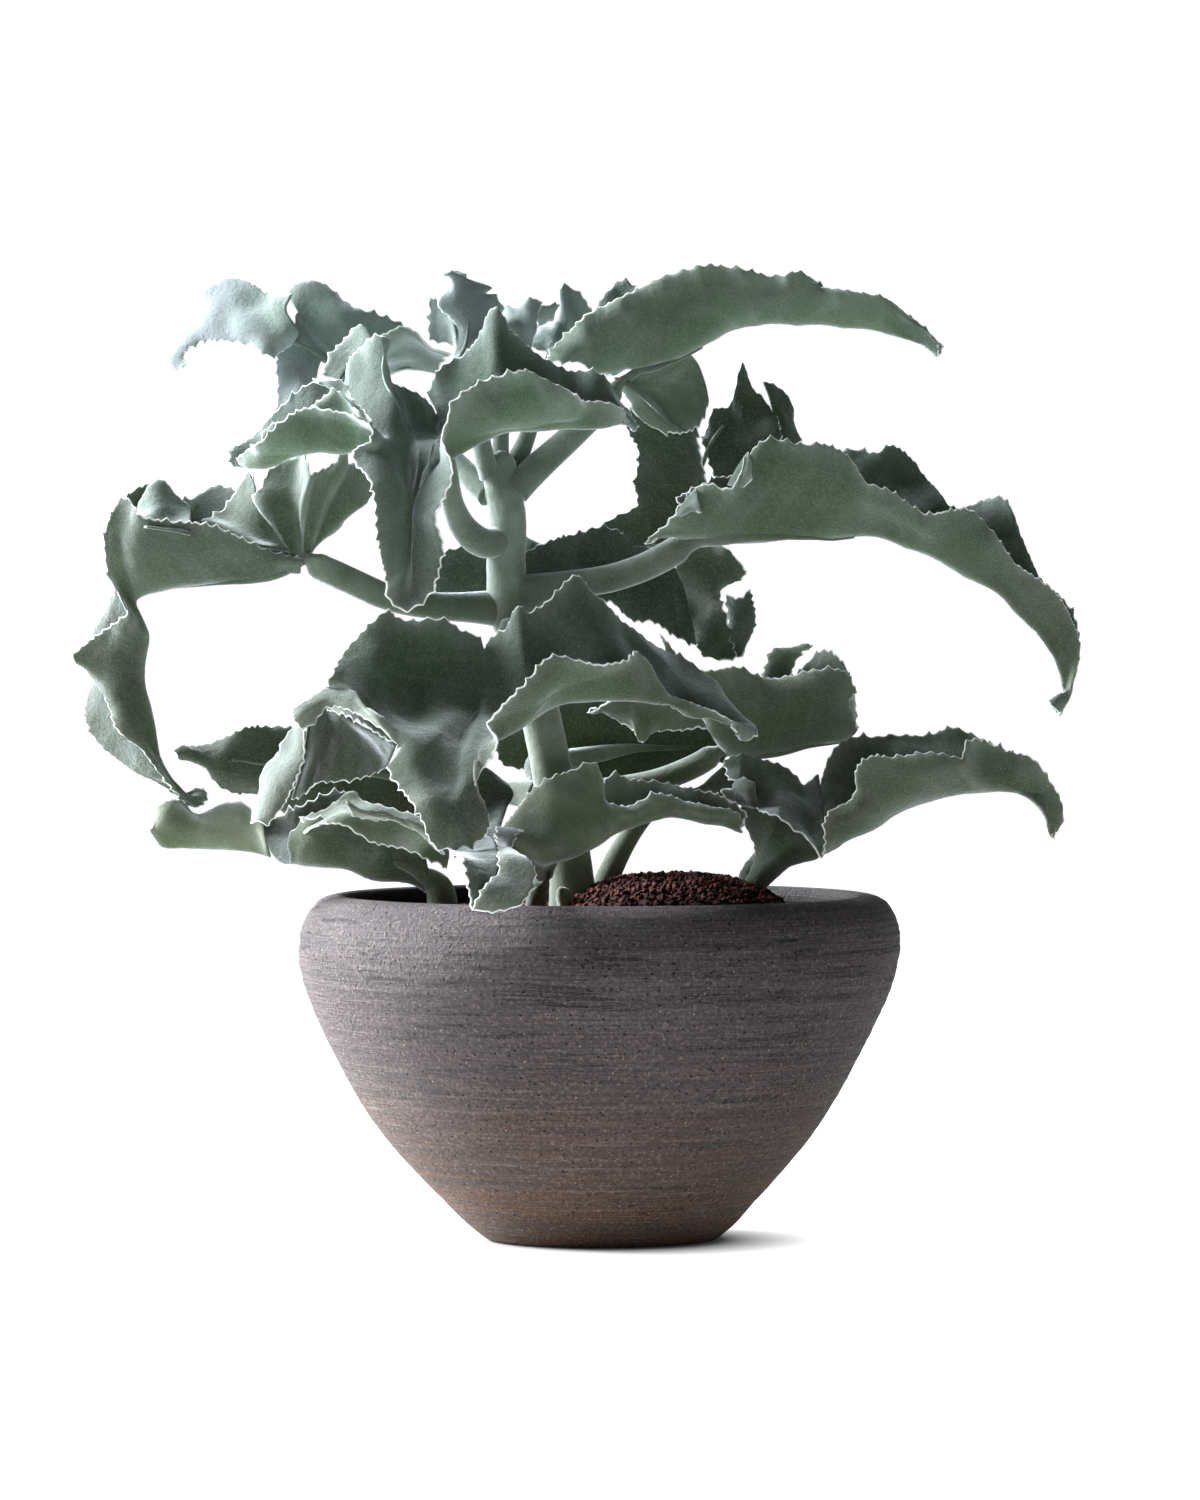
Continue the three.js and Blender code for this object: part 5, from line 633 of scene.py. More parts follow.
            {"free": "first last start", "upper": 1, "tone": (-0.5, -0.5), "net": """
13 417.5 45, 24 422.5 48, 35 425 50, 43 424 51, 48 417.5 50
12.5 406 47, 24 407.5 50, 35 409 52, 44 408 53, 49 402 51
18 397 48, 27 397.5 51, 37 398 53, 46 397 54, 51 392.5 52
19 387.5 49, 28 387.5 52, 38 387.5 54, 48 387 55, 53 382.5 53
17 376 50, 26 376.5 53, 38 376.5 55, 49 376 56, 55 372.5 54
17 368 51, 25 367.5 54, 39 367 56, 51 367 56.5, 57 366 55
5 361 50, 19 360 53, 33 359 55, 48 359 55.5, 58 360 54
-3 355 49.5, 12 353.5 52, 29 352.5 53.5, 44 352.5 53.5, 56 354 52.5
-6 348.5 49, 6.5 347 51, 20 347.5 52, 33 349 52.5, 46.5 350 52"""},
            {"free": "first start end", "upper": -1, "tone": (-0.65, -0.65), "net": """
49 401 59, 51 395 57, 54 387.5 55, 57 379 51
52 404 59, 55.5 395 57, 57 387.5 55, 59 379 51
55.5 415.5 60, 57 402.5 57, 59 390 54, 63 377 50
63 417.5 62, 64 402.5 58, 65.5 389 54, 68 376 50
70.5 438.5 66, 71.5 415 60, 72.5 395 56, 74 376 50
75.5 427.5 66, 77 412.5 60, 78 395 56, 79 377 50
83 420 64, 84 409 60, 85 396 56, 85 379 50
88.5 410 62, 89 404 60, 89.5 395 56, 90 381 50"""},
            {"free": "first end", "upper": -1, "tone": (-0.65, -0.65), "net": """
80.5 429.5 72, 84 420 69, 86 408 65, 86 386 46
87 428 75, 90 419 71, 92 406 66, 91 387 47
92 424 76, 95 416 72, 97 406 68, 96 389 51
97 416 75, 99 410 72, 100.5 404 68, 100 394 58"""},
        ],
    },
    "leaf_back_middle": {
        "petiole": """
            -46 319 8 6.2, -44 319 16 6.6, -36 321 26 6.2, -16 324 38 5.2, 12 332 46 4.4,
            34 338 49 3""",
        "sheets": [
            {"free": "first last start", "upper": 1, "tone": (-0.5, -0.5), "net": """
-83 342 26, -83 337 26, -83 331 26, -83 322 28
-72 346.5 28, -72 339 28, -72 331 28, -72 321 30
-58.5 345 30, -58.5 337.5 30, -58.5 330 30, -58.5 322 32
-43.5 343 34, -42 338 34, -41 332 34, -40 326 34
-39 343 36, -36 338 34, -33 331 32, -30 323 32
-23 351 38, -22.5 344 36, -22 334 34, -21 318 34
-11 354 44, -10.5 345 42, -9.5 335 40, -7 318 38
-1 356.5 48, 0 347.5 46, 1.5 337.5 44, 4 320 42
11.5 352.5 52, 13 342.5 50, 14 330 46, 15 310.5 42
24 347.5 54, 24 337.5 50, 25 324 46, 26.5 309.5 42
31.5 344 54, 33 332.5 50, 35 320 46, 38 302 42
35 339 52, 40.5 327.5 48, 44 314 44, 47 297.5 42"""},
            {"free": "first last start end", "upper": 1, "tone": (-0.5, -0.5), "net": """
38 346 60, 49 347 60, 60 347.5 58, 65 345 58
37 333 60, 49 334 60, 59 335 58, 71.5 333.5 60
40 320 58, 49 321 58, 55 322 56, 60 323.5 58
43 307.5 54, 50 308 54, 56 309 54, 62 311 54
47 298 48, 54 297.5 49, 60 297.5 50, 66 299 52
51 292.5 47, 57 291 49, 62.5 290 49, 67 291.5 50"""},
            {"free": "first last start end", "upper": -1, "tone": (-0.5, -0.5), "net": """
60 323 55, 65 321 51, 71.5 322 54, 75 326 57
61 314 54, 66 314 51, 72 315 53, 76.5 316 56
63 306 53, 67.5 306 50, 72.5 306.5 52, 76 307.5 55
66 298.5 51, 69 298 49, 72.5 298.5 50, 74 300 52
67.5 292 50, 68.5 291.5 49, 69.5 292 49, 70 293 49"""},
        ],
    },
    "leaf_back_lower": {
        "petiole": """
            -30 236 6 6.6, -28 238 14 6.2, -20 240 26 5.4, -4 243 38 4.4, 18 246 47 3.2, 44 247 50 2""",
        "sheets": [
            {"free": "first last start end", "upper": -1, "tone": (-0.45, -0.45), "net": """
-56 250 40, -54 246 40, -52 242 40, -49 237 42
-41 259 44, -40 251 42, -38.5 244 42, -36 234 44
-21 270 48, -20 257.5 45, -18.5 245 45, -16 230 48
-1 275 52, 0 261 48, 1.5 246 48, 4 227.5 50
19 275 54, 20 261 50, 21.5 246 50, 24 230 52
39 270 54, 40 259 51, 41 246 50, 43 234 52
55 264 52, 56 256 50, 57 248 50, 58 239 52
64 256 50, 64 252 49, 64 248 49, 64 243 50"""},
        ],
    },
    "leaf_right_back_small": {
        "petiole": """
            -4 160 18 6.8, 0 173 19 6.4, 4 184 21 6, 10 196 23 5.4, 18 208 27 4.6, 29 219 33 3.6,
            46 226 40 2.4, 62 232 42 1.4""",
        "sheets": [
            {"free": "first last end", "upper": -1, "net": """
48 225 40, 55 232 42, 62 238 44
58 220 42, 66 228 42, 74 236 46
71 218.5 44, 81 226 44, 88 234 48
86 220 46, 94 224 46, 99 229 48"""},
        ],
    },
    "leaf_top_left": {
        "petiole": """
            -56 382 -2 3.8, -58.5 390 -4 4.6, -61 402 -3 4.6, -65 420 0 4, -69 434 3 3.4,
            -68 446 5 2.6, -67 460 5 1.6""",
        "sheets": [
            {"free": "first last end", "upper": 1, "net": """
-78 437 10, -75 439 8, -72 441 6, -68.5 444 8, -65 447 10
-73.5 447.5 10, -69.5 448.5 6, -64.5 450 2, -58.5 452 5, -53 455 8
-73 456 10, -69.5 456 6, -65 457 2, -57 459 5, -49.5 462 8
-76 463 10, -71.5 463 6, -67 465 2, -59 466 5, -51.5 470 8
-81 468.5 10, -75 469 6, -70 471 2, -64 472 5, -58.5 472.5 9
-76.5 475 8, -74 475 5, -72 476 2, -65 477 6, -57 476.5 10
-77 481.5 6, -75.5 481 4, -74 481 2, -70 482 5, -65 480.5 8
-80 483 4, -79 483.5 3, -77.5 484 2, -75 484 3, -72 483.5 4"""},
            {"free": "first start end", "upper": 1, "net": """
-85 472 22, -81 470 20, -76.5 468.5 14
-84.5 464 22, -80 463 19, -75 463 11
-86 457 22, -80 456 19, -73 456 9
-85 450.5 22, -79.5 449 18, -72 448 9"""},
        ],
    },
    "leaf_top_middle": {
        "petiole": """
            -50.5 383 3 2.9, -50.5 390 4 3.6, -50.5 402 6 3.8, -48 420 7 3.2, -44 440 7 2.4,
            -41 452 8 1.6""",
        "sheets": [
            {"free": "first last start end", "upper": 1, "net": """
-50.5 469.5 19, -49 462.5 16, -47 455 12, -44 445 7
-46 466 16, -45 461 12, -43.5 455 9, -42 445 6
-41 465.5 15, -40.5 460 11, -40.5 455 8, -40 444 6
-36 470.5 14, -36 464 11, -37 457 8, -38 445 6
-30 469 15, -32 462.5 12, -34 456 9, -36 446 7"""},
        ],
    },
    "leaf_top_right": {
        "petiole": """
            -45.5 382 9 3.8, -42.5 390 12 4.6, -38 400 15 4.2, -32 420 16 3.4, -27 438 16 2.4,
            -25 452 14 1.6""",
        "sheets": [
            {"free": "first last end", "upper": 1, "net": """
-39 450 20, -37 449 18, -35 447.5 16, -32 445 15
-32 457.5 22, -30.5 454 19, -29 449.5 16, -28 444 14
-25 459 23, -25 454 18, -25 448 15, -26 441 13
-20 466 24, -20 459 20, -21 451 17, -23 444 14
-20 477 26, -16.5 467.5 23, -16 457.5 19, -18 447.5 15
-12 472.5 27, -11.5 465 25, -12 457.5 23, -14 451 22
-5 464 31, -6 462 31, -7 460 30, -8.5 458 29"""},
            {"free": "first last start", "upper": 1, "net": """
-33 458 20, -32 462.5 13, -30 465.5 14
-28.5 459.5 20, -28 463.5 12, -26 467 14
-24.5 460 22, -23.5 464.5 14, -21 468 16"""},
        ],
    },
}

# The stem, as points "x z y radius", swollen where the leaf pairs leave it.
STEM = """
    -14 160 0 12.6, -14.5 170 0 12, -15.5 182 0 11.2, -18 200 0 10.8, -23 225 0 10.5,
    -28 250 0 10.2, -32.5 270 0 10.2, -38 292.5 0 10.5, -43 307 0 10.9, -45.5 315 0 11.1,
    -47 322 0 10.7, -47.5 329 0 10.2, -48 340 0 9.5, -47.5 350 0 9.3, -47 359 0 9,
    -48 368 1 9, -50 377 2 9.2, -50 386 2 8, -50 392 2 5.5, -50 395 2 2"""

# The side bud at the stem's foot.
BUD = """
    -17 160 -15 3.4, -17.5 167 -18 4.6, -18.5 171 -21 4.6, -20 174 -24 3.2, -21 176 -26 1.2"""


# Points and curves

def points_of(text):
    """The rows of numbers in a text, one row for each comma."""
    return np.array([[float(word) for word in row.split()] for row in text.split(",")])


def place(points):
    """Points [x, z, y] seen from the front, in their true places, in millimetres."""
    nearness = (VIEW_DISTANCE + points[..., 2]) / VIEW_DISTANCE
    height = EYE_HEIGHT + (points[..., 1] - EYE_HEIGHT) * nearness
    return np.stack([points[..., 0] * nearness, points[..., 2], height], -1)


def smoothstep(low, high, value):
    """0 below low, 1 above high, and smooth between them."""
    t = np.clip((value - low) / (high - low), 0, 1)
    return t * t * (3 - 2 * t)


def unit(vectors):
    """The vectors, each of length one."""
    return vectors / np.maximum(np.linalg.norm(vectors, axis=-1, keepdims=True), 1e-9)


def spline(knots, values, at):
    """The smooth curve through values at knots, read at the places given."""
    gaps = np.diff(knots)
    shape = (-1,) + (1,) * (values.ndim - 1)
    slopes = np.diff(values, axis=0) / gaps.reshape(shape)
    tangents = np.empty_like(values)
    tangents[0], tangents[-1] = slopes[0], slopes[-1]
    before, after = gaps[:-1].reshape(shape), gaps[1:].reshape(shape)
    tangents[1:-1] = (after * slopes[:-1] + before * slopes[1:]) / (before + after)
    i = np.clip(np.searchsorted(knots, at, side="right") - 1, 0, len(gaps) - 1)
    h = gaps[i].reshape(shape)
    t = ((at - knots[i]) / gaps[i]).reshape(shape)
    return (
        (1 + 2 * t) * (1 - t) ** 2 * values[i]
        + t * (1 - t) ** 2 * h * tangents[i]
        + t * t * (3 - 2 * t) * values[i + 1]
        + t * t * (t - 1) * h * tangents[i + 1]
    )


def refined(values, step):
    """Values along the first axis, made finer so that neighbours lie about a step apart."""
    flat = values.reshape(len(values), -1, values.shape[-1])
    gaps = np.linalg.norm(np.diff(flat[..., :3], axis=0), axis=-1)
    knots = np.concatenate([[0], np.cumsum(gaps.mean(1) ** 0.6 + 0.2)])
    at = []
    for i, widest in enumerate(gaps.max(1)):
        count = max(1, round(widest / step))
        at.extend(np.linspace(knots[i], knots[i + 1], count, endpoint=False))
    return spline(knots, values, np.array(at + [knots[-1]]))


def random_at(cells, seed):
    """A repeatable random number from 0 to 1 for each whole number."""
    mixed = np.sin(cells * 12.9898 + seed * 78.233) * 43758.5453
    return mixed - np.floor(mixed)


def wander(places, seed):
    """A smooth random curve from -1 to 1, with a feature about each whole number."""
    cell = np.floor(places)
    t = smoothstep(0, 1, places - cell)
    return 2 * ((1 - t) * random_at(cell, seed) + t * random_at(cell + 1, seed)) - 1


# Meshes

def build_mesh(name, points, faces, paints, material, smooth=True):
    """An object from points in millimetres, faces, and a value for each point in each paint."""
    mesh = bpy.data.meshes.new(name)
    mesh.from_pydata((points * MM).tolist(), [], faces)
    for paint, values in paints.items():
        attribute = mesh.attributes.new(paint, "FLOAT", "POINT")
        attribute.data.foreach_set("value", np.asarray(values, np.float32))
    mesh.polygons.foreach_set("use_smooth", [smooth] * len(mesh.polygons))
    mesh.materials.append(material)
    mesh.update()
    piece = bpy.data.objects.new(name, mesh)
    bpy.context.scene.collection.objects.link(piece)
    return piece


def grid_faces(rows, columns, first=0, flipped=False, wrapped=False):
    """The four-sided faces of a grid of points that starts at the index first."""
    i, j = np.meshgrid(np.arange(rows - 1), np.arange(columns - (not wrapped)), indexing="ij")
    across = (j + 1) % columns
    corners = [i * columns + j, i * columns + across, (i + 1) * columns + across, (i + 1) * columns + j]
    if flipped:
        corners.reverse()
    return (np.stack([c.ravel() for c in corners], -1) + first).tolist()


class Shape:
    """Points, faces and paints, gathered for one mesh."""

    PAINTS = ("rim", "vein", "under", "tone", "stalk", "bloom")

    def __init__(self):
        self.points, self.faces, self.count = [], [], 0
        self.paints = {paint: [] for paint in self.PAINTS}

    def add(self, points, faces, **paints):
        """Adds points, the faces among them and their paints."""
        for face in faces:
            self.faces.append([k + self.count for k in face])
        self.points.append(points)
        for paint in self.PAINTS:
            values = np.broadcast_to(paints.get(paint, 0.0), (len(points),))
            self.paints[paint].append(values)
        self.count += len(points)

    def mesh(self, name, material):
        """The object that has all that was added."""
        paints = {paint: np.concatenate(values) for paint, values in self.paints.items()}
        return build_mesh(name, np.concatenate(self.points), self.faces, paints, material)


# Leaf sheets

def teeth_along(arc, seed):
    """How far each place along a margin stands out, as irregular teeth, in millimetres."""
    ends = [0.0]
    while ends[-1] < arc[-1]:
        gap = TOOTH_SPACING * (0.55 + 1.1 * float(random_at(len(ends), seed)) ** 1.5)
        ends.append(ends[-1] + gap)
    ends = np.array(ends)
    i = np.clip(np.searchsorted(ends, arc, side="right") - 1, 0, len(ends) - 2)
    gap = ends[i + 1] - ends[i]
    t = (arc - ends[i]) / gap
    height = TOOTH_DEPTH * (gap / TOOTH_SPACING) * (0.55 + 0.7 * random_at(i, seed + 9))
    before = TOOTH_DEPTH * (0.5 + 0.6 * random_at(i + 1, seed + 9))
    from_tip = np.abs(2 * t - 1)
    return np.where(t < 0.5, before, height) * from_tip**1.7


def grid_normals(grid):
    """The unit normals of a grid of points."""
    along = np.gradient(grid, axis=0)
    across = np.gradient(grid, axis=1)
    return unit(np.cross(across, along))


def eased(grid, margin_distance):
    """The grid with its creases smoothed, the more so the farther from its margins."""
    hold = smoothstep(0, HELD_MARGIN, margin_distance)[..., None]
    for _ in range(EASING_ROUNDS):
        middle = grid.copy()
        middle[1:-1] = (grid[:-2] + grid[2:]) / 2
        middle[:, 1:-1] = (middle[:, 1:-1] + (grid[:, :-2] + grid[:, 2:]) / 2) / 2
        grid = grid + (middle - grid) * hold * EASING_SHARE
    return grid


# How a grid is turned so that each of its four edges comes first, and how it is turned back.
EDGES = {
    "first": (lambda g: g, lambda g: g),
    "last": (lambda g: g[:, ::-1], lambda g: g[:, ::-1]),
    "start": (lambda g: g.swapaxes(0, 1), lambda g: g.swapaxes(0, 1)),
    "end": (lambda g: g[::-1].swapaxes(0, 1), lambda g: g.swapaxes(0, 1)[::-1]),
}


def distance_in(grid):
    """The distance of each point from the first point of its row."""
    gaps = np.linalg.norm(np.diff(grid, axis=1), axis=-1)
    return np.concatenate([np.zeros((len(grid), 1)), np.cumsum(gaps, axis=1)], axis=1)


def edge_distance(grid, edge):
    """The distance of each point from one of the grid's four edges."""
    turn, back = EDGES[edge]
    return back(distance_in(turn(grid)))


def trimmed(grid):
    """The grid with two more lines of points close to the first point of each row."""
    out = grid[:, 1] - grid[:, 0]
    length = np.maximum(np.linalg.norm(out, axis=-1, keepdims=True), 1e-6)
    near = [grid[:, 0] + out * np.minimum(gap / length, share) for gap, share in RIM_LINES]
    return np.concatenate([grid[:, :1], np.stack(near, axis=1), grid[:, 1:]], axis=1)


def toothed(grid, seed):
    """The grid with teeth and ruffles on the margin that its rows start from."""
    margin = grid[:, 0]
    away = distance_in(grid)
    arc = np.concatenate([[0], np.cumsum(np.linalg.norm(np.diff(margin, axis=0), axis=-1))])
    out = unit(margin - grid[:, min(4, grid.shape[1] - 1)])
    teeth = teeth_along(arc, seed) - 0.25 * TOOTH_DEPTH
    ends = smoothstep(0, TOOTHLESS_END, arc) * smoothstep(0, TOOTHLESS_END, arc[-1] - arc)
    ruffle = RUFFLE_HEIGHT * wander(arc / RUFFLE_LENGTH, seed + 3)
    ruffle += 0.25 * RUFFLE_HEIGHT * wander(arc / TOOTH_SPACING, seed + 4)
    near = np.exp(-((away / TOOTH_REACH) ** 2))[..., None]
    wide = np.exp(-((away / RUFFLE_REACH) ** 2))[..., None]
    normals = grid_normals(grid)
    grid = grid + out[:, None] * (teeth * ends)[:, None, None] * near
    return grid + normals * (ruffle * ends)[:, None, None] * wide


def ribs(grid, path, seed):
    """How strongly each point of a grid lies on a side vein that leaves the midrib path."""
    tree = kdtree.KDTree(len(path))
    for k, point in enumerate(path):
        tree.insert(Vector(point), k)
    tree.balance()
    arc = np.concatenate([[0], np.cumsum(np.linalg.norm(np.diff(path, axis=0), axis=-1))])
    nearest = np.array([tree.find(Vector(point))[1:] for point in grid.reshape(-1, 3)])
    along = arc[nearest[:, 0].astype(int)].reshape(grid.shape[:2])
    off = nearest[:, 1].reshape(grid.shape[:2])
    bend = VEIN_BEND * np.sin(off / VEIN_BEND_LENGTH + seed)
    turns = (along - VEIN_SLANT * off + bend) / VEIN_SPACING
    gap = np.abs(turns - np.round(turns)) * VEIN_SPACING
    side = np.exp(-((gap / VEIN_WIDTH) ** 2))
    side = side * smoothstep(3, 9, off) * (1 - smoothstep(35, 80, off))
    turns = (along + SMALL_VEIN_SLANT * off - bend) / SMALL_VEIN_SPACING
    gap = np.abs(turns - np.round(turns)) * SMALL_VEIN_SPACING
    small = SMALL_VEIN_STRENGTH * np.exp(-((gap / SMALL_VEIN_WIDTH) ** 2))
    small = small * smoothstep(8, 16, off)
    return np.maximum(side, small)


def folds(normals, step):
    """How sharply a grid bends at each point, from 0 to 1."""
    turn = np.linalg.norm(np.gradient(normals, axis=0), axis=-1)
    turn += np.linalg.norm(np.gradient(normals, axis=1), axis=-1) / ACROSS_STEP
    for _ in range(3):
        turn[1:-1] = (turn[:-2] + 2 * turn[1:-1] + turn[2:]) / 4
        turn[:, 1:-1] = (turn[:, :-2] + 2 * turn[:, 1:-1] + turn[:, 2:]) / 4
    return smoothstep(0.04, 0.2, turn / step)


def swelled(grid, swells):
    """The grid pushed nearer or farther around some places."""
    for x, z, reach_x, reach_z, push in swells:
        away = ((grid[..., 0] - x) / reach_x) ** 2 + ((grid[..., 1] - z) / reach_z) ** 2
        grid[..., 2] += push * np.exp(-away)
    return grid


def rippled(grid, free, seed):
    """The grid with soft dents and creases, deepest towards its free margins."""
    chance = np.random.default_rng(seed)
    dents = np.zeros(grid.shape[:2])
    for k in range(RIPPLE_WAVES + RIPPLE_CREASES):
        length = RIPPLE_LENGTH * chance.uniform(0.5, 1.6)
        wave = unit(chance.normal(size=3)) * 2 * math.pi / length
        turn = grid @ wave + chance.uniform(0, 2 * math.pi)
        if k < RIPPLE_WAVES:
            dents += np.sin(turn) * length / RIPPLE_LENGTH
        else:
            dents += 0.8 - 1.6 * np.abs(np.sin(turn / 2))
    margin = np.minimum.reduce([edge_distance(grid, edge) for edge in free])
    joined = [edge for edge in EDGES if edge not in free]
    held = [smoothstep(0, HELD_MARGIN, edge_distance(grid, edge)) for edge in joined]
    depth = RIPPLE_DEPTH / 3 * (0.45 + 0.55 * np.exp(-margin / RIPPLE_FADE))
    depth = depth * np.prod(held or [1.0], axis=0)
    return grid + grid_normals(grid) * (dents * depth)[..., None]


def border(height, width):
    """The indices of a grid's outermost points, in order around it."""
    loop = list(range(width))
    loop += [i * width + width - 1 for i in range(1, height)]
    loop += [(height - 1) * width + j for j in range(width - 2, -1, -1)]
    return loop + [i * width for i in range(height - 2, 0, -1)]


def add_margin(shape, grid, half, rim, tone):
    """Joins the two faces of a sheet, which were added last, by a rounded margin."""
    height, width = grid.shape[:2]
    count = height * width
    start = shape.count - 2 * count
    loop = border(height, width)
    flat = grid.reshape(-1, 3)
    inner = np.clip(np.arange(height), 1, height - 2)[:, None] * width
    inner = (inner + np.clip(np.arange(width), 1, width - 2)).ravel()
    outward = unit(flat[loop] - flat[inner[loop]])
    crest = flat[loop] + outward * half.ravel()[loop][:, None] * MARGIN_BULGE
    for k, a in enumerate(loop):
        after = (k + 1) % len(loop)
        b, c, d = loop[after], 2 * count + k, 2 * count + after
        for face in ([a, c, d, b], [a + count, b + count, d, c]):
            shape.faces.append([corner + start for corner in face])
    shape.add(crest, [], rim=rim.ravel()[loop], under=0.5, tone=tone)


def add_sheet(shape, sheet, swells, path, step, seed):
    """Adds one leaf sheet, a blade of even thickness, and gives its grid and under side."""
    rows = sheet["net"].strip().split("\n")
    grid = refined(np.array([points_of(row) for row in rows]), step)
    grid = refined(grid.transpose(1, 0, 2), ACROSS_STEP * step).transpose(1, 0, 2)
    grid = place(swelled(grid, swells))
    nearest = np.minimum.reduce([edge_distance(grid, edge) for edge in EDGES])
    grid = eased(grid, nearest)
    free = sheet["free"].split()
    grid = rippled(grid, free, seed)
    for k, edge in enumerate(free):
        turn, back = EDGES[edge]
        grid = back(trimmed(toothed(turn(grid), seed + 20 * k)))
    edge = np.minimum.reduce([edge_distance(grid, name) for name in free])
    normals = grid_normals(grid)
    for _ in range(2):
        normals[1:-1] = normals[:-2] + 2 * normals[1:-1] + normals[2:]
        normals = unit(normals)
    rim = 1 - smoothstep(0.3 * RIM_WIDTH, RIM_WIDTH, edge)
    vein = ribs(grid, path, seed) * (1 - rim)
    # The pale felt paint: near the free margins it is partly the felt's own paleness and partly painted
    # sheen, and on the folds it is a painted sheen highlight where the bent felt catches the light.
    bloom = np.maximum(MARGIN_PALENESS * np.exp(-edge / PALE_MARGIN_WIDTH), folds(normals, step))
    half = BLADE_THICKNESS / 2 * (1 - MARGIN_THINNING * rim)
    # Each sheet's tone is painted light and shade: it lightens the faces where light falls and darkens
    # those in shade.
    painted_light_shade = sheet.get("tone", (0, 0))
    for side in (1, -1):
        is_under = side != sheet["upper"]
        relief = vein * (VEIN_RELIEF_UNDER if is_under else VEIN_RELIEF_UPPER)
        face = grid + side * normals * (half + relief)[..., None]
        shape.add(
            face.reshape(-1, 3), grid_faces(*grid.shape[:2], flipped=side < 0),
            rim=rim.ravel(), vein=vein.ravel(), under=float(is_under), tone=painted_light_shade[side < 0],
            bloom=bloom.ravel(),
        )
    add_margin(shape, grid, half, rim, sum(painted_light_shade) / 2)
    return grid, normals * -sheet["upper"]


# Stalks

# A direction that no stalk starts in, from which its rings are turned.
FIRST_SIDE = (0.31, 0.94, 0.12)


def tube_rings(centres, radii, sides):
    """Rings of points around a path, turned as little as possible from one to the next."""
    along = unit(np.gradient(centres, axis=0))
    side = np.array(FIRST_SIDE)
    turns = np.arange(sides) * 2 * math.pi / sides
    rings = []
    for centre, direction, radius in zip(centres, along, radii):
        side = unit(side - direction * side.dot(direction))
        up = np.cross(direction, side)
        ring = np.cos(turns)[:, None] * side + np.sin(turns)[:, None] * up
        rings.append(centre + ring * radius)
    return np.array(rings)


def add_tube(shape, centres, radii, sides=20, **paints):
    """Adds a round stalk along a path, both ends closed flat."""
    rings = tube_rings(centres, radii, sides)
    count = len(rings)
    ends = np.array([centres[0], centres[-1]])
    faces = grid_faces(count, sides, wrapped=True)
    for k in range(sides):
        after = (k + 1) % sides
        faces.append([k, count * sides, after])
        faces.append([(count - 1) * sides + k, (count - 1) * sides + after, count * sides + 1])
    ready = {}
    for paint, values in paints.items():
        values = np.broadcast_to(values, (count,))
        ready[paint] = np.concatenate([np.repeat(values, sides), [values[0], values[-1]]])
    faces = [face[::-1] for face in faces]
    shape.add(np.concatenate([rings.reshape(-1, 3), ends]), faces, **ready)


def stalk_path(text, swells, step):
    """A petiole's centres and radii, finely spaced."""
    table = swelled(points_of(text), swells)
    table = np.concatenate([place(table), table[:, 3:]], axis=1)
    fine = refined(table, step)
    return fine[:, :3], fine[:, 3]


def settled(centres, radii, grids):
    """The path with its last part drawn onto the blade that it carries, as a midrib."""
    tree = kdtree.KDTree(sum(grid.shape[0] * grid.shape[1] for grid, _ in grids))
    points = np.concatenate([grid.reshape(-1, 3) for grid, _ in grids])
    under = np.concatenate([normals.reshape(-1, 3) for _, normals in grids])
    for k, point in enumerate(points):
        tree.insert(Vector(point), k)
    tree.balance()
    found = [tree.find(Vector(centre)) for centre in centres]
    gap = np.array([row[2] for row in found])
    part = np.linspace(0, 1, len(centres))
    pull = (1 - smoothstep(4, 8, gap)) * smoothstep(0.35, 0.6, part)
    radii = radii * (1 - MIDRIB_THINNING * pull)
    spots = [row[1] for row in found]
    target = points[spots] + under[spots] * (MIDRIB_STANDS_OUT * radii)[:, None]
    moved = centres + (target - centres) * pull[:, None]
    for _ in range(6):
        moved[1:-1] = (moved[:-2] + 2 * moved[1:-1] + moved[2:]) / 4
    return moved, radii


def build_leaf(name, leaf, material, step, seed):
    """One whole leaf."""
    shape = Shape()
    swells = points_of(leaf["swells"]) if "swells" in leaf else []
    centres, radii = stalk_path(leaf["petiole"], swells, STALK_STEP)
    grids = []
    for k, sheet in enumerate(leaf["sheets"]):
        grids.append(add_sheet(shape, sheet, swells, centres, step, seed + 31 * k))
    centres, radii = settled(centres, radii, grids)
    from_stem = np.linalg.norm(centres - centres[0], axis=-1)
    if centres[0, 2] > FLARE_FROM_HEIGHT:
        radii = radii * (1 + FLARE_AMOUNT * np.exp(-from_stem / FLARE_LENGTH))
    fade = np.linspace(0, 1, len(centres))
    add_tube(shape, centres, radii, stalk=1 - 0.6 * smoothstep(0.5, 0.9, fade), under=0.6)
    for vein in leaf.get("veins", []):
        centres, radii = stalk_path(vein, swells, STALK_STEP)
        add_tube(shape, *settled(centres, radii, grids), stalk=0.4, under=0.6)
    return shape.mesh(name, material)


# Materials

def linear(code):
    """A colour code as the linear values that a shader takes."""
    parts = [int(code[k:k + 2], 16) / 255 for k in (0, 2, 4)]
    return [c / 12.92 if c <= 0.04045 else ((c + 0.055) / 1.055) ** 2.4 for c in parts] + [1]


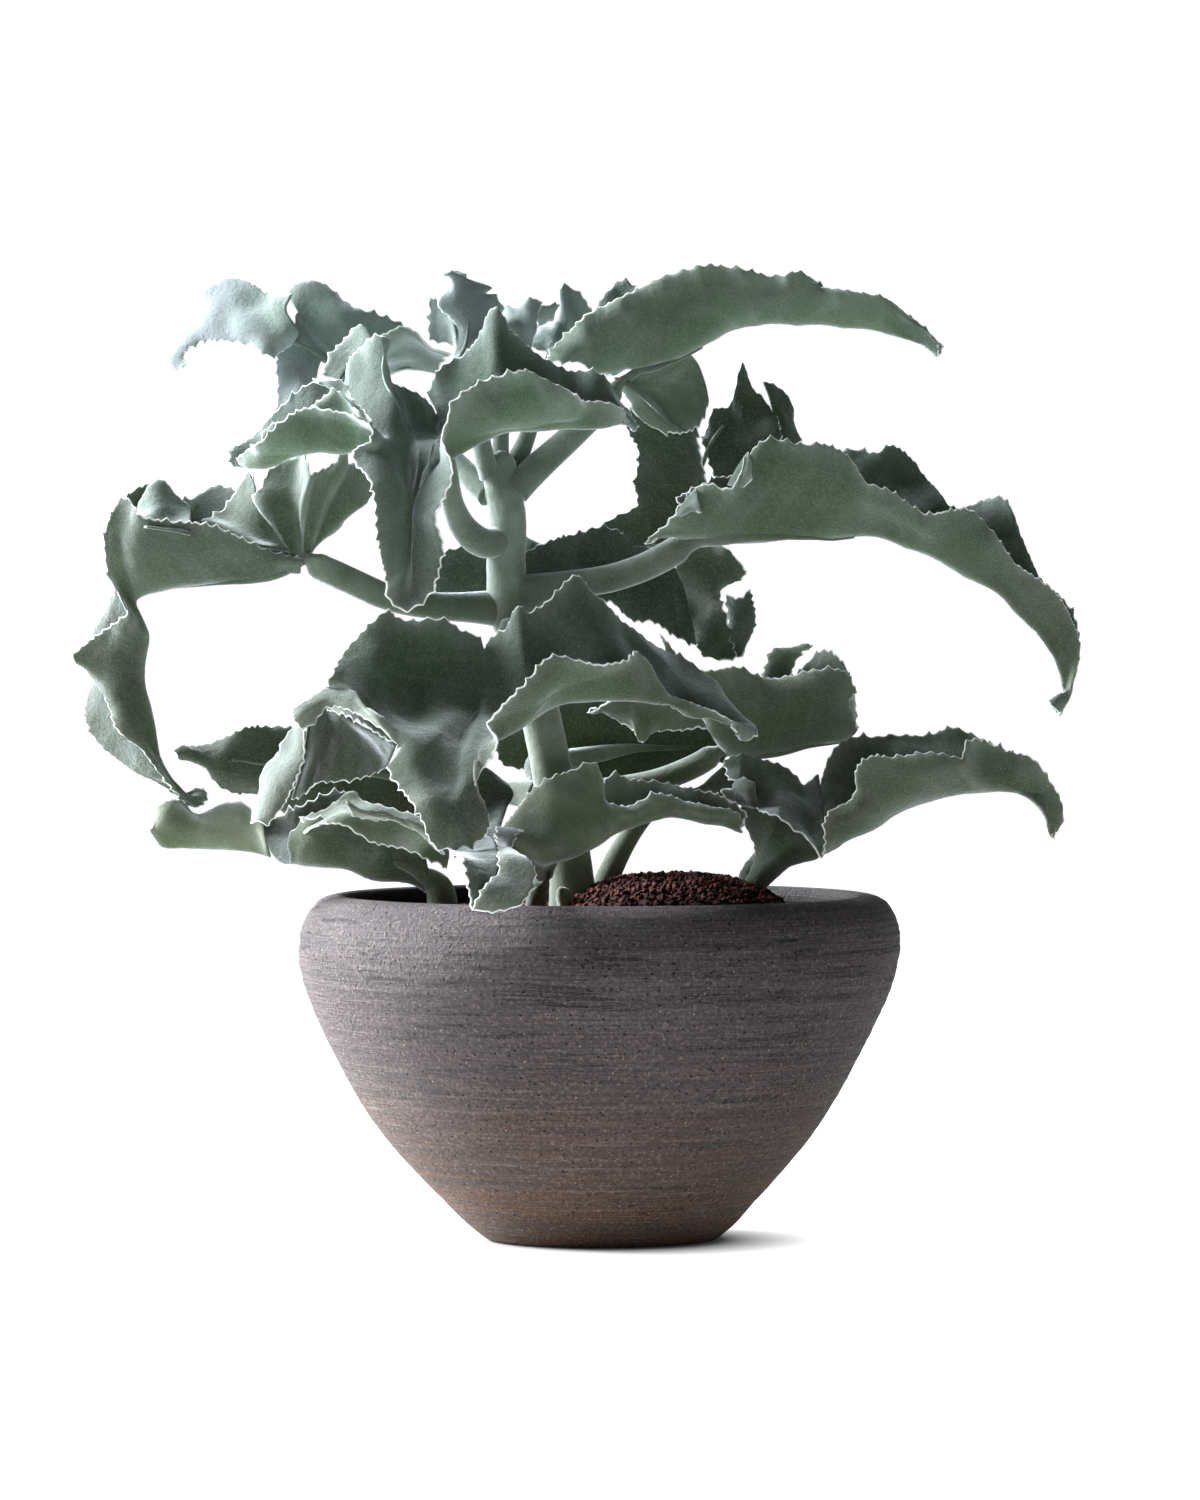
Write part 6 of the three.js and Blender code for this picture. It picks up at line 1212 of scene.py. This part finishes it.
class Nodes:
    """A material's node tree, built one node at a time."""

    def __init__(self, name, **constants):
        self.material = bpy.data.materials.new(name)
        self.material.use_nodes = True
        self.tree = self.material.node_tree
        self.shader = self.tree.nodes["Principled BSDF"]
        for socket, value in constants.items():
            self.shader.inputs[socket.replace("_", " ")].default_value = value
        self.place = self.node("ShaderNodeTexCoord").outputs["Object"]

    def node(self, kind, inputs=None, **settings):
        """A new node, with its inputs by number or name."""
        made = self.tree.nodes.new(kind)
        for setting, value in settings.items():
            setattr(made, setting, value)
        for socket, value in (inputs or {}).items():
            self.feed(made.inputs[socket], value)
        return made

    def feed(self, socket, value):
        """Links a node's output to a socket, or sets the socket to a value."""
        if isinstance(value, bpy.types.NodeSocket):
            self.tree.links.new(value, socket)
        else:
            socket.default_value = value

    def paint(self, name):
        """A value that the mesh's points carry."""
        return self.node("ShaderNodeAttribute", attribute_name=name).outputs["Fac"]

    def noise(self, scale, detail=2.0, place=None, roughness=0.5):
        """Cloudy noise, with its scale in features for each metre."""
        inputs = {"Vector": place or self.place, "Scale": scale}
        inputs.update({"Detail": detail, "Roughness": roughness})
        return self.node("ShaderNodeTexNoise", inputs).outputs["Fac"]

    def cells(self, scale, feature="F1", output="Distance"):
        """Cells, with their scale as for noise."""
        inputs = {"Vector": self.place, "Scale": scale}
        return self.node("ShaderNodeTexVoronoi", inputs, feature=feature).outputs[output]

    def stretched(self, x, y, z):
        """The place, with each direction scaled."""
        inputs = {"Vector": self.place, "Scale": (x, y, z)}
        return self.node("ShaderNodeMapping", inputs).outputs["Vector"]

    def length(self, vector):
        """The length of a vector."""
        return self.node("ShaderNodeVectorMath", {0: vector}, operation="LENGTH").outputs["Value"]

    def maths(self, operation, a, b=0.0, clamp=False):
        """Two values combined."""
        made = self.node("ShaderNodeMath", {0: a, 1: b}, operation=operation, use_clamp=clamp)
        return made.outputs[0]

    def scaled(self, value, low, high, low_out=0.0, high_out=1.0):
        """A value from low to high, taken to low_out to high_out and held there."""
        inputs = {0: value, 1: low, 2: high, 3: low_out, 4: high_out}
        return self.node("ShaderNodeMapRange", inputs).outputs[0]

    def mix(self, factor, a, b, blend="MIX"):
        """Colour a, with b over it by a factor."""
        made = self.node("ShaderNodeMix", data_type="RGBA", blend_type=blend)
        for socket, value in ((0, factor), (6, a), (7, b)):
            self.feed(made.inputs[socket], value)
        return made.outputs[2]

    def tinted(self, factor, colour, code):
        """A colour, multiplied by a tint by a factor."""
        return self.mix(factor, colour, self.mix(1.0, colour, linear(code), "MULTIPLY"))

    def specks(self, scale, core, edge, left_out):
        """Round specks in some of the cells, where left_out is the share that has none."""
        spot = self.scaled(self.cells(scale), core, edge, 1.0, 0.0)
        chosen = self.scaled(self.cells(scale, output="Color"), left_out, left_out + 0.04)
        return self.maths("MULTIPLY", spot, chosen)

    def total(self, *terms):
        """The sum of values, each with its own weight."""
        result = 0.0
        for value, weight in terms:
            weighted = self.maths("MULTIPLY", value, weight)
            result = weighted if result == 0.0 else self.maths("ADD", result, weighted)
        return result

    def height_up(self):
        """The height above the floor, in metres."""
        return self.node("ShaderNodeSeparateXYZ", {0: self.place}).outputs["Z"]

    def finish(self, colour, height, depth, roughness=None):
        """The material, with its colour, its relief of a depth in millimetres and its gloss."""
        relief = {"Height": height, "Distance": depth * MM, "Strength": 1.0}
        bump = self.node("ShaderNodeBump", relief)
        self.feed(self.shader.inputs["Base Color"], colour)
        self.feed(self.shader.inputs["Normal"], bump.outputs["Normal"])
        if roughness is not None:
            self.feed(self.shader.inputs["Roughness"], roughness)
        return self.material


def felt(name, upper, under, stalk, veins, pale):
    """Leaf felt: dark and pale shades of the upper and the under face, and of the stalk."""
    sheen = {"Sheen_Weight": 1.0, "Sheen_Roughness": 0.4, "Sheen_Tint": linear("e4eef4")}
    n = Nodes(name, Roughness=0.9, **sheen)
    n.shader.inputs["Specular IOR Level"].default_value = 0.15
    n.shader.inputs["Diffuse Roughness"].default_value = 0.8
    patches = n.noise(22, 3)
    mottle = n.noise(130, 3)
    hairs = n.noise(1500, 2)
    amount = n.total((n.scaled(patches, 0.3, 0.7), 0.75), (mottle, 0.3))
    amount = n.maths("SUBTRACT", amount, 0.1, clamp=True)
    upper_colour = n.mix(amount, linear(upper[0]), linear(upper[1]))
    under_colour = n.mix(amount, linear(under[0]), linear(under[1]))
    colour = n.mix(n.paint("under"), upper_colour, under_colour)
    fresh = n.scaled(n.noise(14, 2), 0.42, 0.66, 0.0, 0.6)
    colour = n.tinted(fresh, colour, "d9ffc8")
    net = n.scaled(n.cells(210, "DISTANCE_TO_EDGE"), 0.0, 0.12, 0.06, 0.0)
    colour = n.mix(net, colour, linear(veins))
    colour = n.mix(n.maths("MULTIPLY", n.paint("vein"), 0.16), colour, linear(veins))
    # Painted sheen: the pale colour goes on where the felt folds, and near the margins, where it is
    # partly the felt's own paleness and partly painted sheen.
    patchy = n.scaled(n.noise(70, 3), 0.3, 0.7, 0.2, 0.7)
    colour = n.mix(n.maths("MULTIPLY", n.paint("bloom"), patchy), colour, linear(pale))
    # Painted light and shade: each sheet's tone lightens or darkens its colour.
    painted_light_level = n.maths("ADD", n.paint("tone"), 1.0)
    colour = n.node("ShaderNodeHueSaturation", {"Value": painted_light_level, "Color": colour}).outputs[0]
    stalk_colour = n.mix(n.scaled(n.noise(60, 3), 0.35, 0.65), linear(stalk[0]), linear(stalk[1]))
    colour = n.mix(n.paint("stalk"), colour, stalk_colour)
    low_down = n.scaled(n.height_up(), 0.2, 0.42, 0.9, 0.0)
    colour = n.tinted(low_down, colour, "fff0dc")
    specks = n.scaled(hairs, 0.45, 0.7, 0.0, 0.14)
    colour = n.mix(specks, colour, linear("cfd8d2"))
    rim = n.maths("MULTIPLY", n.paint("rim"), n.scaled(n.noise(420, 2), 0.25, 0.5, 0.55, 1.0))
    colour = n.mix(rim, colour, linear("eaf0ec"))
    height = n.total((hairs, 0.6), (n.noise(380, 3), 0.8), (mottle, 1.2))
    material = n.finish(colour, height, 0.45)
    through = n.node("ShaderNodeBsdfTranslucent", {"Color": linear("86a06a")})
    shaders = {0: 0.1, 1: n.shader.outputs[0], 2: through.outputs[0]}
    both = n.node("ShaderNodeMixShader", shaders)
    n.feed(n.tree.nodes["Material Output"].inputs["Surface"], both.outputs[0])
    return material


def stoneware():
    """Dark unglazed stoneware with throwing lines, grit, a warm foot and painted shade inside the
    mouth.
    """
    n = Nodes("stoneware", Roughness=0.78)
    n.shader.inputs["Specular IOR Level"].default_value = 0.3
    height_up = n.height_up()
    lines = n.noise(9, 6, n.stretched(0.8, 0.8, 52), 0.68)
    fine_lines = n.noise(26, 5, n.stretched(0.6, 0.6, 34), 0.7)
    cloud = n.noise(11, 4)
    warm = n.scaled(n.total((height_up, 1.0), (cloud, 0.05)), 0.03, 0.115, 1.0, 0.0)
    body = n.mix(n.scaled(cloud, 0.3, 0.7), linear("3f3536"), linear("534748"))
    body = n.mix(warm, body, linear("5c412c"))
    body = n.mix(n.scaled(lines, 0.42, 0.6, 0.0, 0.75), body, linear("393435"))
    body = n.mix(n.scaled(fine_lines, 0.52, 0.72, 0.0, 0.6), body, linear("766c66"))
    near_top = n.scaled(n.total((height_up, 1.0), (cloud, 0.06)), 0.1, 0.19)
    broken = n.scaled(n.noise(30, 3, n.stretched(1.0, 1.0, 3.0)), 0.46, 0.54)
    scratch = n.scaled(n.noise(16, 5, n.stretched(1.0, 1.0, 22), 0.7), 0.56, 0.61)
    share = n.maths("MULTIPLY", broken, n.total((near_top, 0.9), (broken, 0.1)))
    scratch = n.maths("MULTIPLY", scratch, share)
    body = n.mix(n.maths("MULTIPLY", scratch, 0.9), body, linear("151213"))
    body = n.mix(n.maths("MULTIPLY", near_top, 0.5), body, linear("4a494f"))
    sand = n.noise(520, 3, None, 0.8)
    body = n.mix(n.scaled(sand, 0.5, 0.72, 0.0, 0.6), body, linear("1d1a1b"))
    body = n.mix(n.scaled(sand, 0.46, 0.3, 0.0, 0.55), body, linear("8b7d72"))
    dark = n.specks(430, 0.12, 0.34, left_out=0.7)
    body = n.mix(dark, body, linear("0f0d0e"))
    body = n.mix(n.specks(560, 0.1, 0.3, left_out=0.84), body, linear("b39f8a"))
    # Painted shade: the inside wall of the mouth, above the grit, is painted near black where shade
    # falls.
    from_axis = n.length(n.stretched(1, 1, 0))
    within = n.scaled(from_axis, (MOUTH_RADIUS - 1.5) * MM, (MOUTH_RADIUS + 2) * MM, 1.0, 0.0)
    inside = n.maths("MULTIPLY", within, n.scaled(height_up, 0.1, 0.12))
    body = n.mix(inside, body, linear("0c0c0e"))
    height = n.total((lines, 1.6), (fine_lines, 1.6), (sand, -2.4), (dark, -2.2), (scratch, -2.6))
    return n.finish(body, height, 0.9, n.scaled(n.noise(500, 2), 0.3, 0.7, 0.7, 0.92))


def lava():
    """Red lava grit, each granule in a shade of its own."""
    n = Nodes("lava_grit", Roughness=0.95)
    n.shader.inputs["Specular IOR Level"].default_value = 0.25
    colour = n.mix(n.paint("tone"), linear("2c1714"), linear("63372f"))
    colour = n.mix(n.scaled(n.noise(900, 3), 0.35, 0.7, 0.0, 0.5), colour, linear("2c1917"))
    return n.finish(colour, n.total((n.noise(1400, 4), 1.0), (n.noise(450, 3), 1.0)), 0.5)


# The bowl

def lattice(u, v, period, seed):
    """Smooth noise from 0 to 1 over two coordinates, repeating in the first."""
    i, j = np.floor(u), np.floor(v)
    s, t = smoothstep(0, 1, u - i), smoothstep(0, 1, v - j)

    def corner(a, b):
        return random_at(np.mod(a, period) + 57.0 * b, seed)

    low = (1 - s) * corner(i, j) + s * corner(i + 1, j)
    high = (1 - s) * corner(i, j + 1) + s * corner(i + 1, j + 1)
    return (1 - t) * low + t * high


# The bowl's outline as radius and height, from under the foot up the outside, over the lip
# and down the inside to its floor.
POT_PROFILE = [
    (0, 0), (30, 0), (52, 0), (57, 0.4), (FOOT_RADIUS, 1.6), (61.5, 3.6), (66.8, 8), (79, 20.8),
    (90, 32.6), (100.3, 44.5), (110, 57), (118.5, 70), (126, 83), (133, 96), (139.5, 109),
    (145.2, 121.5), (149.3, 134), (BELLY_RADIUS, BELLY_HEIGHT), (149.6, 157.5), (146, 165.5),
    (141, 170.6), (136, 172.6), (MOUTH_RADIUS, RIM_HEIGHT), (129, 172.3), (127.6, 170), (128.6, 166),
    (133, 162.5), (138, 159), (142.5, 148), (140.5, 134), (130, 107), (109, 70), (90, 44),
    (50, FLOOR_THICKNESS), (25, FLOOR_THICKNESS), (0, FLOOR_THICKNESS),
]


def lean(points):
    """The points moved sideways with the bowl's belly."""
    height = points[..., 2]
    points[..., 0] += LEAN_LINEAR * height + LEAN_SQUARE * height**2
    return points


def build_pot(material):
    """The bowl, with throwing grooves cut into its outside."""
    profile = refined(np.array([(r, z, 0.0) for r, z in POT_PROFILE]), POT_STEP)
    radius, height = np.maximum(profile[:, 0], 0.0), profile[:, 1]
    turn = np.arange(POT_SIDES) / POT_SIDES
    u, v = np.meshgrid(turn, height)
    groove = np.zeros(u.shape)
    for k, (around, tall, strength) in enumerate(GROOVES):
        groove += strength * (lattice(u * around, v / tall, around, SEED + k) - 0.5)
    rough = lattice(u * 12, v / 30, 12, SEED + 3)
    top = smoothstep(95, 150, v)
    outside = np.arange(len(radius)) < np.argmax(height)
    keep = smoothstep(2, 12, v) * np.where(outside, 1.0, 0.35)[:, None]
    depth = groove * (0.35 + 0.5 * top) * (0.5 + rough) * keep
    wobble = 0.5 * np.sin(2 * math.pi * (2 * u + v / 190)) * smoothstep(5, 60, v)
    out = radius[:, None] + (depth + wobble) * smoothstep(20, 40, radius)[:, None]
    points = np.stack([out * np.cos(2 * math.pi * u), out * np.sin(2 * math.pi * u), v], -1)
    points = lean(points).reshape(-1, 3)
    faces = grid_faces(len(radius), POT_SIDES, wrapped=True)
    return build_mesh("stoneware_bowl", points, faces, {}, material)


# The grit

def grit_height(x, y):
    """The height of the heaped grit at a place in the bowl."""
    away = ((x - MOUND_CENTRE) / MOUND_HALF_WIDTH) ** 2 + (y / MOUND_HALF_DEPTH) ** 2
    rise = (GRIT_PEAK_HEIGHT - GRIT_EDGE_HEIGHT) * np.maximum(0, 1 - away**1.5)
    return GRIT_EDGE_HEIGHT + rise


def icosahedron():
    """The corners and faces of a solid with twenty faces."""
    g = (1 + 5**0.5) / 2
    corners = [(-1, g, 0), (1, g, 0), (-1, -g, 0), (1, -g, 0), (0, -1, g), (0, 1, g)]
    corners += [(0, -1, -g), (0, 1, -g), (g, 0, -1), (g, 0, 1), (-g, 0, -1), (-g, 0, 1)]
    faces = [(0, 11, 5), (0, 5, 1), (0, 1, 7), (0, 7, 10), (0, 10, 11), (1, 5, 9), (5, 11, 4)]
    faces += [(11, 10, 2), (10, 7, 6), (7, 1, 8), (3, 9, 4), (3, 4, 2), (3, 2, 6), (3, 6, 8)]
    faces += [(3, 8, 9), (4, 9, 5), (2, 4, 11), (6, 2, 10), (8, 6, 7), (9, 8, 1)]
    return unit(np.array(corners, float)), np.array(faces)


def build_grit(material):
    """The fill, with its granules heaped over it."""
    chance = np.random.default_rng(SEED)
    corners, faces = icosahedron()
    reach = GRIT_RADIUS * np.sqrt((np.arange(GRAIN_COUNT) + 0.5) / GRAIN_COUNT)
    turn = np.arange(GRAIN_COUNT) * math.pi * (3 - 5**0.5)
    x = reach * np.cos(turn) + chance.normal(0, GRAIN_JITTER, GRAIN_COUNT)
    y = reach * np.sin(turn) + chance.normal(0, GRAIN_JITTER, GRAIN_COUNT)
    size = GRAIN_SIZE / 2 * chance.uniform(0.65, 1.25, GRAIN_COUNT)
    height = grit_height(x, y) - GRAIN_SINK + chance.uniform(-0.7, 0.9, GRAIN_COUNT)
    middle = np.stack([x, y, height], -1)
    stretch = chance.uniform(0.85, 1.15, (GRAIN_COUNT, 1, 3))
    knocks = chance.uniform(0.72, 1.22, (GRAIN_COUNT, len(corners), 1))
    spin = unit(chance.normal(size=(GRAIN_COUNT, 3, 3)))
    third = unit(np.cross(spin[:, 0], spin[:, 1]))
    second = np.cross(third, spin[:, 0])
    axes = np.stack([spin[:, 0], second, third], 1)
    grains = np.einsum("nkc,ncd->nkd", corners * knocks * stretch, axes) * size[:, None, None]
    grains = lean(grains + middle[:, None])
    first = np.arange(GRAIN_COUNT)[:, None, None] * len(corners)
    grain_faces = (faces[None] + first).reshape(-1, 3).tolist()
    shade = np.repeat(chance.uniform(0, 1, GRAIN_COUNT), len(corners))
    rings = np.linspace(0, GRIT_RADIUS, 60)
    turns = np.linspace(0, 2 * math.pi, 120, endpoint=False)
    ring, angle = np.meshgrid(rings, turns, indexing="ij")
    x, y = ring * np.cos(angle), ring * np.sin(angle)
    bed = lean(np.stack([x, y, grit_height(x, y) - BED_DEPTH], -1)).reshape(-1, 3)
    bed_faces = grid_faces(len(rings), len(turns), first=GRAIN_COUNT * len(corners), wrapped=True)
    points = np.concatenate([grains.reshape(-1, 3), bed])
    paints = {"tone": np.concatenate([shade, np.full(len(bed), 0.1)])}
    return build_mesh("lava_granules", points, grain_faces + bed_faces, paints, material, False)


# The stem

def build_stem(material):
    """The stem, ringed with leaf scars."""
    centres, radii = stalk_path(STEM, [], STEM_STEP)
    height = centres[:, 2]
    scars = np.zeros(len(height))
    for level in SCAR_LEVELS:
        scars += np.exp(-(((height - level) / SCAR_WIDTH) ** 2))
    radii = radii + 0.15 * scars + 0.25 * wander(height / 11, SEED)
    shape = Shape()
    add_tube(shape, centres, radii, sides=40, stalk=1.0, bloom=0.4 * np.clip(scars, 0, 1))
    return shape.mesh("felted_stem", material)


def build_bud(material):
    """The side bud at the stem's foot."""
    centres, radii = stalk_path(BUD, [], BUD_STEP)
    radii = radii + 0.2 * wander(centres[:, 2] / 1.5, SEED)
    shape = Shape()
    add_tube(shape, centres, radii, sides=24, stalk=1.0)
    return shape.mesh("foot_bud", material)


# Putting the pieces in place

def install(piece, node):
    """The piece takes the place of a CAD node."""
    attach(piece, "root")
    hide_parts(node)


UPPER_SHADES = ("28382f", "4a5d54")
UNDER_SHADES = ("364734", "5a6c5b")
LEAF_STALK_SHADES = ("566659", "6f7e74")
STEM_SHADES = ("65756a", "82938a")
VEIN_SHADE = "7a8a7c"
# The pale felt colour, also painted on the folds as a sheen highlight.
PALE_AND_SHEEN_SHADE = "a2b1ae"
LEAF_FELT = felt("leaf_felt", UPPER_SHADES, UNDER_SHADES, LEAF_STALK_SHADES, VEIN_SHADE, PALE_AND_SHEEN_SHADE)
STEM_FELT = felt("stem_felt", UPPER_SHADES, UNDER_SHADES, STEM_SHADES, VEIN_SHADE, PALE_AND_SHEEN_SHADE)
YOUNG_AND_LIT_FELT = felt(
    "young_leaf_felt", upper=("566568", "808d91"), under=("52605c", "748280"),
    stalk=("5c6b62", "7a8780"), veins="8a9692", pale="bac4c6",
)

for index, (node, leaf) in enumerate(LEAVES.items()):
    # The young top leaves are paler. leaf_upper_left gets the same paler felt as a painted highlight,
    # where the key light falls on it.
    paler_felt = node.startswith("leaf_top") or node == "leaf_upper_left"
    finish = YOUNG_AND_LIT_FELT if paler_felt else LEAF_FELT
    step = LEAF_STEP
    piece = build_leaf(node.replace("leaf", "felt_leaf"), leaf, finish, step, SEED + 7 * index)
    install(piece, node)

install(build_pot(stoneware()), "pot")
install(build_grit(lava()), "lava_grit")
install(build_stem(STEM_FELT), "stem")
install(build_bud(STEM_FELT), "basal_bud")


# Floor, light and camera

def build_floor():
    """A plain pale floor that glows evenly, with a painted shadow round the bowl's foot, where the glow
    fades almost to nothing.
    """
    n = Nodes("floor_paper", Roughness=0.9)
    grain = n.noise(3, 2)
    colour = n.mix(grain, linear("929292"), linear("969696"))
    n.shader.inputs["Emission Color"].default_value = (1, 1, 1, 1)
    # Painted shadow: the glow dims towards the bowl's foot.
    from_foot = n.length(n.place)
    glow = n.scaled(from_foot, PAINTED_SHADOW_INNER * MM, PAINTED_SHADOW_OUTER * MM, PAINTED_SHADOW_GLOW, 1.0)
    n.feed(n.shader.inputs["Emission Strength"], glow)
    material = n.finish(colour, n.noise(400, 2), 0.05)
    corners = [(-1, -1, 0), (1, -1, 0), (1, 1, 0), (-1, 1, 0)]
    points = np.array(corners) * FLOOR_HALF_SIZE
    return build_mesh("floor", points, [[0, 1, 2, 3]], {}, material)


def area_light(name, place_at, aim, width, height, power, tint):
    """A soft light, aimed at a point."""
    data = bpy.data.lights.new(name, "AREA")
    data.shape = "RECTANGLE"
    data.size, data.size_y, data.energy, data.color = width, height, power, tint
    light = bpy.data.objects.new(name, data)
    light.location = place_at
    light.rotation_euler = (Vector(aim) - Vector(place_at)).to_track_quat("-Z", "Y").to_euler()
    bpy.context.scene.collection.objects.link(light)


def white_world(lighting, shown):
    """A white surround that shows brighter than it lights."""
    world = bpy.data.worlds.new("studio")
    bpy.context.scene.world = world
    world.use_nodes = True
    nodes, links = world.node_tree.nodes, world.node_tree.links
    background = nodes["Background"]
    background.inputs["Color"].default_value = (1, 1, 1, 1)
    seen = nodes.new("ShaderNodeLightPath").outputs["Is Camera Ray"]
    strength = nodes.new("ShaderNodeMapRange")
    links.new(seen, strength.inputs[0])
    strength.inputs[3].default_value = lighting
    strength.inputs[4].default_value = shown
    links.new(strength.outputs[0], background.inputs["Strength"])


build_floor()
white_world(WORLD_LIGHT, WORLD_SHOWN)
area_light(
    "key", (-2.0, 0.6, 1.3), aim=(0, 0, 0.25), width=1.0, height=1.8, power=560,
    tint=(0.96, 0.98, 1),
)
area_light(
    "back", (-0.8, 1.9, 1.9), aim=(0, 0, 0.35), width=1.4, height=1.4, power=25,
    tint=(0.93, 0.97, 1),
)

camera_data = bpy.data.cameras.new("camera")
camera_data.lens = CAMERA_LENS
camera_data.sensor_width = CAMERA_SENSOR
camera_data.clip_end = 100
camera = bpy.data.objects.new("camera", camera_data)
camera.location = (CAMERA_SIDEWAYS * MM, -VIEW_DISTANCE * MM, EYE_HEIGHT * MM)
camera.rotation_euler = (math.pi / 2 - CAMERA_PITCH, 0, 0)
bpy.context.scene.collection.objects.link(camera)
bpy.context.scene.camera = camera
bpy.context.scene.view_settings.view_transform = "Standard"
